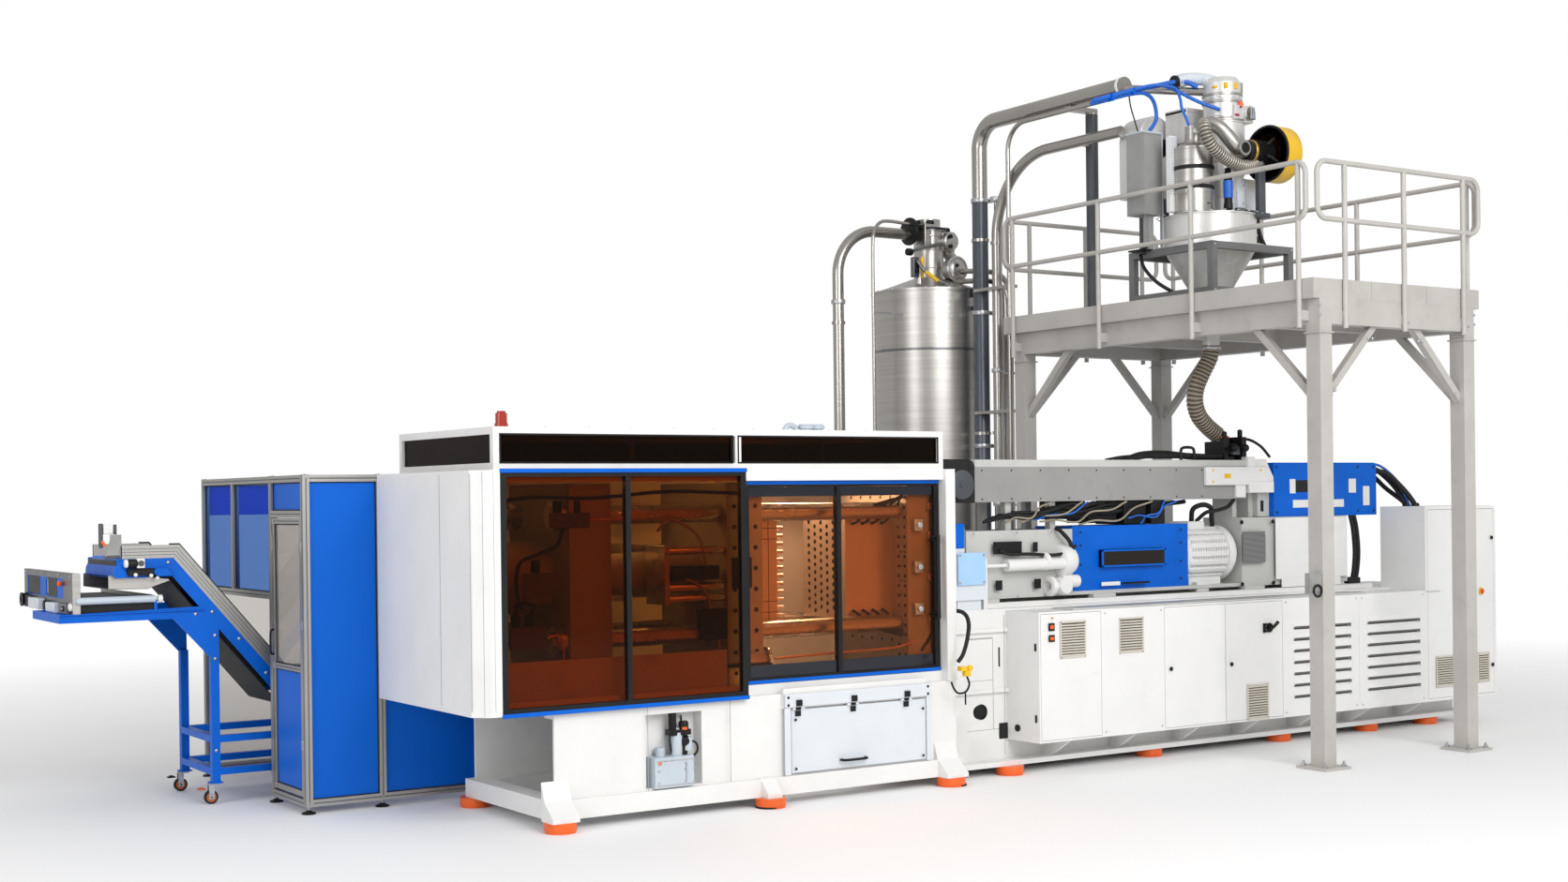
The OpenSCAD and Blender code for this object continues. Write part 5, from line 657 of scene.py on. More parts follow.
piece("mould_hose_tails", [pipe([(2.7 + 0.09 * i, 0.395, 2.0), (2.71 + 0.09 * i, 0.33, 2.03),
    (2.78 + 0.09 * i, 0.3, 2.12), (2.92 + 0.04 * i, 0.26, 2.17), (3.07, 0.25, 2.2 + 0.01 * i)], 0.011, sides=10,
    count=30) for i in range(4)] + [pipe([(2.7 + 0.09 * i, 0.395, 1.34), (2.71 + 0.09 * i, 0.34, 1.31),
    (2.8 + 0.07 * i, 0.3, 1.22), (3.07, 0.27, 1.14 + 0.01 * i)], 0.011, sides=10, count=30) for i in range(4)],
    "rubber_black")
# Thin black sleeves in the mould cavities paint the shade down in the holes.
cavities = [(2.63, 0.435 + 0.08167 * (i + 0.5), 1.3 + 0.0592 * (j + 0.5 + i % 2 / 2)) for i in range(6)
    for j in range(12)]
piece("cavity_shade_sleeves", turned([(0, 0.1092), (0.0168, 0.1092), (0.0168, 0.0008), (0.0163, 0.0008), (0.0163, 0.1086),
    (0, 0.1086)], cavities, axis="x", sides=16), "rubber_black")
piece("door_glass_bands", boxes(*[(x0, 0.1565, z0, x1, 0.158, z1) for x0, x1 in ((1.606, 2.376), (2.416, 3.284))
    for z0, z1 in ((2.215, 2.284), (0.911, 1.0))]), "navy_band", body="mould_door")
print("clamp unit dressed,", len(made), "pieces so far")

# %% [markdown]
# A row of electric cabinets fronts the injection bed. Each bay has something on it: switches,
# slotted vents with a wire mesh behind, turn locks, louvres pressed from the sheet. Vents get a
# thin frame and slats; the slats are many boxes worked out in one array.

# %% Cabinet vents and louvres
face = -0.1
vent_boxes = [(4.343, 4.601, 0.922, 1.197), (4.976, 5.236, 0.922, 1.197), (6.444, 6.693, 0.279, 0.564)]
tall_vents = [(8.94, 9.199, 0.393, 0.662), (9.544, 9.707, 0.404, 0.663)]


def slats(vents, front, pitch=0.0215, body="machine", name="vent_slats"):
    """Slats fill each vent from bottom to top at an even pitch, each a shallow box; a mesh sheet lies behind, dark
    with painted shade of the cabinet's inside.
    """
    bars = [[(x0 + 0.006, front - 0.0045, z), (x1 - 0.006, front + 0.001, z + pitch * 0.52)]
        for x0, x1, z0, z1 in vents for z in np.arange(z0 + 0.008, z1 - 0.01, pitch)]
    rims = [b for x0, x1, z0, z1 in vents for b in ([(x0 - 0.008, front - 0.003, z0 - 0.008),
        (x0 + 0.006, front + 0.001, z1 + 0.008)], [(x1 - 0.006, front - 0.003, z0 - 0.008),
        (x1 + 0.008, front + 0.001, z1 + 0.008)], [(x0, front - 0.003, z0 - 0.008),
        (x1, front + 0.001, z0 + 0.006)], [(x0, front - 0.003, z1 - 0.006), (x1, front + 0.001, z1 + 0.008)])]
    piece(name, boxes(*bars, *rims), "vent_frame", body=body)
    piece(name + "_mesh", boxes(*[[(x0, front - 0.0005, z0), (x1, front + 0.002, z1)]
        for x0, x1, z0, z1 in vents]), "vent_dark", body=body, slot="dark_grey_paint")


finish("vent_frame", (0.6, 0.56, 0.49), rough=0.45, shift=0.05)
# Near black for the sheet behind the vents and for the sight window: painted shade of the insides behind them.
finish("vent_dark", (0.1, 0.085, 0.06), rough=0.6, shift=0.3, size=30)
slats(vent_boxes[:1], -0.106, body="cabinet_door_1", name="door_1_vent")
slats(vent_boxes[1:2], face, name="panel_vent")
slats(vent_boxes[2:], -0.106, body="cabinet_door_3", name="door_3_vent")
slats(tall_vents, -0.108, body="tall_cabinet_door", name="tall_vent")
louvres = [(x0, x1, 0.395 + 0.0993 * i) for x0, x1 in ((7.021, 7.751), (7.985, 8.697)) for i in range(7)]
piece("louvre_shadows", [plate([(x0, z + 0.048), (x0, z + 0.032), (x1 - 0.035, z + 0.032), (x1, z + 0.014),
    (x1, z + 0.048)], "y", -0.1175, -0.1162) for x0, x1, z in louvres], "slot_grey")
print("vents set in", len(vent_boxes) + len(tall_vents), "places")

# %% [markdown]
# Locks, lamps and switches are small, but they give the cabinet its scale. The doors are real
# bodies of this machine, so what is screwed to a door rides on that door.

# %% Locks and switches
lock = [(0, 0), (0.016, 0), (0.018, -0.003), (0.018, -0.009), (0.012, -0.012), (0, -0.012)]
for number, x, z in ((2, 5.541, 0.761), (3, 6.249, 0.758)):
    piece(f"door_{number}_lock", turned(lock, [(x, -0.106, z)], axis="y", sides=20), "black_coat",
        body=f"cabinet_door_{number}")
piece("start_switches", boxes((4.215, -0.112, 1.135, 4.277, -0.105, 1.197),
    (4.215, -0.112, 1.05, 4.277, -0.105, 1.104)), "black_coat", body="cabinet_door_1", bevel=0.003)
piece("start_switch_lamps", [boxes((4.228, -0.116, 1.152, 4.264, -0.11, 1.182),
    (4.228, -0.116, 1.064, 4.264, -0.11, 1.09)), disc(0.008, -0.005, [(4.256, -0.106, 1.236)], axis="y", sides=14,
    top=-0.007)], "orange_coat", body="cabinet_door_1", slot="orange_wheel", bevel=0.002)
piece("switch_plate", [turned([(0, 0), (0.04, 0), (0.042, -0.003), (0.042, -0.006), (0, -0.008)],
    [(6.717, -0.106, 1.044)], axis="y", sides=28), boxes((6.64, -0.12, 1.005, 6.662, -0.1055, 1.083),
    (6.64, -0.12, 1.068, 6.684, -0.1055, 1.083), (6.64, -0.12, 1.005, 6.684, -0.1055, 1.02))], "black_coat",
    body="cabinet_door_3", slot="black_plastic", bevel=0.002)
piece("switch_lever", tube(curve_through([(6.717, -0.143, 1.044), (6.745, -0.148, 1.066), (6.776, -0.15, 1.092)],
    12), np.linspace(0.012, 0.016, 12), sides=14), "black_coat", body="main_switch", slot="black_plastic")
piece("cabinet_screws", head(0.008, -0.002, 0.005, -0.004, [(x, face, z)
    for x in (4.82, 5.44, 6.93, 7.84, 7.92, 8.76) for z in (0.3, 1.25)], axis="y", sides=12), "zinc")
piece("cabinet_end_hinges", boxes((4.113, -0.07, 0.42, 4.121, -0.05, 0.48),
    (4.113, -0.07, 0.98, 4.121, -0.05, 1.04)), "black_coat", bevel=0.002)
piece("cabinet_end_knob", head(0.028, -0.012, 0.02, -0.016, [(4.12, 0.16, 0.36)], axis="x", sides=20), "black_coat")
piece("tall_joints", boxes((8.801, -0.1015, 1.272, 8.832, -0.0995, 1.276),
    (8.832, -0.109, 1.272, 9.0, -0.1075, 1.2755)), "mid_grey_coat", body="tall_cabinet_door")
piece("tall_locks", turned(lock, [(9.76, -0.108, z) for z in (0.55, 1.75)], axis="y", sides=20), "black_coat",
    body="tall_cabinet_door")
piece("estop_collar", turned([(0, 0), (0.03, 0), (0.034, -0.004), (0.034, -0.012), (0.024, -0.014), (0, -0.014)],
    [(9.592, -0.108, 1.25)], axis="y", sides=28), "yellow_coat", body="tall_cabinet_door")

# %% [markdown]
# Along the cabinet tops runs a perforated cable tray cover. At the clamp end of the bed are a
# round black port, a square opening and a yellow limit switch with its cable.

# %% Bed details
piece("tray_cover", boxes((4.5, -0.085, 1.286, 8.0, 0.17, 1.3)), "band_grey", bevel=0.002)
# The perforations are dark boxes on the cover: painted shade in the holes.
holes = [[(x, y, 1.2995), (x + 0.026, y + 0.028, 1.301)] for x in np.arange(4.55, 7.95, 0.044)
    for y in (-0.07, 0.075)]
piece("tray_holes", boxes(*holes), "slot_grey")
piece("bed_port", turned([(0, 0), (0.055, 0), (0.06, -0.004), (0.06, -0.01), (0.048, -0.012), (0.044, -0.004),
    (0, -0.004)], [(3.575, -0.04, 0.543)], axis="y", sides=36), "black_coat")
# The square opening is a dark box: painted shade in the opening.
piece("bed_square", boxes((3.757, -0.052, 0.322, 3.838, -0.038, 0.445)), "black_coat", bevel=0.003)
piece("bed_frame_lines", boxes((3.44, -0.0415, 1.1, 3.7, -0.0395, 1.11),
    (3.44, -0.0415, 0.78, 3.7, -0.0395, 0.784), (3.815, -0.0415, 0.2, 3.819, -0.0395, 1.28),
    (3.7, -0.0415, 0.4, 3.704, -0.0395, 1.1), (3.44, -0.0415, 0.4, 3.815, -0.0395, 0.404)), "mid_grey_coat")
piece("limit_switch", [boxes((3.35, -0.095, 0.872, 3.41, -0.04, 0.908),
    (3.395, -0.085, 0.83, 3.45, -0.042, 0.875)), disc(0.024, -0.02, [(3.45, -0.06, 0.89)], axis="y", sides=20)],
    "yellow_coat", bevel=0.004)
free_cord("limit_cable", [(3.42, -0.07, 0.83), (3.43, -0.085, 0.77), (3.4, -0.08, 0.715), (3.34, -0.065, 0.705),
    (3.31, -0.05, 0.74), (3.3, -0.03, 0.79)], 0.008, "rubber_black")
free_cord("bed_cable", [(3.46, 0.2, 1.32), (3.46, 0.02, 1.31), (3.45, -0.06, 1.24), (3.43, -0.07, 1.12),
    (3.39, -0.065, 1.0), (3.35, -0.05, 0.94)], 0.016, "rubber_black")
# The slots are dark bars on the face: painted shade in them.
piece("bed_slots", boxes((3.42, -0.0415, 0.61, 3.435, -0.0395, 0.71),
    (3.757, -0.0415, 0.88, 3.772, -0.0395, 1.03)), "black_coat")

# %% [markdown]
# The injection unit slides on the bed, so all that is on it rides on the carriage. Its blue
# drive cover has a window and a bar handle. The window is a thin dark pane set in a rim.

# %% Drive cover
piece("cover_window", boxes((5.285, 0.4045, 1.605, 5.995, 0.406, 1.723)), "amber_dark", body=carriage)
piece("cover_rim", boxes((5.266, 0.402, 1.722, 6.014, 0.4075, 1.736), (5.266, 0.402, 1.592, 6.014, 0.4075, 1.606),
    (5.266, 0.402, 1.592, 5.287, 0.4075, 1.736), (5.993, 0.402, 1.592, 6.014, 0.4075, 1.736)), "blue_coat",
    body=carriage, bevel=0.001)
cover_grip = [(5.515, 0.407, 1.452), (5.52, 0.385, 1.452), (5.54, 0.378, 1.452), (5.76, 0.378, 1.452),
    (5.78, 0.385, 1.452), (5.785, 0.407, 1.452)]
piece("cover_grip", pipe(cover_grip, 0.009, count=30), "black_coat", body=carriage)
piece("cover_plate", boxes((5.262, 0.4045, 1.436, 5.474, 0.4075, 1.468)), "white_coat", body=carriage, bevel=0.001)
screw_head = [(0, 0), (0.01, 0), (0.011, -0.002), (0.008, -0.005), (0, -0.005)]
piece("cover_screws", [turned(screw_head, [(x, 0.407, z) for x in (5.03, 6.19) for z in (1.47, 1.62, 1.78, 1.89)],
    axis="y", sides=12), turned(screw_head, [(x, 0.45, z) for x in (7.45, 8.03, 8.55, 8.77) for z in (2.02, 2.43)],
    axis="y", sides=12)], "black_coat", body=carriage)
piece("upper_window", boxes((7.7, 0.4475, 2.2, 8.09, 0.4495, 2.31)), "clear_dark", body=carriage)
piece("upper_plates", boxes((7.62, 0.447, 2.19, 7.695, 0.4495, 2.32), (8.42, 0.447, 2.19, 8.52, 0.4495, 2.32),
    (8.62, 0.447, 2.07, 8.71, 0.4495, 2.25), (7.66, 0.447, 2.06, 8.35, 0.4495, 2.13)), "white_coat", body=carriage,
    bevel=0.001)

# %% [markdown]
# The servo motor is cast with cooling fins all round. One fin is a shallow box; turned copies
# of it stand on the motor barrel at equal angles. They are worked out as one array of boxes
# and then bent round the axis, so the whole set is a single piece.

# %% Motor fins
def fins(centre, inner, outer, length, count, thick=0.012, start=0.0):
    """Boxes stand on a circle at equal angles; each point is the inner or outer radius along its angle."""
    angle = start + np.arange(count) * 2 * np.pi / count
    out = np.stack([np.zeros(count), np.cos(angle), np.sin(angle)], 1)
    side = np.stack([np.zeros(count), -np.sin(angle), np.cos(angle)], 1)
    points = (np.array(centre) + box_pick[None, :, :1] * np.array([length, 0, 0])
        + (inner + (outer - inner) * box_pick[None, :, 1:2]) * out[:, None]
        + (box_pick[None, :, 2:] - 0.5) * thick * side[:, None])
    faces = box_faces[None] + 8 * np.arange(count)[:, None, None]
    return points.reshape(-1, 3), faces.reshape(-1, 4).tolist()


motor_axis = (6.36, 0.68, 1.67)
piece("motor_fins", fins(motor_axis, 0.19, 0.25, 0.46, 20, thick=0.052), "white_coat", body=carriage, bevel=0.012)
piece("motor_end", turned([(0, 0), (0.215, 0), (0.24, 0.012), (0.247, 0.035), (0.247, 0.075), (0.225, 0.1),
    (0.15, 0.125), (0, 0.135)], [(6.825, 0.68, 1.67)], axis="x", sides=56), "white_coat", body=carriage)
piece("motor_feet", [boxes((6.45, 0.47, 1.342, 6.6, 0.58, 1.425), (6.45, 0.78, 1.342, 6.6, 0.89, 1.425)),
    boxes((6.44, 0.56, 1.88, 6.64, 0.8, 1.955))], "white_coat", body=carriage, bevel=0.006)

# %% [markdown]
# Long pull-in cylinders draw the unit against the mould. Each is a turned body with a neck and
# a bright rod; a rounded casting carries them at the back.

# %% Cylinders and casting
piece("cylinder_rings", [turned([(bore, 0), (r, 0), (r + 0.012, 0.008), (r + 0.012, 0.042), (r, 0.05),
    (bore, 0.05)], [(x, y, z)], axis="x", hollow=True) for x, y, z, r, bore in ((3.86, 0.4, 1.66, 0.058, 0.052),
    (4.6, 0.4, 1.66, 0.062, 0.042), (4.66, 0.4, 1.455, 0.07, 0.042))], "white_coat", body=carriage)
piece("cylinder_caps", [turned([(0, 0), (0.03, 0), (0.034, -0.006), (0.02, -0.02), (0, -0.022)],
    [(4.7, 0.335, 1.455)], axis="y", sides=24), turned([(0, -0.12), (0.062, -0.12), (0.07, -0.11), (0.07, 0),
    (0, 0)], [(4.8, 0.44, 1.455)], axis="y"), turned([(0, 0), (0.1, 0), (0.13, 0.02), (0.135, 0.1), (0.11, 0.16),
    (0, 0.17)], [(4.79, 0.45, 1.66)], axis="x", sides=36)], "white_coat", body=carriage)
# Slots in the side plate are dark bars: painted shade in them.
piece("plate_slots", boxes((4.12, 0.413, 1.44, 4.19, 0.4155, 1.52), (4.53, 0.413, 1.44, 4.6, 0.4155, 1.52),
    (4.1, 0.413, 1.73, 4.4, 0.4155, 1.83), (4.52, 0.413, 1.74, 4.57, 0.4155, 1.82)), "black_coat", body=carriage)
piece("plate_bolts", turned(screw_head, [(x, 0.415, z) for x in (3.9, 4.35, 4.72) for z in (1.38, 1.9)], axis="y",
    sides=6), "zinc", body=carriage)

# %% [markdown]
# At the nozzle end stand a terminal box with a pale blue plate and a blue housing over it.

# %% Terminal box
box_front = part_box("terminal_box")[0].y
piece("terminal_plate", boxes((3.63, box_front - 0.008, 1.5, 3.91, box_front - 0.001, 1.755)), "pale_blue",
    bevel=0.003)
piece("terminal_screws", turned(screw_head, [(x, box_front - 0.008, z) for x in (3.65, 3.89)
    for z in (1.52, 1.735)], axis="y", sides=12), "zinc")
piece("nozzle_housing", [boxes((3.535, 0.3, 1.79, 3.715, 0.46, 1.985)),
    boxes((3.53, 0.31, 1.4, 3.555, 0.44, 1.79))], "blue_coat", bevel=0.008)

# %% [markdown]
# The grey beam over the barrel carries the heater cabling. It has a lighter top band, rows of
# screws, and a black rounded cap at the nozzle end with a round disc in it.

# %% Barrel beam
piece("beam_band", boxes((3.948, 0.4475, 2.432, 7.052, 0.912, 2.4925)), "band_grey", body=carriage,
    slot="mid_grey_paint", bevel=0.004)
cap_outline = [(3.59, 2.146), (3.945, 2.146), (3.945, 2.44), (3.93, 2.474), (3.89, 2.496), (3.622, 2.496),
    (3.6, 2.485), (3.59, 2.462)]
piece("beam_cap", plate(cap_outline, "y", 0.4455, 0.9145), "rubber_black", body=carriage, slot="black_frame",
    bevel=0.004)
piece("beam_disc", turned([(0, 0), (0.112, 0), (0.118, -0.006), (0.118, -0.02), (0.104, -0.026), (0.03, -0.026),
    (0.026, -0.032), (0, -0.032)], [(3.8, 0.4455, 2.292)], axis="y", sides=48), "dark_grey_coat", body=carriage)
piece("beam_screws", disc(0.007, -0.003, [(x, 0.45, z) for x in np.arange(4.02, 6.6, 0.31)
    for z in (2.175, 2.405)], axis="y", sides=10, top=-0.004), "black_coat", body=carriage)
piece("beam_brackets", [boxes((6.52, 0.41, 2.27, 7.3, 0.4465, 2.43), (7.05, 0.4, 2.2, 7.36, 0.6, 2.3),
    (7.05, 0.42, 2.3, 7.14, 0.5, 2.52), (7.06, 0.5, 2.43, 7.38, 0.86, 2.5), (6.9, 0.42, 2.16, 7.02, 0.4485, 2.27)),
    plate([(7.16, 2.3), (7.4, 2.3), (7.4, 2.34), (7.3, 2.5), (7.16, 2.5)], "y", 0.44, 0.5)], "white_coat",
    body=carriage, bevel=0.004)
piece("bracket_marks", [boxes((6.74, 0.4085, 2.33, 6.82, 0.411, 2.37)),
    turned(screw_head, [(6.6, 0.41, 2.4), (6.6, 0.41, 2.3), (7.2, 0.41, 2.4)], axis="y", sides=12)], "yellow_coat",
    body=carriage)

# %% [markdown]
# Between the beam and the side plate hangs a thick bundle of heater cables and hoses. Each is
# a tube along a smooth curve, fixed at both ends. The curves are the same wave with shifted
# places, plus a few drawn one by one, so the bundle looks laid by hand but never changes.

# %% Cable bundle
def bundle(starts, ends, sag, waves, count=40):
    """Straight run from start to end, plus a sag and a small wave that vanish at both ends."""
    t = np.linspace(0, 1, count)[None, :, None]
    starts, ends = np.array(starts, float)[:, None], np.array(ends, float)[:, None]
    hump = np.sin(np.pi * t)
    wave = np.sin(np.array(waves)[:, None, None] * np.pi * t) * hump
    return starts + (ends - starts) * t - hump * np.array(sag)[:, None,
        None] * np.array([0, 0, 1]) + wave * np.array([0, 0.03, 0.025])


n = 12
lift = np.linspace(0, 1, n)
laid = bundle([(4.02 + 0.03 * i, 0.44 + 0.012 * i, 1.99 + 0.006 * i) for i in range(n)],
    [(5.0 + 0.13 * i, 0.46 + 0.012 * i, 2.13) for i in range(n)], 0.05 * lift, 2 + (np.arange(n) % 4))
piece("heater_cables", [tube(path, 0.011 + 0.004 * (i % 3), sides=8) for i, path in enumerate(laid)],
    "rubber_black", body=carriage)
piece("heater_wires", [tube(path, 0.008, sides=8) for path in bundle([(4.25, 0.43, 1.985), (4.4, 0.43, 1.985),
    (4.62, 0.44, 1.985), (5.05, 0.44, 1.955)], [(4.75, 0.44, 2.14), (5.1, 0.45, 2.14), (5.6, 0.45, 2.14),
    (5.9, 0.45, 2.14)], [0.02, 0.03, 0.05, 0.04], [3, 2, 4, 3])], "hose_beige", body=carriage)
piece("signal_wires", [tube(path, 0.007, sides=8) for path in bundle([(4.55, 0.43, 2.0), (5.6, 0.43, 2.0),
    (5.75, 0.44, 1.95)], [(5.15, 0.44, 2.14), (6.2, 0.45, 2.14), (6.05, 0.45, 2.14)], [0.03, 0.04, 0.02],
    [2, 3, 2])], "cable_blue", body=carriage)
piece("under_beam_boxes", boxes((4.98, 0.5, 2.0, 5.18, 0.86, 2.149), (5.62, 0.5, 1.945, 5.88, 0.86, 2.149),
    (5.9, 0.46, 1.945, 6.06, 0.86, 2.149), (5.25, 0.55, 1.96, 5.58, 0.82, 2.1)), "black_coat", body=carriage,
    bevel=0.006)
piece("heater_bands", [turned([(0.11, 0), (0.135, 0), (0.138, 0.004), (0.138, 0.086), (0.135, 0.09), (0.11, 0.09)],
    [(x, 0.68, 2.32)], axis="x", sides=28) for x in (3.86, 4.2)], "zinc", body=carriage)
piece("valve_tails", [pipe(route, radius, count=36) for route, radius in (([(4.78, 0.43, 1.93), (4.8, 0.385, 1.9),
    (4.88, 0.375, 1.82), (4.93, 0.385, 1.72), (4.96, 0.4, 1.62)], 0.017),
    ([(4.96, 0.39, 1.78), (4.85, 0.375, 1.73), (4.7, 0.38, 1.71), (4.45, 0.385, 1.725), (4.25, 0.395, 1.73),
    (4.16, 0.41, 1.76)], 0.014), ([(6.52, 0.6, 1.95), (6.5, 0.56, 2.06), (6.56, 0.5, 2.1), (6.66, 0.5, 2.07),
    (6.72, 0.55, 1.98), (6.78, 0.6, 1.92)], 0.022), ([(6.6, 0.62, 1.955), (6.62, 0.52, 2.03), (6.72, 0.48, 2.05),
    (6.84, 0.47, 2.08), (6.93, 0.48, 2.14)], 0.017))], "rubber_black", body=carriage)

# %% [markdown]
# The grey pedestal behind the motor has a fine grille for its fan, a side cover and end boxes.

# %% Pedestal
piece("pedestal_cover", boxes((7.385, 0.4105, 1.42, 8.345, 0.4145, 1.972),
    (7.46, 0.4105, 1.345, 8.25, 0.4145, 1.42)), "white_coat", body=carriage, bevel=0.002)
piece("cover_end_box", boxes((7.2, 0.56, 1.98, 7.408, 0.905, 2.285), (7.255, 0.5, 1.984, 7.405, 0.56, 2.2)),
    "band_grey", body=carriage, bevel=0.004)
# The slot in the end box is a dark bar: painted shade in it.
piece("cover_end_slot", boxes((7.29, 0.4985, 2.03, 7.33, 0.501, 2.13)), "black_coat", body=carriage)
piece("pedestal_grille", boxes((6.965, 0.4115, 1.575, 7.25, 0.4145, 1.855)), "grille", body=carriage)
piece("pedestal_bolts", disc(0.02, -0.01, [(x, 0.415, z) for x in (6.95, 7.35) for z in (1.39, 1.94)], axis="y",
    sides=6, top=-0.012), "black_coat", body=carriage)

# %% [markdown]
# Cables leave the upper cover for the tall cabinet. They cross from the sliding carriage to
# the standing cabinet, so they ride on no body and stay where they are laid.

# %% Cables that cross to the cabinet
for number, (y, lift, radius) in enumerate(((0.52, 0.0, 0.026), (0.62, 0.03, 0.026), (0.72, 0.01, 0.022),
        (0.58, 0.07, 0.012))):
    route = [(8.795, y, 2.36 + lift), (8.87, y, 2.39 + lift), (8.98, y - 0.06, 2.36 + lift),
        (9.08, y - 0.16, 2.22 + lift), (9.12, min(y - 0.24, 0.39), 2.1), (9.13, min(y - 0.26, 0.37), 2.046)]
    cable = free_cord(f"cabinet_cable_{number + 1}", route, radius, "cable_blue"
        if number == 3 else "rubber_black", body=None)
    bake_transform(cable)
piece("cover_glands", head(0.036, 0.02, 0.03, 0.035, [(8.805, y, 2.36 + lift)
    for y, lift in ((0.52, 0), (0.62, 0.03), (0.72, 0.01))], axis="x", sides=20), "black_coat", body=carriage)
piece("cabinet_glands", head(0.038, 0.02, 0.03, 0.034, [(9.13, y - 0.26, 2.052) for y in (0.52, 0.62)], sides=20),
    "black_coat")
for number, d in enumerate((0, 0.05)):
    free_cord(f"drop_hose_{number + 1}", [(8.46 + d, 0.47, 1.985), (8.475 + d, 0.45, 1.85),
        (8.49 + d, 0.445, 1.65), (8.48 + d, 0.45, 1.48), (8.46 + d, 0.46, 1.36)], 0.02, "rubber_black",
        body=carriage)
piece("drop_hose_foot", boxes((8.4, 0.44, 1.345, 8.56, 0.56, 1.4)), "rubber_black", body=carriage, bevel=0.002)
piece("beam_top_loom", [pipe([(5.75, 0.6, 2.497), (5.95, 0.62, 2.54), (6.25, 0.66, 2.55), (6.55, 0.66, 2.53),
    (6.8, 0.64, 2.52)], 0.03)] + [pipe([(5.7, y, 2.495), (5.95, y, 2.525), (6.4, y, 2.53), (6.82, y, 2.53)], 0.018,
    sides=10) for y in (0.52, 0.74, 0.8)] + [pipe([(6.3, 0.5, 2.49), (6.3, 0.5, 2.57), (6.33, 0.5, 2.6),
    (6.43, 0.5, 2.6), (6.46, 0.5, 2.57), (6.46, 0.5, 2.49)], 0.013, sides=10)], "rubber_black", body=carriage)

# %% [markdown]
# Granulate falls from the hopper through a wound hose into the throat of the barrel. The hose
# is one tube whose radius rises and falls along its length, which gives the ribs. It hangs
# between the platform and the sliding unit, so it rides on neither and stays where it is laid.

# %% Throat hose
def ribbed(route, radius, depth, pitch, sides=20, steps=6):
    """Radius plus a wave along the length: depth times a sine that repeats every pitch."""
    turns = path_length(curve_through(route, 60)) / pitch
    path = curve_through(route, int(turns * steps))
    along = np.concatenate([[0], np.cumsum(np.linalg.norm(np.diff(path, axis=0), axis=1))])
    return tube(path, radius + depth * np.sin(2 * np.pi * along / pitch), sides)


throat_route = [(6.69, 0.5, 3.505), (6.68, 0.51, 3.4), (6.63, 0.54, 3.28), (6.58, 0.57, 3.15), (6.58, 0.6, 3.02),
    (6.65, 0.63, 2.9), (6.77, 0.655, 2.81), (6.88, 0.67, 2.75), (6.95, 0.68, 2.715), (6.97, 0.68, 2.672)]
shape = ribbed(throat_route, 0.07, 0.0062, 0.034)
throat = piece("ribbed_throat_hose", shape, "hose_beige", body=None, angle=80)
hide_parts("throat_hose")
# A dark tube just inside the ribs shows in the grooves between them: painted shade in the grooves.
groove_shade = piece("throat_hose_groove_shade", pipe(throat_route, 0.0695, sides=20, count=90), "hose_dark", body=None)
for hose in (throat, groove_shade):
    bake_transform(hose)
print("throat hose is", round(path_length(curve_through(throat_route, 60)), 2), "m long")
piece("throat_clamp", turned([(0.07, 0), (0.083, 0), (0.085, 0.004), (0.085, 0.024), (0.083, 0.028),
    (0.07, 0.028)], [(6.97, 0.68, 2.684)]), "orange_coat", body=carriage)
piece("hopper_clamp", turned([(0.068, 0), (0.082, 0), (0.084, 0.004), (0.084, 0.026), (0.082, 0.03),
    (0.068, 0.03)], [(6.69, 0.5, 3.468)]), "zinc")
piece("throat_fittings", [turned([(0, 0), (0.03, 0), (0.034, -0.01), (0.034, -0.05), (0.024, -0.065), (0, -0.065)],
    [(6.9, 0.48, 2.6), (7.04, 0.48, 2.6)], axis="y", sides=20), boxes((6.84, 0.5, 2.49, 6.88, 0.74, 2.66),
    (7.06, 0.5, 2.49, 7.12, 0.7, 2.7), (6.8, 0.46, 2.6, 6.86, 0.52, 2.69)),
    turned([(0, 0), (0.02, 0), (0.022, 0.01), (0.022, 0.06), (0, 0.07)], [(7.09, 0.55, 2.7), (6.83, 0.49, 2.68)],
    sides=16), pipe([(7.09, 0.6, 2.66), (7.2, 0.56, 2.68), (7.32, 0.52, 2.62), (7.42, 0.5, 2.52)], 0.013,
    sides=10)], "black_coat", body=carriage, bevel=0.003)

# %% [markdown]
# On the platform stands the loader: a receiver with a domed head, a dust filter with an elbow,
# a blower in a yellow drum, and a control box. The blower is made anew: a thin drum that is
# open at one side, a finned black motor with a brass band, and a bent pipe with an end cap.

# %% Blower
drum_y, drum_z = 0.14, 5.165
drum = piece("blower_drum", turned([(0.236, 0), (0.245, 0.004), (0.245, 0.18), (0.232, 0.196), (0, 0.2), (0, 0.18),
    (0.222, 0.176), (0.228, 0.168), (0.228, 0.004), (0.236, 0)], [(7.025, drum_y, drum_z)], axis="x", sides=72),
    "yellow_coat")
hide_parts("suction_blower")
piece("drum_rim", turned([(0.226, 0), (0.232, -0.01), (0.247, -0.01), (0.251, 0), (0.247, 0.01), (0.23, 0.01),
    (0.226, 0)], [(7.025, drum_y, drum_z)], axis="x", sides=72), "black_coat")
piece("drum_inside", disc(0.222, 0.004, [(7.195, drum_y, drum_z)], axis="x", sides=48), "dark_grey_coat")
ribs = [(r, x) for i in range(9) for r, x in ((0.094, 0.02 * i), (0.106, 0.02 * i + 0.003),
    (0.106, 0.02 * i + 0.011), (0.094, 0.02 * i + 0.014))]
piece("blower_motor", turned([(0, -0.02), (0.094, -0.02)] + ribs + [(0.12, 0.19), (0.15, 0.3), (0, 0.35)],
    [(6.85, drum_y, drum_z)], axis="x", sides=40), "black_coat")
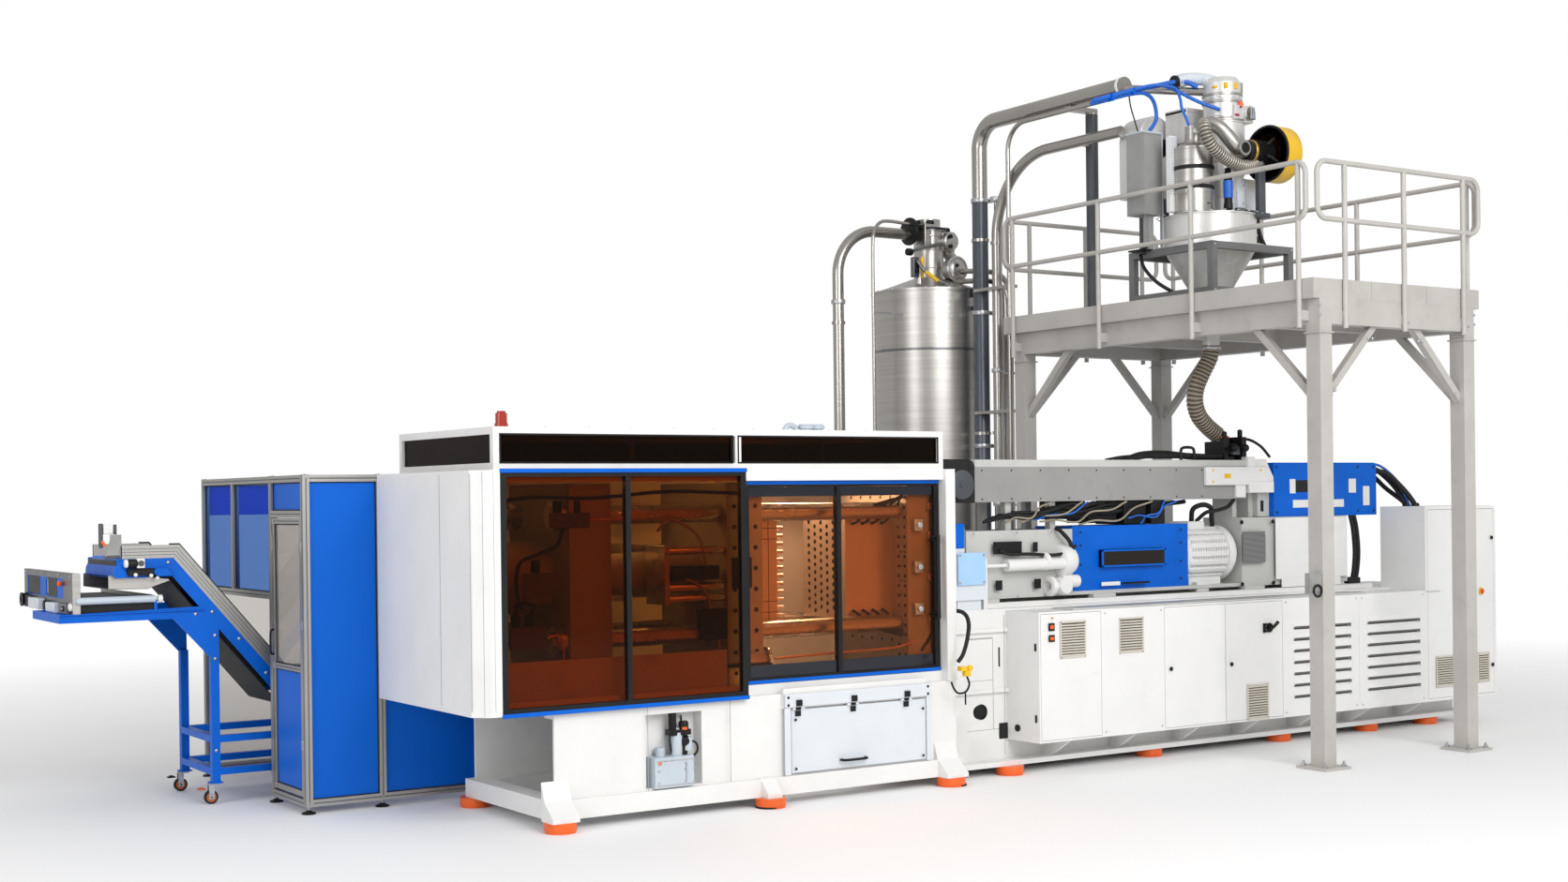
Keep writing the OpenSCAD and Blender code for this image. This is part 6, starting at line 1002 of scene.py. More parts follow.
piece("motor_bands", turned([(0.08, 0), (0.1, 0), (0.103, 0.004), (0.103, 0.026), (0.1, 0.03), (0.08, 0.03)],
    [(6.795, drum_y, drum_z)], axis="x", sides=40), "brass_band")
piece("motor_neck", turned([(0, 0), (0.085, 0), (0.095, 0.01), (0.095, 0.085), (0, 0.09)],
    [(6.745, drum_y, drum_z)], axis="x", sides=40), "black_coat")
elbow = curve_through([(6.42, 0.43, 5.18), (6.42, 0.428, 5.3), (6.438, 0.36, 5.385), (6.48, 0.27, 5.395),
    (6.53, 0.205, 5.345), (6.59, 0.16, 5.255), (6.66, 0.14, 5.185), (6.745, 0.14, 5.165)], 48)
piece("filter_elbow", tube(elbow, np.interp(np.linspace(0, 1, 48), [0, 0.2, 1], [0.085, 0.058, 0.068]), sides=28),
    "stainless", angle=60)
piece("elbow_end", turned([(0, 0), (0.066, 0), (0.07, -0.006), (0.07, -0.05), (0.066, -0.058), (0, -0.058)],
    [(6.672, 0.115, 5.175)], axis="y", sides=40), "stainless")
piece("elbow_end_ring", [turned([(0.024, 0), (0.046, 0), (0.046, -0.006), (0.024, -0.006)],
    [(6.672, 0.058, 5.175)], axis="y", sides=36), disc(0.01, -0.005, [(6.672, 0.058, 5.175)], axis="y", sides=16)],
    "black_coat")
air_route = [(6.42, 0.33, 5.385), (6.33, 0.215, 5.375), (6.262, 0.14, 5.315), (6.268, 0.115, 5.225),
    (6.34, 0.11, 5.145), (6.45, 0.11, 5.085), (6.57, 0.11, 5.045), (6.7, 0.115, 5.025), (6.83, 0.13, 5.05),
    (6.93, 0.14, 5.1)]
shape = ribbed(air_route, 0.05, 0.0058, 0.026)
free_cord("ribbed_air_hose", air_route, 0.0558, "hose_silver", count=90, shape=shape, slot="beige_hose")
# A dark tube just inside the ribs shows in the grooves: painted shade in the grooves.
piece("air_hose_groove_shade", pipe(air_route, 0.0498, sides=20, count=70), "hose_dark")
piece("blower_post", [boxes((6.9, 0.115, 4.632, 6.98, 0.165, 5.09)), boxes((6.86, 0.1, 4.6, 7.02, 0.42, 4.64))],
    "dark_grey_coat", bevel=0.004)
piece("blower_boxes", boxes((6.86, 0.33, 4.71, 6.96, 0.42, 4.97), (6.995, 0.36, 4.705, 7.235, 0.46, 4.975),
    (7.228, 0.365, 4.72, 7.24, 0.455, 4.96)), "panel_grey", bevel=0.004)
for number, (route, radius) in enumerate((([(6.9, 0.38, 4.71), (6.88, 0.36, 4.62), (6.93, 0.33, 4.5),
        (7.02, 0.3, 4.4), (7.08, 0.25, 4.345)], 0.016), ([(7.06, 0.41, 4.705), (7.03, 0.38, 4.6),
        (7.08, 0.34, 4.48), (7.12, 0.3, 4.345)], 0.02), ([(7.12, 0.41, 4.705), (7.15, 0.38, 4.6),
        (7.15, 0.34, 4.48), (7.16, 0.28, 4.345)], 0.02), ([(7.19, 0.41, 4.705), (7.2, 0.4, 4.6),
        (7.17, 0.36, 4.46), (7.14, 0.33, 4.345)], 0.012), ([(7.14, 0.14, 5.35), (7.1, 0.1, 5.3), (7.0, 0.05, 5.27),
        (6.93, 0.045, 5.22)], 0.014), ([(7.17, 0.1, 5.02), (7.08, 0.03, 5.05), (6.98, 0.02, 5.1),
        (6.92, 0.04, 5.13)], 0.014))):
    free_cord(f"blower_hose_{number + 1}", route, radius, "rubber_black", sides=10, count=30)
print("blower made")

# %% [markdown]
# The receiver's head is a stack of turned rings: a flange, a drum with a small domed sight
# window, a dark seal in a groove and a lid with clips. Turned rings are made of one profile
# each, so their edges stay crisp and their number of faces stays low.

# %% Receiver head and hopper fittings
head_x, head_y = 6.84, 0.48
piece("head_seal", turned([(0.15, 0), (0.172, 0.002), (0.174, 0.008), (0.174, 0.018), (0.172, 0.024),
    (0.15, 0.026)], [(head_x, head_y, 5.662)], sides=64), "rubber_black", slot="black_frame")
piece("head_rings", [turned([(0.166, 0), (0.176, 0.003), (0.178, 0.012), (0.176, 0.021), (0.166, 0.024)],
    [(head_x, head_y, z) for z in (5.695, 5.63, 5.49)], sides=64),
    turned([(0.185, 0), (0.205, 0.002), (0.207, 0.01), (0.205, 0.018), (0.185, 0.02)], [(head_x, head_y, 5.462)],
    sides=64)], "stainless")
angle = np.radians([200, 235, 268, 300, 330])
lid_x, lid_y = head_x + 0.166 * np.cos(angle), head_y + 0.166 * np.sin(angle)
piece("head_clips", [boxes(*[(x - 0.018, y - 0.01, 5.745, x + 0.018, y + 0.012, 5.8)
    for x, y in zip(lid_x[1:3], lid_y[1:3])]), turned([(0, 0), (0.022, 0), (0.026, 0.008), (0.022, 0.022),
    (0, 0.024)], [(lid_x[0] + 0.01, lid_y[0], 5.755)], sides=20)], "yellow_coat", bevel=0.003)
piece("head_clips_grey", boxes(*[(x - 0.016, y - 0.01, 5.725, x + 0.016, y + 0.012, 5.812)
    for x, y in zip(lid_x[3:], lid_y[3:])]), "mid_grey_coat", bevel=0.003)
piece("head_housing", [boxes((6.79, 0.285, 5.455, 7.02, 0.46, 5.6)),
    turned([(0, 0), (0.058, 0), (0.062, -0.004), (0.062, -0.02), (0, -0.022)], [(6.965, 0.285, 5.545)], axis="y")],
    "satin_steel", bevel=0.012)
# The sight window is a dark dome: painted shade of the receiver's inside.
piece("sight_window", [turned([(0, 0), (0.048, 0), (0.044, -0.012), (0.025, -0.02), (0, -0.023)],
    [(6.965, 0.262, 5.545)], axis="y"), boxes((6.918, 0.25, 5.48, 7.012, 0.264, 5.545))], "vent_dark", bevel=0.004)
piece("window_bars", boxes(*[(x - 0.002, 0.234, 5.484, x + 0.002, 0.249, 5.586) for x in (6.945, 6.965, 6.985)]),
    "light_grey_coat")
piece("head_buttons", turned([(0, 0), (0.012, 0), (0.01, -0.012), (0, -0.014)],
    [(6.8, 0.284, 5.51), (6.825, 0.284, 5.51), (6.86, 0.284, 5.585)], axis="y", sides=16), "red_lens")
piece("head_plugs", turned([(0, 0), (0.017, 0), (0.019, 0.01), (0.012, 0.04), (0, 0.044)],
    [(6.875, 0.305, 5.6), (6.905, 0.315, 5.6)], sides=16), "orange_coat")
piece("receiver_skirt_seam", [turned([(0.188, 0), (0.193, 0.002), (0.193, 0.01), (0.188, 0.012)],
    [(head_x, head_y, z) for z in (4.66, 5.1)], sides=64), turned([(0, 0), (0.007, 0), (0.006, -0.006),
    (0, -0.007)], [(head_x + 0.05, head_y - 0.187, z) for z in (4.74, 4.9)], axis="y", sides=10)], "stainless")
screws = np.radians(np.arange(0, 360, 15))
hopper_x, hopper_y = 6.69, 0.5
piece("hopper_lid_screws", head(0.011, 0.005, 0.007, 0.008, [(hopper_x + 0.455 * np.cos(a),
    hopper_y + 0.455 * np.sin(a), 4.632) for a in screws], sides=8), "zinc")

# %% [markdown]
# The dust filter is a stainless canister held by two black bands, with screw clamps on them.
# The thinner neck above it is where the elbow sits.

# %% Dust filter and control box
filter_x, filter_y = 6.42, 0.43
piece("filter_bands", [turned([(0.165, 0), (0.177, 0.001), (0.179, 0.006), (0.179, 0.03), (0.177, 0.035),
    (0.165, 0.036)], [(filter_x, filter_y, z) for z in (5.005, 4.835)], sides=64),
    boxes(*[(6.33, 0.24, z, 6.372, 0.262, z + 0.028) for z in (5.01, 4.84)])], "rubber_black", slot="black_frame")
piece("filter_beads", turned([(0.17, 0), (0.176, 0.003), (0.176, 0.009), (0.17, 0.012)],
    [(filter_x, filter_y, z) for z in (5.175, 4.64, 5.045)], sides=64), "stainless")
piece("filter_latch", [boxes((6.405, 0.25, 4.7, 6.44, 0.262, 4.712)),
    turned([(0.06, 0), (0.095, 0), (0.098, 0.006), (0.098, 0.02), (0.06, 0.026)], [(filter_x, filter_y, 5.185)],
    sides=40)], "dark_grey_coat")
piece("box_edges", boxes((6.32, 0.705, 4.345, 6.331, 0.722, 5.37), (6.092, 0.705, 5.362, 6.33, 0.925, 5.378)),
    "light_grey_coat", bevel=0.002)
piece("box_door_line", boxes((6.106, 0.7075, 4.36, 6.11, 0.7105, 5.355), (6.3, 0.7075, 4.36, 6.304, 0.7105, 5.355),
    (6.106, 0.7075, 5.351, 6.304, 0.7105, 5.355), (6.106, 0.7075, 4.36, 6.304, 0.7105, 4.364)), "mid_grey_coat")
piece("box_foot", [boxes((6.085, 0.72, 4.33, 6.31, 0.9, 4.345), (6.09, 0.7, 4.345, 6.125, 0.722, 4.385)),
    turned([(0, 0), (0.018, 0), (0.018, 0.03), (0.011, 0.035), (0.011, 0.05), (0, 0.05)],
    [(6.13, 0.75, 4.295), (6.27, 0.75, 4.295)], sides=14)], "black_coat", bevel=0.002)
piece("loom_trunk", boxes((6.215, 0.5, 4.645, 6.3, 0.56, 5.31)), "white_coat", bevel=0.01)
piece("loom_ribs", boxes(*[(6.212, 0.497, z, 6.303, 0.505, z + 0.007) for z in np.arange(4.8, 5.29, 0.018)]),
    "light_grey_coat")
piece("orange_strip", boxes((6.308, 0.515, 4.8, 6.335, 0.545, 5.12)), "orange_coat", bevel=0.003)
piece("domed_box", [turned([(0, 0), (0.19, 0), (0.2, 0.008), (0.2, 0.262), (0.19, 0.27), (0, 0.27)],
    [(6.55, 1.0, 5.4)], axis="y", sides=48), boxes((6.35, 1.0, 4.86, 6.75, 1.27, 5.4))], "satin_steel", bevel=0.004)
piece("second_box", boxes((6.62, 0.7, 5.32, 6.99, 0.96, 5.62), (6.62, 0.695, 5.59, 6.99, 0.965, 5.63)),
    "satin_steel", bevel=0.006)
piece("box_supports", boxes((6.4, 1.02, 4.34, 6.46, 1.08, 4.88), (6.66, 1.02, 4.34, 6.72, 1.08, 4.88),
    (6.66, 0.8, 4.62, 6.72, 0.86, 5.34), (6.88, 0.8, 4.62, 6.94, 0.86, 5.34)), "dark_grey_coat", bevel=0.003)
piece("small_cylinder", turned([(0, 0), (0.03, 0), (0.04, 0.01), (0.04, 0.05), (0.036, 0.06), (0.036, 0.3),
    (0.028, 0.32), (0.028, 0.36), (0, 0.37)], [(6.64, 0.235, 4.66)], sides=28), "black_coat")
piece("small_cylinder_sleeve", turned([(0.036, 0), (0.041, 0.003), (0.041, 0.15), (0.036, 0.153)],
    [(6.64, 0.235, 4.76)], sides=28), "cable_blue")

# %% [markdown]
# Blue air lines run in a bundle along the return pipe and branch to the loader. Each line is
# a tube along a smooth curve with clips where it is tied. They end in the box and in the head.

# %% Air lines
air_lines = [([(5.6, 0.8, 5.6), (5.8, 0.8, 5.66), (6.05, 0.78, 5.735), (6.3, 0.75, 5.795), (6.5, 0.73, 5.845),
    (6.6, 0.68, 5.85), (6.68, 0.62, 5.8)], 0.022), ([(5.6, 0.83, 5.578), (5.8, 0.82, 5.635), (6.05, 0.8, 5.705),
    (6.2, 0.78, 5.72), (6.3, 0.78, 5.66), (6.34, 0.79, 5.52), (6.28, 0.8, 5.42), (6.24, 0.81, 5.378)], 0.017),
    ([(6.05, 0.76, 5.742), (6.28, 0.7, 5.79), (6.38, 0.6, 5.74), (6.47, 0.5, 5.66), (6.56, 0.42, 5.6),
    (6.68, 0.36, 5.555)], 0.016), ([(6.28, 0.7, 5.79), (6.36, 0.58, 5.75), (6.36, 0.52, 5.65), (6.36, 0.5, 5.56),
    (6.4, 0.48, 5.46), (6.41, 0.46, 5.36)], 0.013)]
piece("air_lines", [pipe(route, r, sides=10) for route, r in air_lines], "cable_blue")
piece("line_clips", boxes(*[(x - 0.012, 0.755, z - 0.035, x + 0.012, 0.845, z + 0.03)
    for x, z in ((5.8, 5.65), (6.05, 5.725))]), "blue_coat", bevel=0.004)
shape = ribbed([(6.56, 0.74, 5.86), (6.64, 0.7, 5.88), (6.74, 0.62, 5.875), (6.8, 0.54, 5.84)], 0.055, 0.005, 0.02)
piece("white_sleeve", shape, "panel_grey", slot="white_paint", angle=80)
piece("sleeve_plug", turned([(0, 0), (0.045, 0), (0.055, 0.01), (0.055, 0.06), (0.048, 0.07), (0, 0.075)],
    [(6.5, 0.745, 5.855)], axis="x", sides=28), "black_coat")
free_cord("sensor_wire", [(6.02, 0.8, 5.7), (6.06, 0.82, 5.6), (6.12, 0.84, 5.5), (6.16, 0.84, 5.4),
    (6.17, 0.83, 5.375)], 0.006, "rubber_black", sides=8)
free_cord("box_cable", [(6.14, 0.8, 4.3), (6.1, 0.72, 4.18), (6.12, 0.6, 4.05), (6.2, 0.5, 3.96),
    (6.34, 0.46, 3.9)], 0.016, "rubber_black", sides=10)
print("loader fittings made:", len(made), "pieces so far")

# %% [markdown]
# The platform is bolted: each post stands on a plate with four anchor bolts, and each beam is
# fixed to its post with an end plate. Stanchions of the rail pass through clamps with bolts.

# %% Platform bolts and small brackets
post_x, post_y = (6.19, 7.98), (-1.13, 2.41)
anchors = [(x + i * 0.11, y + j * 0.11, 0.02) for x in post_x for y in post_y for i in (-1, 1) for j in (-1, 1)]
piece("anchor_nuts", [turned([(0, 0.003), (0.019, 0.003), (0.019, 0.018), (0.016, 0.021), (0, 0.021)], anchors,
    sides=6), disc(0.026, 0.003, anchors, sides=16), turned([(0, 0.02), (0.01, 0.02), (0.01, 0.042), (0, 0.044)],
    anchors, sides=12)], "zinc")
piece("post_caps", boxes(*[(x - 0.085, y - 0.085, 3.462, x + 0.085, y + 0.085, 3.474) for x in post_x
    for y in post_y]), "platform_grey", bevel=0.003)
piece("rail_clamp_bolts", head(0.011, -0.006, 0.007, -0.009, [(x, -1.232, 3.575) for x in (6.41, 7.15, 7.93)]
    + [(x, -1.201, z) for x in (6.12, 8.05) for z in (3.68, 3.6)], axis="y", sides=10), "zinc")
piece("brace_bolts", head(0.013, -0.007, 0.008, -0.011, [(6.27 + d, -1.163, 2.95 + d) for d in (0.02, 0.06)]
    + [(7.9 - d, -1.163, 2.95 + d) for d in (0.02, 0.06)] + [(6.74 + d, -1.163, 3.44) for d in (0.0, 0.05)]
    + [(7.42 - d, -1.163, 3.44) for d in (0.0, 0.05)], axis="y", sides=8), "zinc")
piece("post_bracket", boxes((5.99, -1.19, 1.4, 6.13, -1.13, 1.56), (6.005, -1.196, 1.415, 6.115, -1.188, 1.545)),
    "mid_grey_coat", bevel=0.006)
loop = np.linspace(0, 2 * np.pi, 25)
piece("post_ring", tube(np.stack([6.055 + 0.045 * np.cos(loop), -1.205 + 0 * loop, 1.42 + 0.045 * np.sin(loop)],
    1), 0.009, sides=10), "black_coat")
piece("toe_joints", boxes(*[(x, -1.2012, 3.745, x + 0.003, -1.1995, 3.893) for x in (6.74, 7.43)]), "mid_grey_coat")
piece("stand_bolts", head(0.012, -0.006, 0.008, -0.01, [(x, -0.001, z) for x in (6.22, 7.16)
    for z in (3.925, 4.31, 3.8)], axis="y", sides=8), "zinc")
print("platform fittings made")

# %% [markdown]
# The drying tower is rolled stainless sheet. Its lid cone carries a neck with a flange, a
# black valve disc, two pull arms and a manhole; its rim is held by screws, and a bead runs
# round where two shells meet. Everything that is round here is a turned profile.

# %% Tower lid, rim and neck
tower_x, tower_y = 6.18, 3.86
around = np.radians(np.arange(0, 360, 12))
piece("rim_screws", head(0.011, 0.005, 0.007, 0.008, [(tower_x + 0.572 * np.cos(a), tower_y + 0.572 * np.sin(a),
    4.264) for a in around], sides=8), "zinc")
rivets = [(a, 4.13) for a in np.radians([232, 254, 276, 298])] + [(np.radians(254), z) for z in (4.06, 3.98)]
piece("shell_screws", [tube([(tower_x + r * np.cos(a), tower_y + r * np.sin(a), z) for r in (0.57, 0.584)], 0.01,
    sides=8) for a, z in rivets], "zinc")
piece("rim_lugs", [boxes((6.215, 3.265, 4.17, 6.295, 3.292, 4.255), (6.23, 3.255, 4.04, 6.28, 3.292, 4.08)),
    disc(0.014, -0.01, [(6.255, 3.265, 4.21), (6.255, 3.255, 4.06)], axis="y", sides=12, top=-0.012)],
    "dark_grey_coat", bevel=0.004)
# The bead takes the darker steel, which paints the shade along it.
piece("shell_bead", turned([(0.574, 0), (0.581, 0.002), (0.583, 0.014), (0.581, 0.026), (0.574, 0.028)],
    [(tower_x, tower_y, 3.646)], sides=96), "stainless_dark")
piece("neck_bands", turned([(0.148, 0), (0.156, 0.002), (0.158, 0.01), (0.156, 0.018), (0.148, 0.02)],
    [(tower_x, tower_y, z) for z in (4.5, 4.68, 4.82)], sides=56), "stainless")
piece("neck_flange", turned([(0.13, 0), (0.186, 0), (0.19, 0.004), (0.19, 0.02), (0.186, 0.024), (0.13, 0.024)],
    [(tower_x, tower_y, 4.886)], sides=56), "black_coat")
piece("neck_bolts", head(0.013, 0.01, 0.01, 0.014, [(tower_x + 0.168 * np.cos(a), tower_y + 0.168 * np.sin(a),
    4.91) for a in np.radians(np.arange(0, 360, 45))], sides=6), "zinc")
piece("inlet_valve", [turned([(0.05, 0), (0.135, 0), (0.14, 0.004), (0.14, 0.026), (0.135, 0.03), (0.05, 0.03)],
    [(5.915, tower_y - 0.01, 4.87)], axis="x", sides=48), boxes((5.93, 3.79, 4.78, 6.03, 3.92, 4.94),
    (5.955, 3.76, 4.94, 6.005, 3.84, 4.975))], "black_coat", bevel=0.004)
piece("lid_housings", [boxes((6.03, 3.725, 4.7, 6.15, 3.845, 4.945), (6.25, 3.72, 4.68, 6.41, 3.86, 4.88)),
    turned([(0, 0), (0.085, 0), (0.095, -0.01), (0.095, -0.06), (0.08, -0.075), (0, -0.08)], [(6.33, 3.74, 4.78)],
    axis="y", sides=36)], "stainless", bevel=0.012)
piece("lid_caps", [turned([(0, 0), (0.04, 0), (0.044, 0.006), (0.044, 0.03), (0.034, 0.045), (0, 0.05)],
    [(6.13, 3.77, 4.942), (6.35, 3.79, 4.88)], sides=28), disc(0.022, -0.02,
    [(6.29, 3.65, 4.82), (6.29, 3.65, 4.72)], axis="y", sides=16, top=-0.022)], "black_coat")
piece("manhole_ring", turned([(0.1, 0.012), (0.112, 0), (0.124, 0), (0.132, 0.012), (0.124, 0.024),
    (0.112, 0.024)], [(6.29, 3.525, 4.48)], axis="y", sides=48), "zinc")
piece("manhole_lid", turned([(0, -0.03), (0.06, -0.026), (0.1, -0.01), (0.112, 0.012), (0.112, 0.12), (0, 0.12)],
    [(6.29, 3.532, 4.48)], axis="y", sides=48), "stainless")
piece("manhole_knobs", turned([(0, 0), (0.016, 0), (0.018, -0.006), (0.018, -0.022), (0, -0.026)],
    [(6.25, 3.505, 4.51), (6.33, 3.505, 4.44)], axis="y", sides=16), "black_coat")
piece("lid_arms", [tube([(5.75, 3.605, 4.63), (5.93, 3.64, 4.68), (6.1, 3.66, 4.725), (6.19, 3.66, 4.74)], 0.016),
    pipe([(5.82, 3.58, 4.54), (5.87, 3.52, 4.43), (5.97, 3.46, 4.35), (6.09, 3.42, 4.305)], 0.018, sides=10),
    boxes((5.785, 3.595, 4.38, 5.855, 3.65, 4.58))], "stainless_dark", slot="dark_grey_paint", bevel=0.004)
piece("arm_grips", [turned([(0, 0), (0.03, 0), (0.036, 0.006), (0.036, 0.06), (0.03, 0.068), (0, 0.07)],
    [(5.705, 3.605, 4.625)], axis="x", sides=24), boxes((5.795, 3.585, 4.42, 5.845, 3.598, 4.52))], "black_coat",
    bevel=0.006)
piece("lid_spring_stay", pipe([(5.86, 3.5, 4.425), (5.9, 3.46, 4.38), (5.96, 3.44, 4.335)], 0.0205, sides=10),
    "yellow_coat")
piece("lever_grip", turned([(0, 0), (0.016, 0), (0.0185, 0.02), (0.02, 0.06), (0.02, 0.1), (0.016, 0.125),
    (0, 0.13)], [(5.88, 3.582, 4.455)], sides=24), "yellow_coat", body="tower_valve_lever")

# %% [markdown]
# Pipes are joined by couplings: two bolted half shells over the joint. The main riser is
# painted below its upper coupling, and a few thin lines are clipped beside it.

# %% Pipe sleeves, couplings and thin lines
riser, return_pipe = (6.27, 3.15), (6.27, 2.9)


def coupling(x, y, z, radius):
    """The outline of two half shells, turned round a pipe of this radius."""
    return turned([(radius, 0), (radius + 0.012, 0.002), (radius + 0.014, 0.01), (radius + 0.014, 0.034),
        (radius + 0.012, 0.042), (radius, 0.044)], [(x, y, z)], sides=40)


piece("riser_sleeve", turned([(0.0745, 0.1), (0.078, 0.1), (0.078, 5.09), (0.0745, 5.1)], [(*riser, 0)], sides=48),
    "riser_grey")
piece("riser_couplings", [coupling(*riser, z, 0.0755) for z in (5.085, 3.98, 2.67, 1.3)]
    + [coupling(*return_pipe, z, 0.05) for z in (5.07, 3.4, 2.1)]
    + [boxes(*[(6.345, 3.085, z + 0.004, 6.385, 3.125, z + 0.04) for z in (5.085, 3.98, 2.67)])], "zinc")
piece("side_couplings", [coupling(5.05, tower_y, z, 0.056) for z in (4.1, 2.4)], "zinc")
thin = [([(6.375, 3.03, 0), (6.375, 3.03, 5.09)], 0.02), ([(6.41, 2.955, 0), (6.41, 2.955, 4.05)], 0.026),
    ([(6.47, 2.94, 0), (6.47, 2.94, 4.05)], 0.026), ([(5.3, 3.62, 0), (5.3, 3.62, 3.8)], 0.017)]
bends = [([(6.41, 2.955, 4.05), (6.41, 2.97, 4.18), (6.41, 3.04, 4.28), (6.38, 3.2, 4.335), (6.33, 3.38, 4.345),
    (6.27, 3.55, 4.35)], 0.026), ([(6.47, 2.94, 4.05), (6.47, 2.96, 4.22), (6.46, 3.05, 4.36), (6.42, 3.22, 4.43),
    (6.36, 3.42, 4.45), (6.28, 3.62, 4.46)], 0.026), ([(5.3, 3.62, 3.8), (5.3, 3.62, 4.62), (5.33, 3.63, 4.8),
    (5.42, 3.66, 4.9), (5.58, 3.7, 4.93), (5.92, 3.79, 4.93)], 0.017)]
piece("thin_lines", [tube(route, r, sides=14) for route, r in thin]
    + [pipe(route, r, sides=14, count=32) for route, r in bends], "pipe_steel")
piece("line_brackets", boxes(*[(6.35, 2.91, z, 6.5, 2.99, z + 0.022) for z in (3.39, 2.1, 1.0)],
    *[(5.29, 3.615, z, 5.655, 3.63, z + 0.018) for z in (4.0, 2.6)]), "zinc")
piece("riser_cable", pipe([(6.43, 3.05, 0.02), (6.43, 3.05, 2.0), (6.435, 3.045, 4.0), (6.43, 3.05, 5.09)], 0.011,
    sides=8, count=30), "cable_blue")
piece("pipe_end_ring", turned([(0.055, 0), (0.08, 0), (0.083, -0.006), (0.083, -0.03), (0.078, -0.036),
    (0.055, -0.036)], [(6.27, 1.16, 5.86)], axis="y", sides=40), "white_coat")
piece("column_sleeve", turned([(0.0555, 0), (0.0575, 0), (0.0575, 1.98), (0.0555, 1.98)], [(6.505, 1.795, 3.76)],
    sides=40), "dark_grey_coat")
print("tower and pipe fittings made")

# %% [markdown]
# The take-out cell is built of slotted aluminium profile. A slot is a groove along the
# middle of each face, and the shade in it is painted as thin dark bars. Its walls are blue sheet below and
# clear or blue tinted sheet above, and the solid walls are replaced by these sheets.

# %% Cell sheets and windows
sheets = [[(-1.07, 1.762, 0.1), (-0.57, 1.768, 2.36)], [(-0.52, 1.762, 0.1), (1.43, 1.768, 0.78)],
    [(-0.52, 4.112, 0.1), (1.43, 4.118, 0.86)], [(-1.07, 4.112, 2.12), (-0.57, 4.118, 2.36)],
    [(-0.52, 4.112, 2.12), (1.43, 4.118, 2.36)], [(1.452, 1.79, 0.1), (1.458, 2.43, 2.36)],
    [(1.452, 2.48, 0.1), (1.458, 4.09, 0.9)], [(1.452, 2.48, 2.05), (1.458, 4.09, 2.36)],
    [(-1.098, 1.79, 2.155), (-1.092, 2.43, 2.36)]]
cell_sheets = piece("cell_sheets", boxes(*sheets), "blue_sheet", bevel=0.001)
tinted = [[(-1.098, 2.48, 1.55), (-1.092, 3.33, 2.36)], [(-1.098, 3.38, 1.55), (-1.092, 4.09, 2.36)]]
tinted_windows = piece("tinted_windows", boxes(*tinted), "blue_window")
clear = [[(-1.07, 4.112, 0.1), (-0.57, 4.118, 2.12)], [(-0.52, 4.112, 0.86), (1.43, 4.118, 2.12)],
    [(1.452, 2.48, 0.9), (1.458, 4.09, 2.05)]]
clear_windows = piece("clear_windows", boxes(*clear), "clear_sheet")
for sheet in (cell_sheets, tinted_windows, clear_windows):
    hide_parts("cell_panels")
gasket_lines = []
for x0, z0, x1, z1 in ((-1.07, 0.1, -0.57, 2.36), (-0.52, 0.1, 1.43, 0.78)):
    gasket_lines += [[(x0, 1.7575, z0), (x0 + 0.007, 1.7625, z1)], [(x1 - 0.007, 1.7575, z0), (x1, 1.7625, z1)],
        [(x0, 1.7575, z0), (x1, 1.7625, z0 + 0.007)], [(x0, 1.7575, z1 - 0.007), (x1, 1.7625, z1)]]
for y0, z0, y1, z1 in ((1.79, 2.155, 2.43, 2.36), (2.48, 1.55, 3.33, 2.36), (3.38, 1.55, 4.09, 2.36)):
    gasket_lines += [[(-1.1025, y0, z0), (-1.0975, y0 + 0.009, z1)],
        [(-1.1025, y1 - 0.009, z0), (-1.0975, y1, z1)], [(-1.1025, y0, z0), (-1.0975, y1, z0 + 0.009)],
        [(-1.1025, y0, z1 - 0.009), (-1.0975, y1, z1)]]
piece("sheet_gaskets", boxes(*gasket_lines), "rubber_black")
print("cell has", len(sheets), "blue sheets and", len(tinted) + len(clear), "windows")

# %% Profile slots, corner cubes and feet
slot_bars, w, d = [], 0.0045, 0.0006
upright = [(-1.095, 1.765, 0.05, 2.41), (-0.545, 1.765, 0.05, 2.41), (1.455, 1.765, 0.05, 2.41),
    (-1.095, 2.455, 0.05, 2.41), (-1.095, 4.115, 0.05, 2.41), (-1.095, 3.355, 1.55, 2.36),
    (1.455, 2.455, 0.05, 2.41), (1.455, 4.115, 0.05, 2.41), (-0.545, 4.115, 0.05, 2.41)]
for x, y, z0, z1 in upright:
    for sx, sy in ((-1, 0), (1, 0), (0, -1), (0, 1)):
        cx, cy = x + sx * 0.025, y + sy * 0.025
        slot_bars.append([(cx - (d if sx else w), cy - (w if sx else d), z0 + 0.01),
            (cx + (d if sx else w), cy + (w if sx else d), z1 - 0.03)])
for y in (1.765, 4.115):
    for z in (0.075, 2.385):
        slot_bars += [[(-1.07, y + s * 0.025 - d, z - w), (1.43, y + s * 0.025 + d, z + w)] for s in (-1, 1)]
for z, y0, y1 in ((2.385, 1.79, 4.09), (0.075, 1.79, 2.43), (2.13, 1.79, 2.43), (1.525, 2.48, 4.09)):
    slot_bars += [[(-1.095 + s * 0.025 - d, y0, z - w), (-1.095 + s * 0.025 + d, y1, z + w)] for s in (-1, 1)]
piece("profile_slots", boxes(*slot_bars), "slot_grey")
corners = [(x, y) for x, y, z0, z1 in upright if z0 < 1]
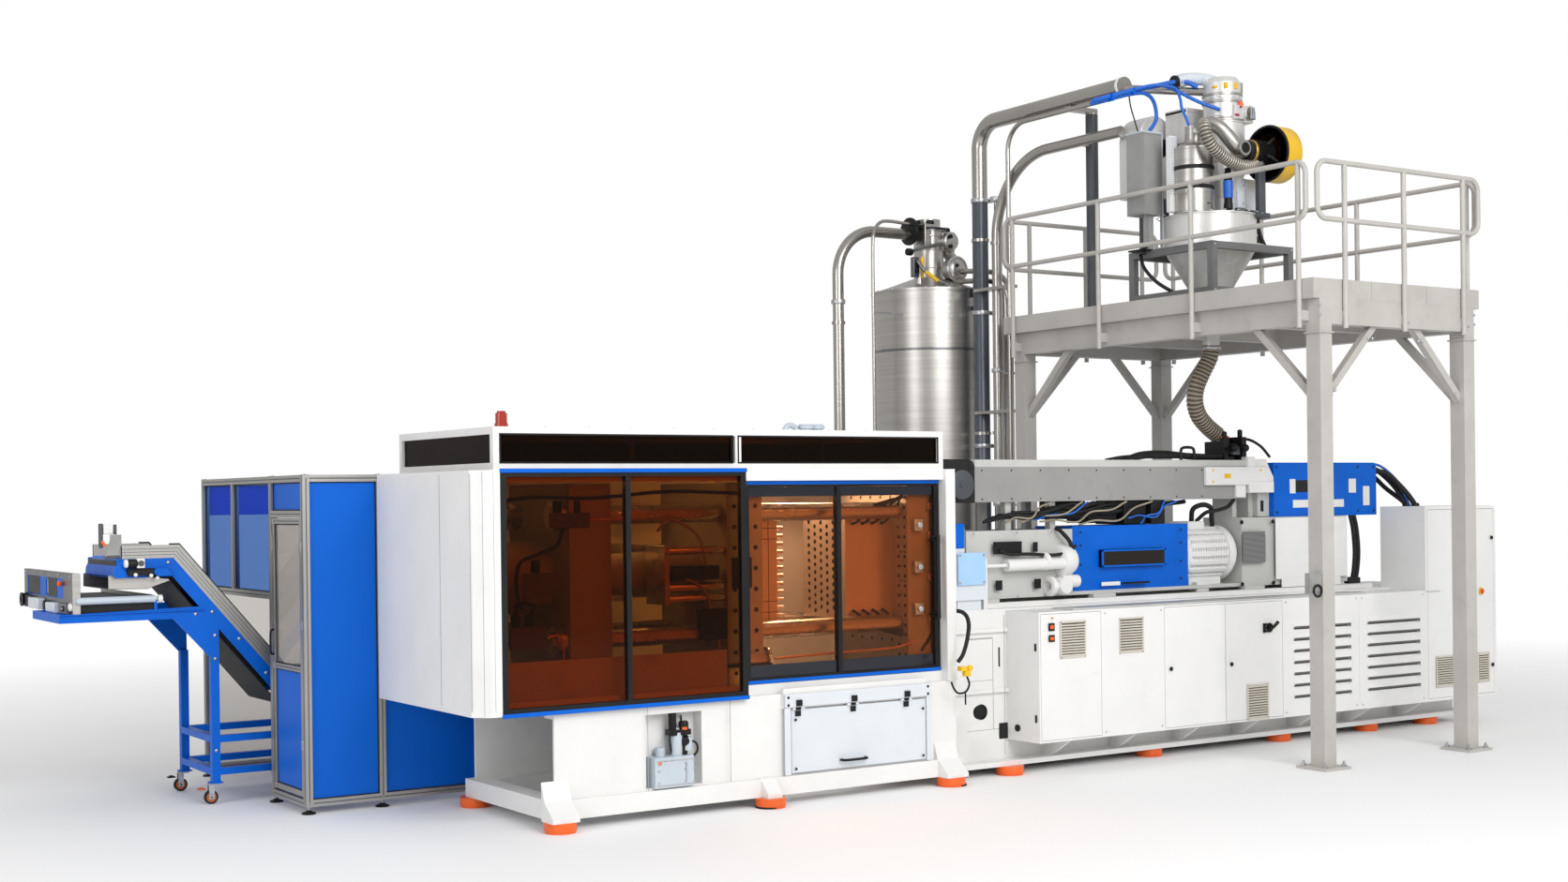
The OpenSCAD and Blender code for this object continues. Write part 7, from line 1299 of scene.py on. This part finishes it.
piece("profile_caps", [boxes(*[(x - 0.0255, y - 0.0255, 2.405, x + 0.0255, y + 0.0255, 2.4125)
    for x, y in corners]), disc(0.008, 0.003, [(x, y, 2.4125) for x, y in corners], sides=12, top=0.004),
    head(0.009, -0.002, 0.005, -0.004, [(x, 1.74, z) for x in (-1.095, -0.545, 1.455) for z in (2.385, 0.075)],
    axis="y", sides=12), head(0.009, -0.002, 0.005, -0.004, [(-1.12, y, z) for y in (1.765, 2.455, 4.115)
    for z in (2.385, 0.075)], axis="x", sides=12)], "mid_grey_coat")
piece("cell_feet", [turned([(0, 0), (0.048, 0), (0.05, 0.004), (0.05, 0.01), (0.03, 0.017), (0.018, 0.02),
    (0.018, 0.028), (0, 0.028)], [(x, y, 0) for x, y in corners], sides=28),
    turned([(0, 0.02), (0.011, 0.02), (0.011, 0.056), (0, 0.056)], [(x, y, 0) for x, y in corners], sides=12)],
    "black_coat")

# %% [markdown]
# The access door is a lighter profile frame with a blue sheet below and a clear pane above.
# It turns on two hinges at the corner post, so every piece here rides on the door.

# %% Access door
x0, x1, y0, y1, z0, z1, bar, mid = -1.116, -1.086, 1.798, 2.422, 0.116, 2.1, 0.04, 1.04
frame_bars = [[(x0, y0, z0), (x1, y0 + bar, z1)], [(x0, y1 - bar, z0), (x1, y1, z1)],
    [(x0, y0 + bar, z0), (x1, y1 - bar, z0 + bar)], [(x0, y0 + bar, z1 - bar), (x1, y1 - bar, z1)],
    [(x0, y0 + bar, mid - bar), (x1, y1 - bar, mid)]]
door_frame = piece("door_frame", [boxes(*frame_bars), disc(0.006, 0.0135,
    [(-1.101, 1.816, 0.1025), (-1.101, 1.816, 2.089)], sides=16)], "anodised", body="cell_door", bevel=0.0015)
door_sheet = piece("door_sheet", boxes((x0 + 0.012, y0 + bar, z0 + bar, x0 + 0.018, y1 - bar, mid - bar)),
    "blue_sheet", body="cell_door")
door_pane = piece("door_pane", boxes((x0 + 0.012, y0 + bar, mid, x0 + 0.018, y1 - bar, z1 - bar)), "clear_sheet",
    body="cell_door", slot="profile_aluminium")
for part in (door_frame, door_sheet, door_pane):
    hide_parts("cell_door")
lines = []
for a, b in ((z0 + bar, mid - bar), (mid, z1 - bar)):
    lines += [[(x0 + 0.0095, y0 + bar, a), (x0 + 0.0125, y0 + bar + 0.008, b)],
        [(x0 + 0.0095, y1 - bar - 0.008, a), (x0 + 0.0125, y1 - bar, b)],
        [(x0 + 0.0095, y0 + bar, a), (x0 + 0.0125, y1 - bar, a + 0.008)],
        [(x0 + 0.0095, y0 + bar, b - 0.008), (x0 + 0.0125, y1 - bar, b)]]
piece("door_gaskets", boxes(*lines), "rubber_black", body="cell_door")
# The profile slots of the door are dark bars: painted shade in the grooves.
piece("door_slots", boxes((x0 - d, y1 - 0.024, z0, x0 + d, y1 - 0.016, z1),
    (x0 - d, y0 + bar, mid - 0.024, x0 + d, y1 - bar, mid - 0.016),
    (x0 - d, y0 + bar, z1 - 0.024, x0 + d, y1 - bar, z1 - 0.016)), "slot_grey", body="cell_door")
piece("door_corners", boxes(*[(x0 - 0.003, y1 - bar, z, x0, y1, z + bar) for z in (mid - bar, z1 - bar, z0)]),
    "mid_grey_coat", body="cell_door", bevel=0.002)
piece("door_grip", pipe([(x0, y1 - 0.02, 1.1), (x0 - 0.022, y1 - 0.02, 1.105), (x0 - 0.027, y1 - 0.02, 1.14),
    (x0 - 0.027, y1 - 0.02, 1.24), (x0 - 0.022, y1 - 0.02, 1.275), (x0, y1 - 0.02, 1.28)], 0.008), "black_coat",
    body="cell_door")
piece("door_latch", boxes((x0 - 0.012, y1 - 0.03, 1.86, x0, y1 - 0.01, 1.98),
    (x0 - 0.018, y1 - 0.026, 1.9, x0 - 0.012, y1 - 0.014, 1.94)), "mid_grey_coat", body="cell_door", bevel=0.002)
piece("door_hinges", boxes(*[(-1.1245, 1.778, z, -1.1165, 1.822, z + 0.07) for z in (0.45, 1.3, 1.86)]), "zinc",
    body="cell_door", bevel=0.002)
print("access door made")

# %% [markdown]
# The outfeed conveyor rises out of the cell and drops parts on a short cross belt. Its rails
# are aluminium profile on blue side plates. A rail follows the bend of the conveyor, so it is
# one outline in side view, given a thickness; its grooves are thinner outlines of the same run,
# dark with painted shade.

# %% Conveyor rails
def run_outline(low, high, start=-2.14, end=0.5):
    """Side view of a strip that follows the conveyor: low and high are heights above its edge."""
    shift = np.tan(np.radians(25.0))
    top = [(start, 1.822 + high), (-1.776 + high * shift, 1.822 + high), (-0.935 + high * shift, 0.82 + high),
        (end, 0.82 + high)]
    bottom = [(end, 0.82 + low), (-0.935 + low * shift, 0.82 + low), (-1.776 + low * shift, 1.822 + low),
        (start, 1.822 + low)]
    return top + bottom


rail_skins = [plate(run_outline(0.001, 0.096), "y", a, b) for a, b in ((2.6385, 2.6615), (3.4585, 3.4815))]
piece("conveyor_rails", rail_skins, "anodised")
grooves = [plate(run_outline(z, z + 0.004), "y", y - 0.0006, y + 0.0006) for z in (0.024, 0.046, 0.068)
    for y in (2.6385, 3.4815)]
piece("rail_grooves", grooves, "slot_grey")
piece("rail_caps", [plate(run_outline(0.0955, 0.1065, start=-1.8), "y", a, b)
    for a, b in ((3.456, 3.484), (2.652, 2.664))], "rubber_black")
s, c = np.sin(np.radians(50)), np.cos(np.radians(50))
flights = []
for along in np.arange(0.1, 1.28, 0.235):
    x, z = -1.776 + along * c, 1.81 - along * s
    outline = [(x - 0.004 * c, z + 0.004 * s), (x + 0.004 * c, z - 0.004 * s),
        (x + 0.004 * c + 0.07 * s, z - 0.004 * s + 0.07 * c), (x - 0.004 * c + 0.07 * s, z + 0.004 * s + 0.07 * c)]
    flights.append(plate(outline, "y", 2.73, 3.39))
piece("belt_flights", flights, "rubber_black", slot="belt_rubber")
bolts = [(-1.814, 1.79), (-1.498, 1.418), (-1.48, 1.243), (-1.48, 1.071), (-1.48, 0.393), (-1.62, 1.407),
    (-1.3, 1.21), (-1.1, 0.945), (-0.49, 0.39), (-0.49, 0.19)]
piece("conveyor_bolts", turned([(0, 0), (0.014, 0), (0.013, -0.005), (0.008, -0.009), (0, -0.01)],
    [(x, 2.6395, z) for x, z in bolts], axis="y", sides=16), "zinc")
piece("gusset_flange", boxes((-2.576, 2.626, 1.43, -1.56, 2.641, 1.4385)), "blue_coat", bevel=0.002)

# %% [markdown]
# At the head of the conveyor sit the gear motor, a scraper chute and a sensor bracket. The
# cross belt has a long bright roller at its near end and a steel guide plate on its side.

# %% Cross belt fittings
ex0, ex1 = -2.4855, -2.4645
piece("guide_plate", boxes((ex0, 2.64, 1.437, ex1, 2.905, 1.728), (ex0, 2.905, 1.686, ex1, 4.171, 1.728),
    (ex0, 4.06, 1.437, ex1, 4.171, 1.686), (ex0, 2.905, 1.437, ex1, 4.06, 1.54)), "stainless_dark")
piece("guide_plate_flange", boxes((ex0, 2.636, 1.437, -2.43, 2.642, 1.728),
    (ex0, 2.64, 1.724, -2.445, 4.171, 1.73)), "stainless", bevel=0.002)
# The two openings in the guide plate are dark boxes: painted shade in them.
piece("guide_holes", boxes(*[(-2.4825, a, 1.547, -2.4805, b, 1.683) for a, b in ((3.12, 3.4), (3.67, 4.03))]),
    "black_coat")
piece("guide_knobs", turned([(0, 0), (0.014, 0), (0.02, -0.006), (0.02, -0.024), (0.014, -0.03), (0, -0.032)],
    [(-2.486, 2.95, 1.65)], axis="x", sides=20), "orange_coat")
piece("guide_screws", turned([(0, 0), (0.01, 0), (0.009, -0.006), (0, -0.007)],
    [(-2.4855, y, 1.708) for y in (2.7, 3.05, 3.55, 4.1)], axis="x", sides=12), "zinc")
piece("near_roller", turned([(0, 0), (0.012, 0), (0.012, 0.008), (0.026, 0.01), (0.026, 0.56), (0.012, 0.562),
    (0.012, 0.575), (0, 0.575)], [(-2.47, 2.64, 1.5305)], axis="x", sides=36), "light_grey_coat")
piece("roller_end_cap", [turned([(0, 0), (0.024, 0), (0.028, 0.006), (0.028, 0.03), (0.018, 0.036), (0, 0.038)],
    [(-1.892, 2.64, 1.53)], axis="x", sides=28), turned([(0, 0), (0.026, 0), (0.03, -0.006), (0.03, -0.026),
    (0.02, -0.034), (0, -0.036)], [(-2.473, 2.672, 1.49)], axis="x", sides=28)], "white_coat")
piece("belt_edge_guides", boxes((-2.45, 2.67, 1.527, -2.44, 4.13, 1.56),
    (-1.925, 2.67, 1.527, -1.915, 4.13, 1.56)), "anodised", bevel=0.002)
piece("cross_belt_drive", boxes((-2.545, 3.46, 1.445, -2.487, 3.78, 1.525),
    (-2.54, 2.98, 1.44, -2.487, 3.24, 1.51)), "panel_grey", bevel=0.008)
piece("drive_bearings", [boxes((-2.52, 2.72, 1.442, -2.487, 2.93, 1.512)),
    disc(0.022, -0.02, [(-2.52, 2.78, 1.475)], axis="x", sides=20, top=-0.024)], "stainless_dark", bevel=0.004)
piece("drive_pulley", [turned([(0, 0), (0.052, 0), (0.056, -0.006), (0.05, -0.012), (0.05, -0.032),
    (0.056, -0.038), (0.052, -0.044), (0.018, -0.044), (0.018, -0.034), (0, -0.034)], [(-2.487, 4.095, 1.495)],
    axis="x", sides=40), disc(0.036, -0.04, [(-2.487, 3.35, 1.48)], axis="x", sides=28, top=-0.045),
    boxes((-2.515, 3.82, 1.455, -2.487, 4.02, 1.53), (-2.5755, 3.435, 1.38, -2.545, 3.48, 1.432))], "black_coat",
    bevel=0.002)
piece("head_motor", [turned([(0, 0), (0.029, 0), (0.031, 0.004), (0.031, 0.06), (0.029, 0.064), (0, 0.064)],
    [(-2.105, 2.612, 1.79)], axis="x", sides=28), boxes((-2.115, 2.625, 1.725, -1.915, 2.645, 1.752),
    (-2.105, 2.6, 1.7, -1.925, 2.7, 1.742), (-2.18, 2.66, 1.738, -2.05, 3.45, 1.812))], "black_coat", bevel=0.004)
piece("motor_caps", [turned([(0, 0), (0.024, 0), (0.03, 0.008), (0.03, 0.024), (0, 0.026)],
    [(-2.133, 2.612, 1.79)], axis="x", sides=28), boxes((-2.047, 2.588, 1.756, -1.992, 2.64, 1.824)),
    head(0.014, -0.016, 0.01, -0.018, [(-2.058, 2.6, 1.708), (-1.948, 2.6, 1.7), (-1.898, 2.625, 1.68)], axis="y",
    sides=20)], "white_coat", bevel=0.006)
piece("motor_disc", turned([(0, 0), (0.019, 0), (0.021, -0.003), (0.021, -0.006), (0.009, -0.006), (0.009, -0.003),
    (0, -0.003)], [(-2.0195, 2.588, 1.79)], axis="y", sides=28), "dark_grey_coat")
piece("blue_guard", plate([(-1.925, 1.735), (-1.905, 1.752), (-1.82, 1.752), (-1.79, 1.7), (-1.8, 1.69),
    (-1.885, 1.69), (-1.925, 1.715)], "y", 2.6, 2.64), "blue_coat", bevel=0.008)
sheet_t = 0.003
chute = [(-2.224, 1.704), (-2.06, 1.7), (-1.8, 1.668), (-1.79, 1.655), (-1.95, 1.6), (-2.225, 1.606)]
piece("scraper_chute", [plate(chute, "y", 2.69, 2.69 + sheet_t), plate(chute, "y", 3.42, 3.42 + sheet_t),
    plate([(-2.225, 1.606), (-1.95, 1.6), (-1.79, 1.655), (-1.79, 1.658), (-1.95, 1.603), (-2.225, 1.609)], "y",
    2.69, 3.423)], "stainless")
nose = [(-2.1, 1.836), (-2.132, 1.834), (-2.168, 1.802), (-2.192, 1.746), (-2.195, 1.702), (-2.18, 1.686),
    (-1.96, 1.684)]
nose += [(-1.96, 1.687), (-2.178, 1.689), (-2.192, 1.703), (-2.189, 1.745), (-2.165, 1.8), (-2.131, 1.831),
    (-2.1, 1.833)]
lip = [(-2.195, 1.702), (-2.18, 1.686), (-1.96, 1.684), (-1.96, 1.722), (-2.125, 1.738), (-2.168, 1.802),
    (-2.192, 1.746)]
piece("nose_sheet", [plate(nose, "y", 2.64, 3.48), plate(lip, "y", 2.637, 2.64)], "blue_coat")
piece("sensor_bracket", plate([(-2.251, 1.838), (-2.215, 1.96), (-2.215, 1.999), (-2.135, 1.999), (-2.135, 1.838)],
    "y", 2.664, 2.676), "mid_grey_coat", bevel=0.003)
piece("sensor_post", boxes((-2.284, 2.69, 1.905, -2.256, 2.72, 2.08), (-2.182, 2.69, 2.0, -2.16, 2.712, 2.072),
    (-2.245, 2.66, 1.825, -2.15, 2.72, 1.85)), "dark_grey_coat", bevel=0.005)
piece("sensor_box", boxes((-2.254, 2.692, 2.002, -2.184, 2.73, 2.076)), "white_coat", bevel=0.006)
piece("sensor_nut", disc(0.012, -0.014, [(-2.262, 2.69, 1.945), (-2.25, 2.69, 1.928)], axis="y", sides=12,
    top=-0.016), "orange_coat")

# %% Castors
wheels = [(-1.515, 2.67), (-1.515, 3.45), (-0.49, 2.67), (-0.49, 3.45)]
for number, (x, y) in enumerate(wheels):
    piece(f"wheel_hub_{number + 1}", turned([(0, 0), (0.034, 0), (0.036, 0.002), (0.036, 0.033), (0.034, 0.035),
        (0, 0.035)], [(x, y - 0.0175, 0.05)], axis="y"), "orange_hub", body=f"castor_wheel_{number + 1}")
piece("brake_pedals", boxes((-1.615, 2.645, 0.108, -1.555, 2.695, 0.118),
    (-1.6, 2.655, 0.116, -1.57, 2.685, 0.126)), "orange_hub", body="castor_fork_1", bevel=0.004)
# The far pedals are the same part as the near ones, painted black for the shade under the conveyor.
piece("brake_pedals_far_shaded", boxes((-1.615, 3.425, 0.108, -1.555, 3.475, 0.118),
    (-1.6, 3.435, 0.116, -1.57, 3.465, 0.126)), "black_coat", body="castor_fork_2", bevel=0.004)
print("conveyor fittings made;", len(made), "pieces in all")

# %% Finish
print(len(made), "pieces made,", sum(len(thing.data.polygons) for thing in made), "faces")
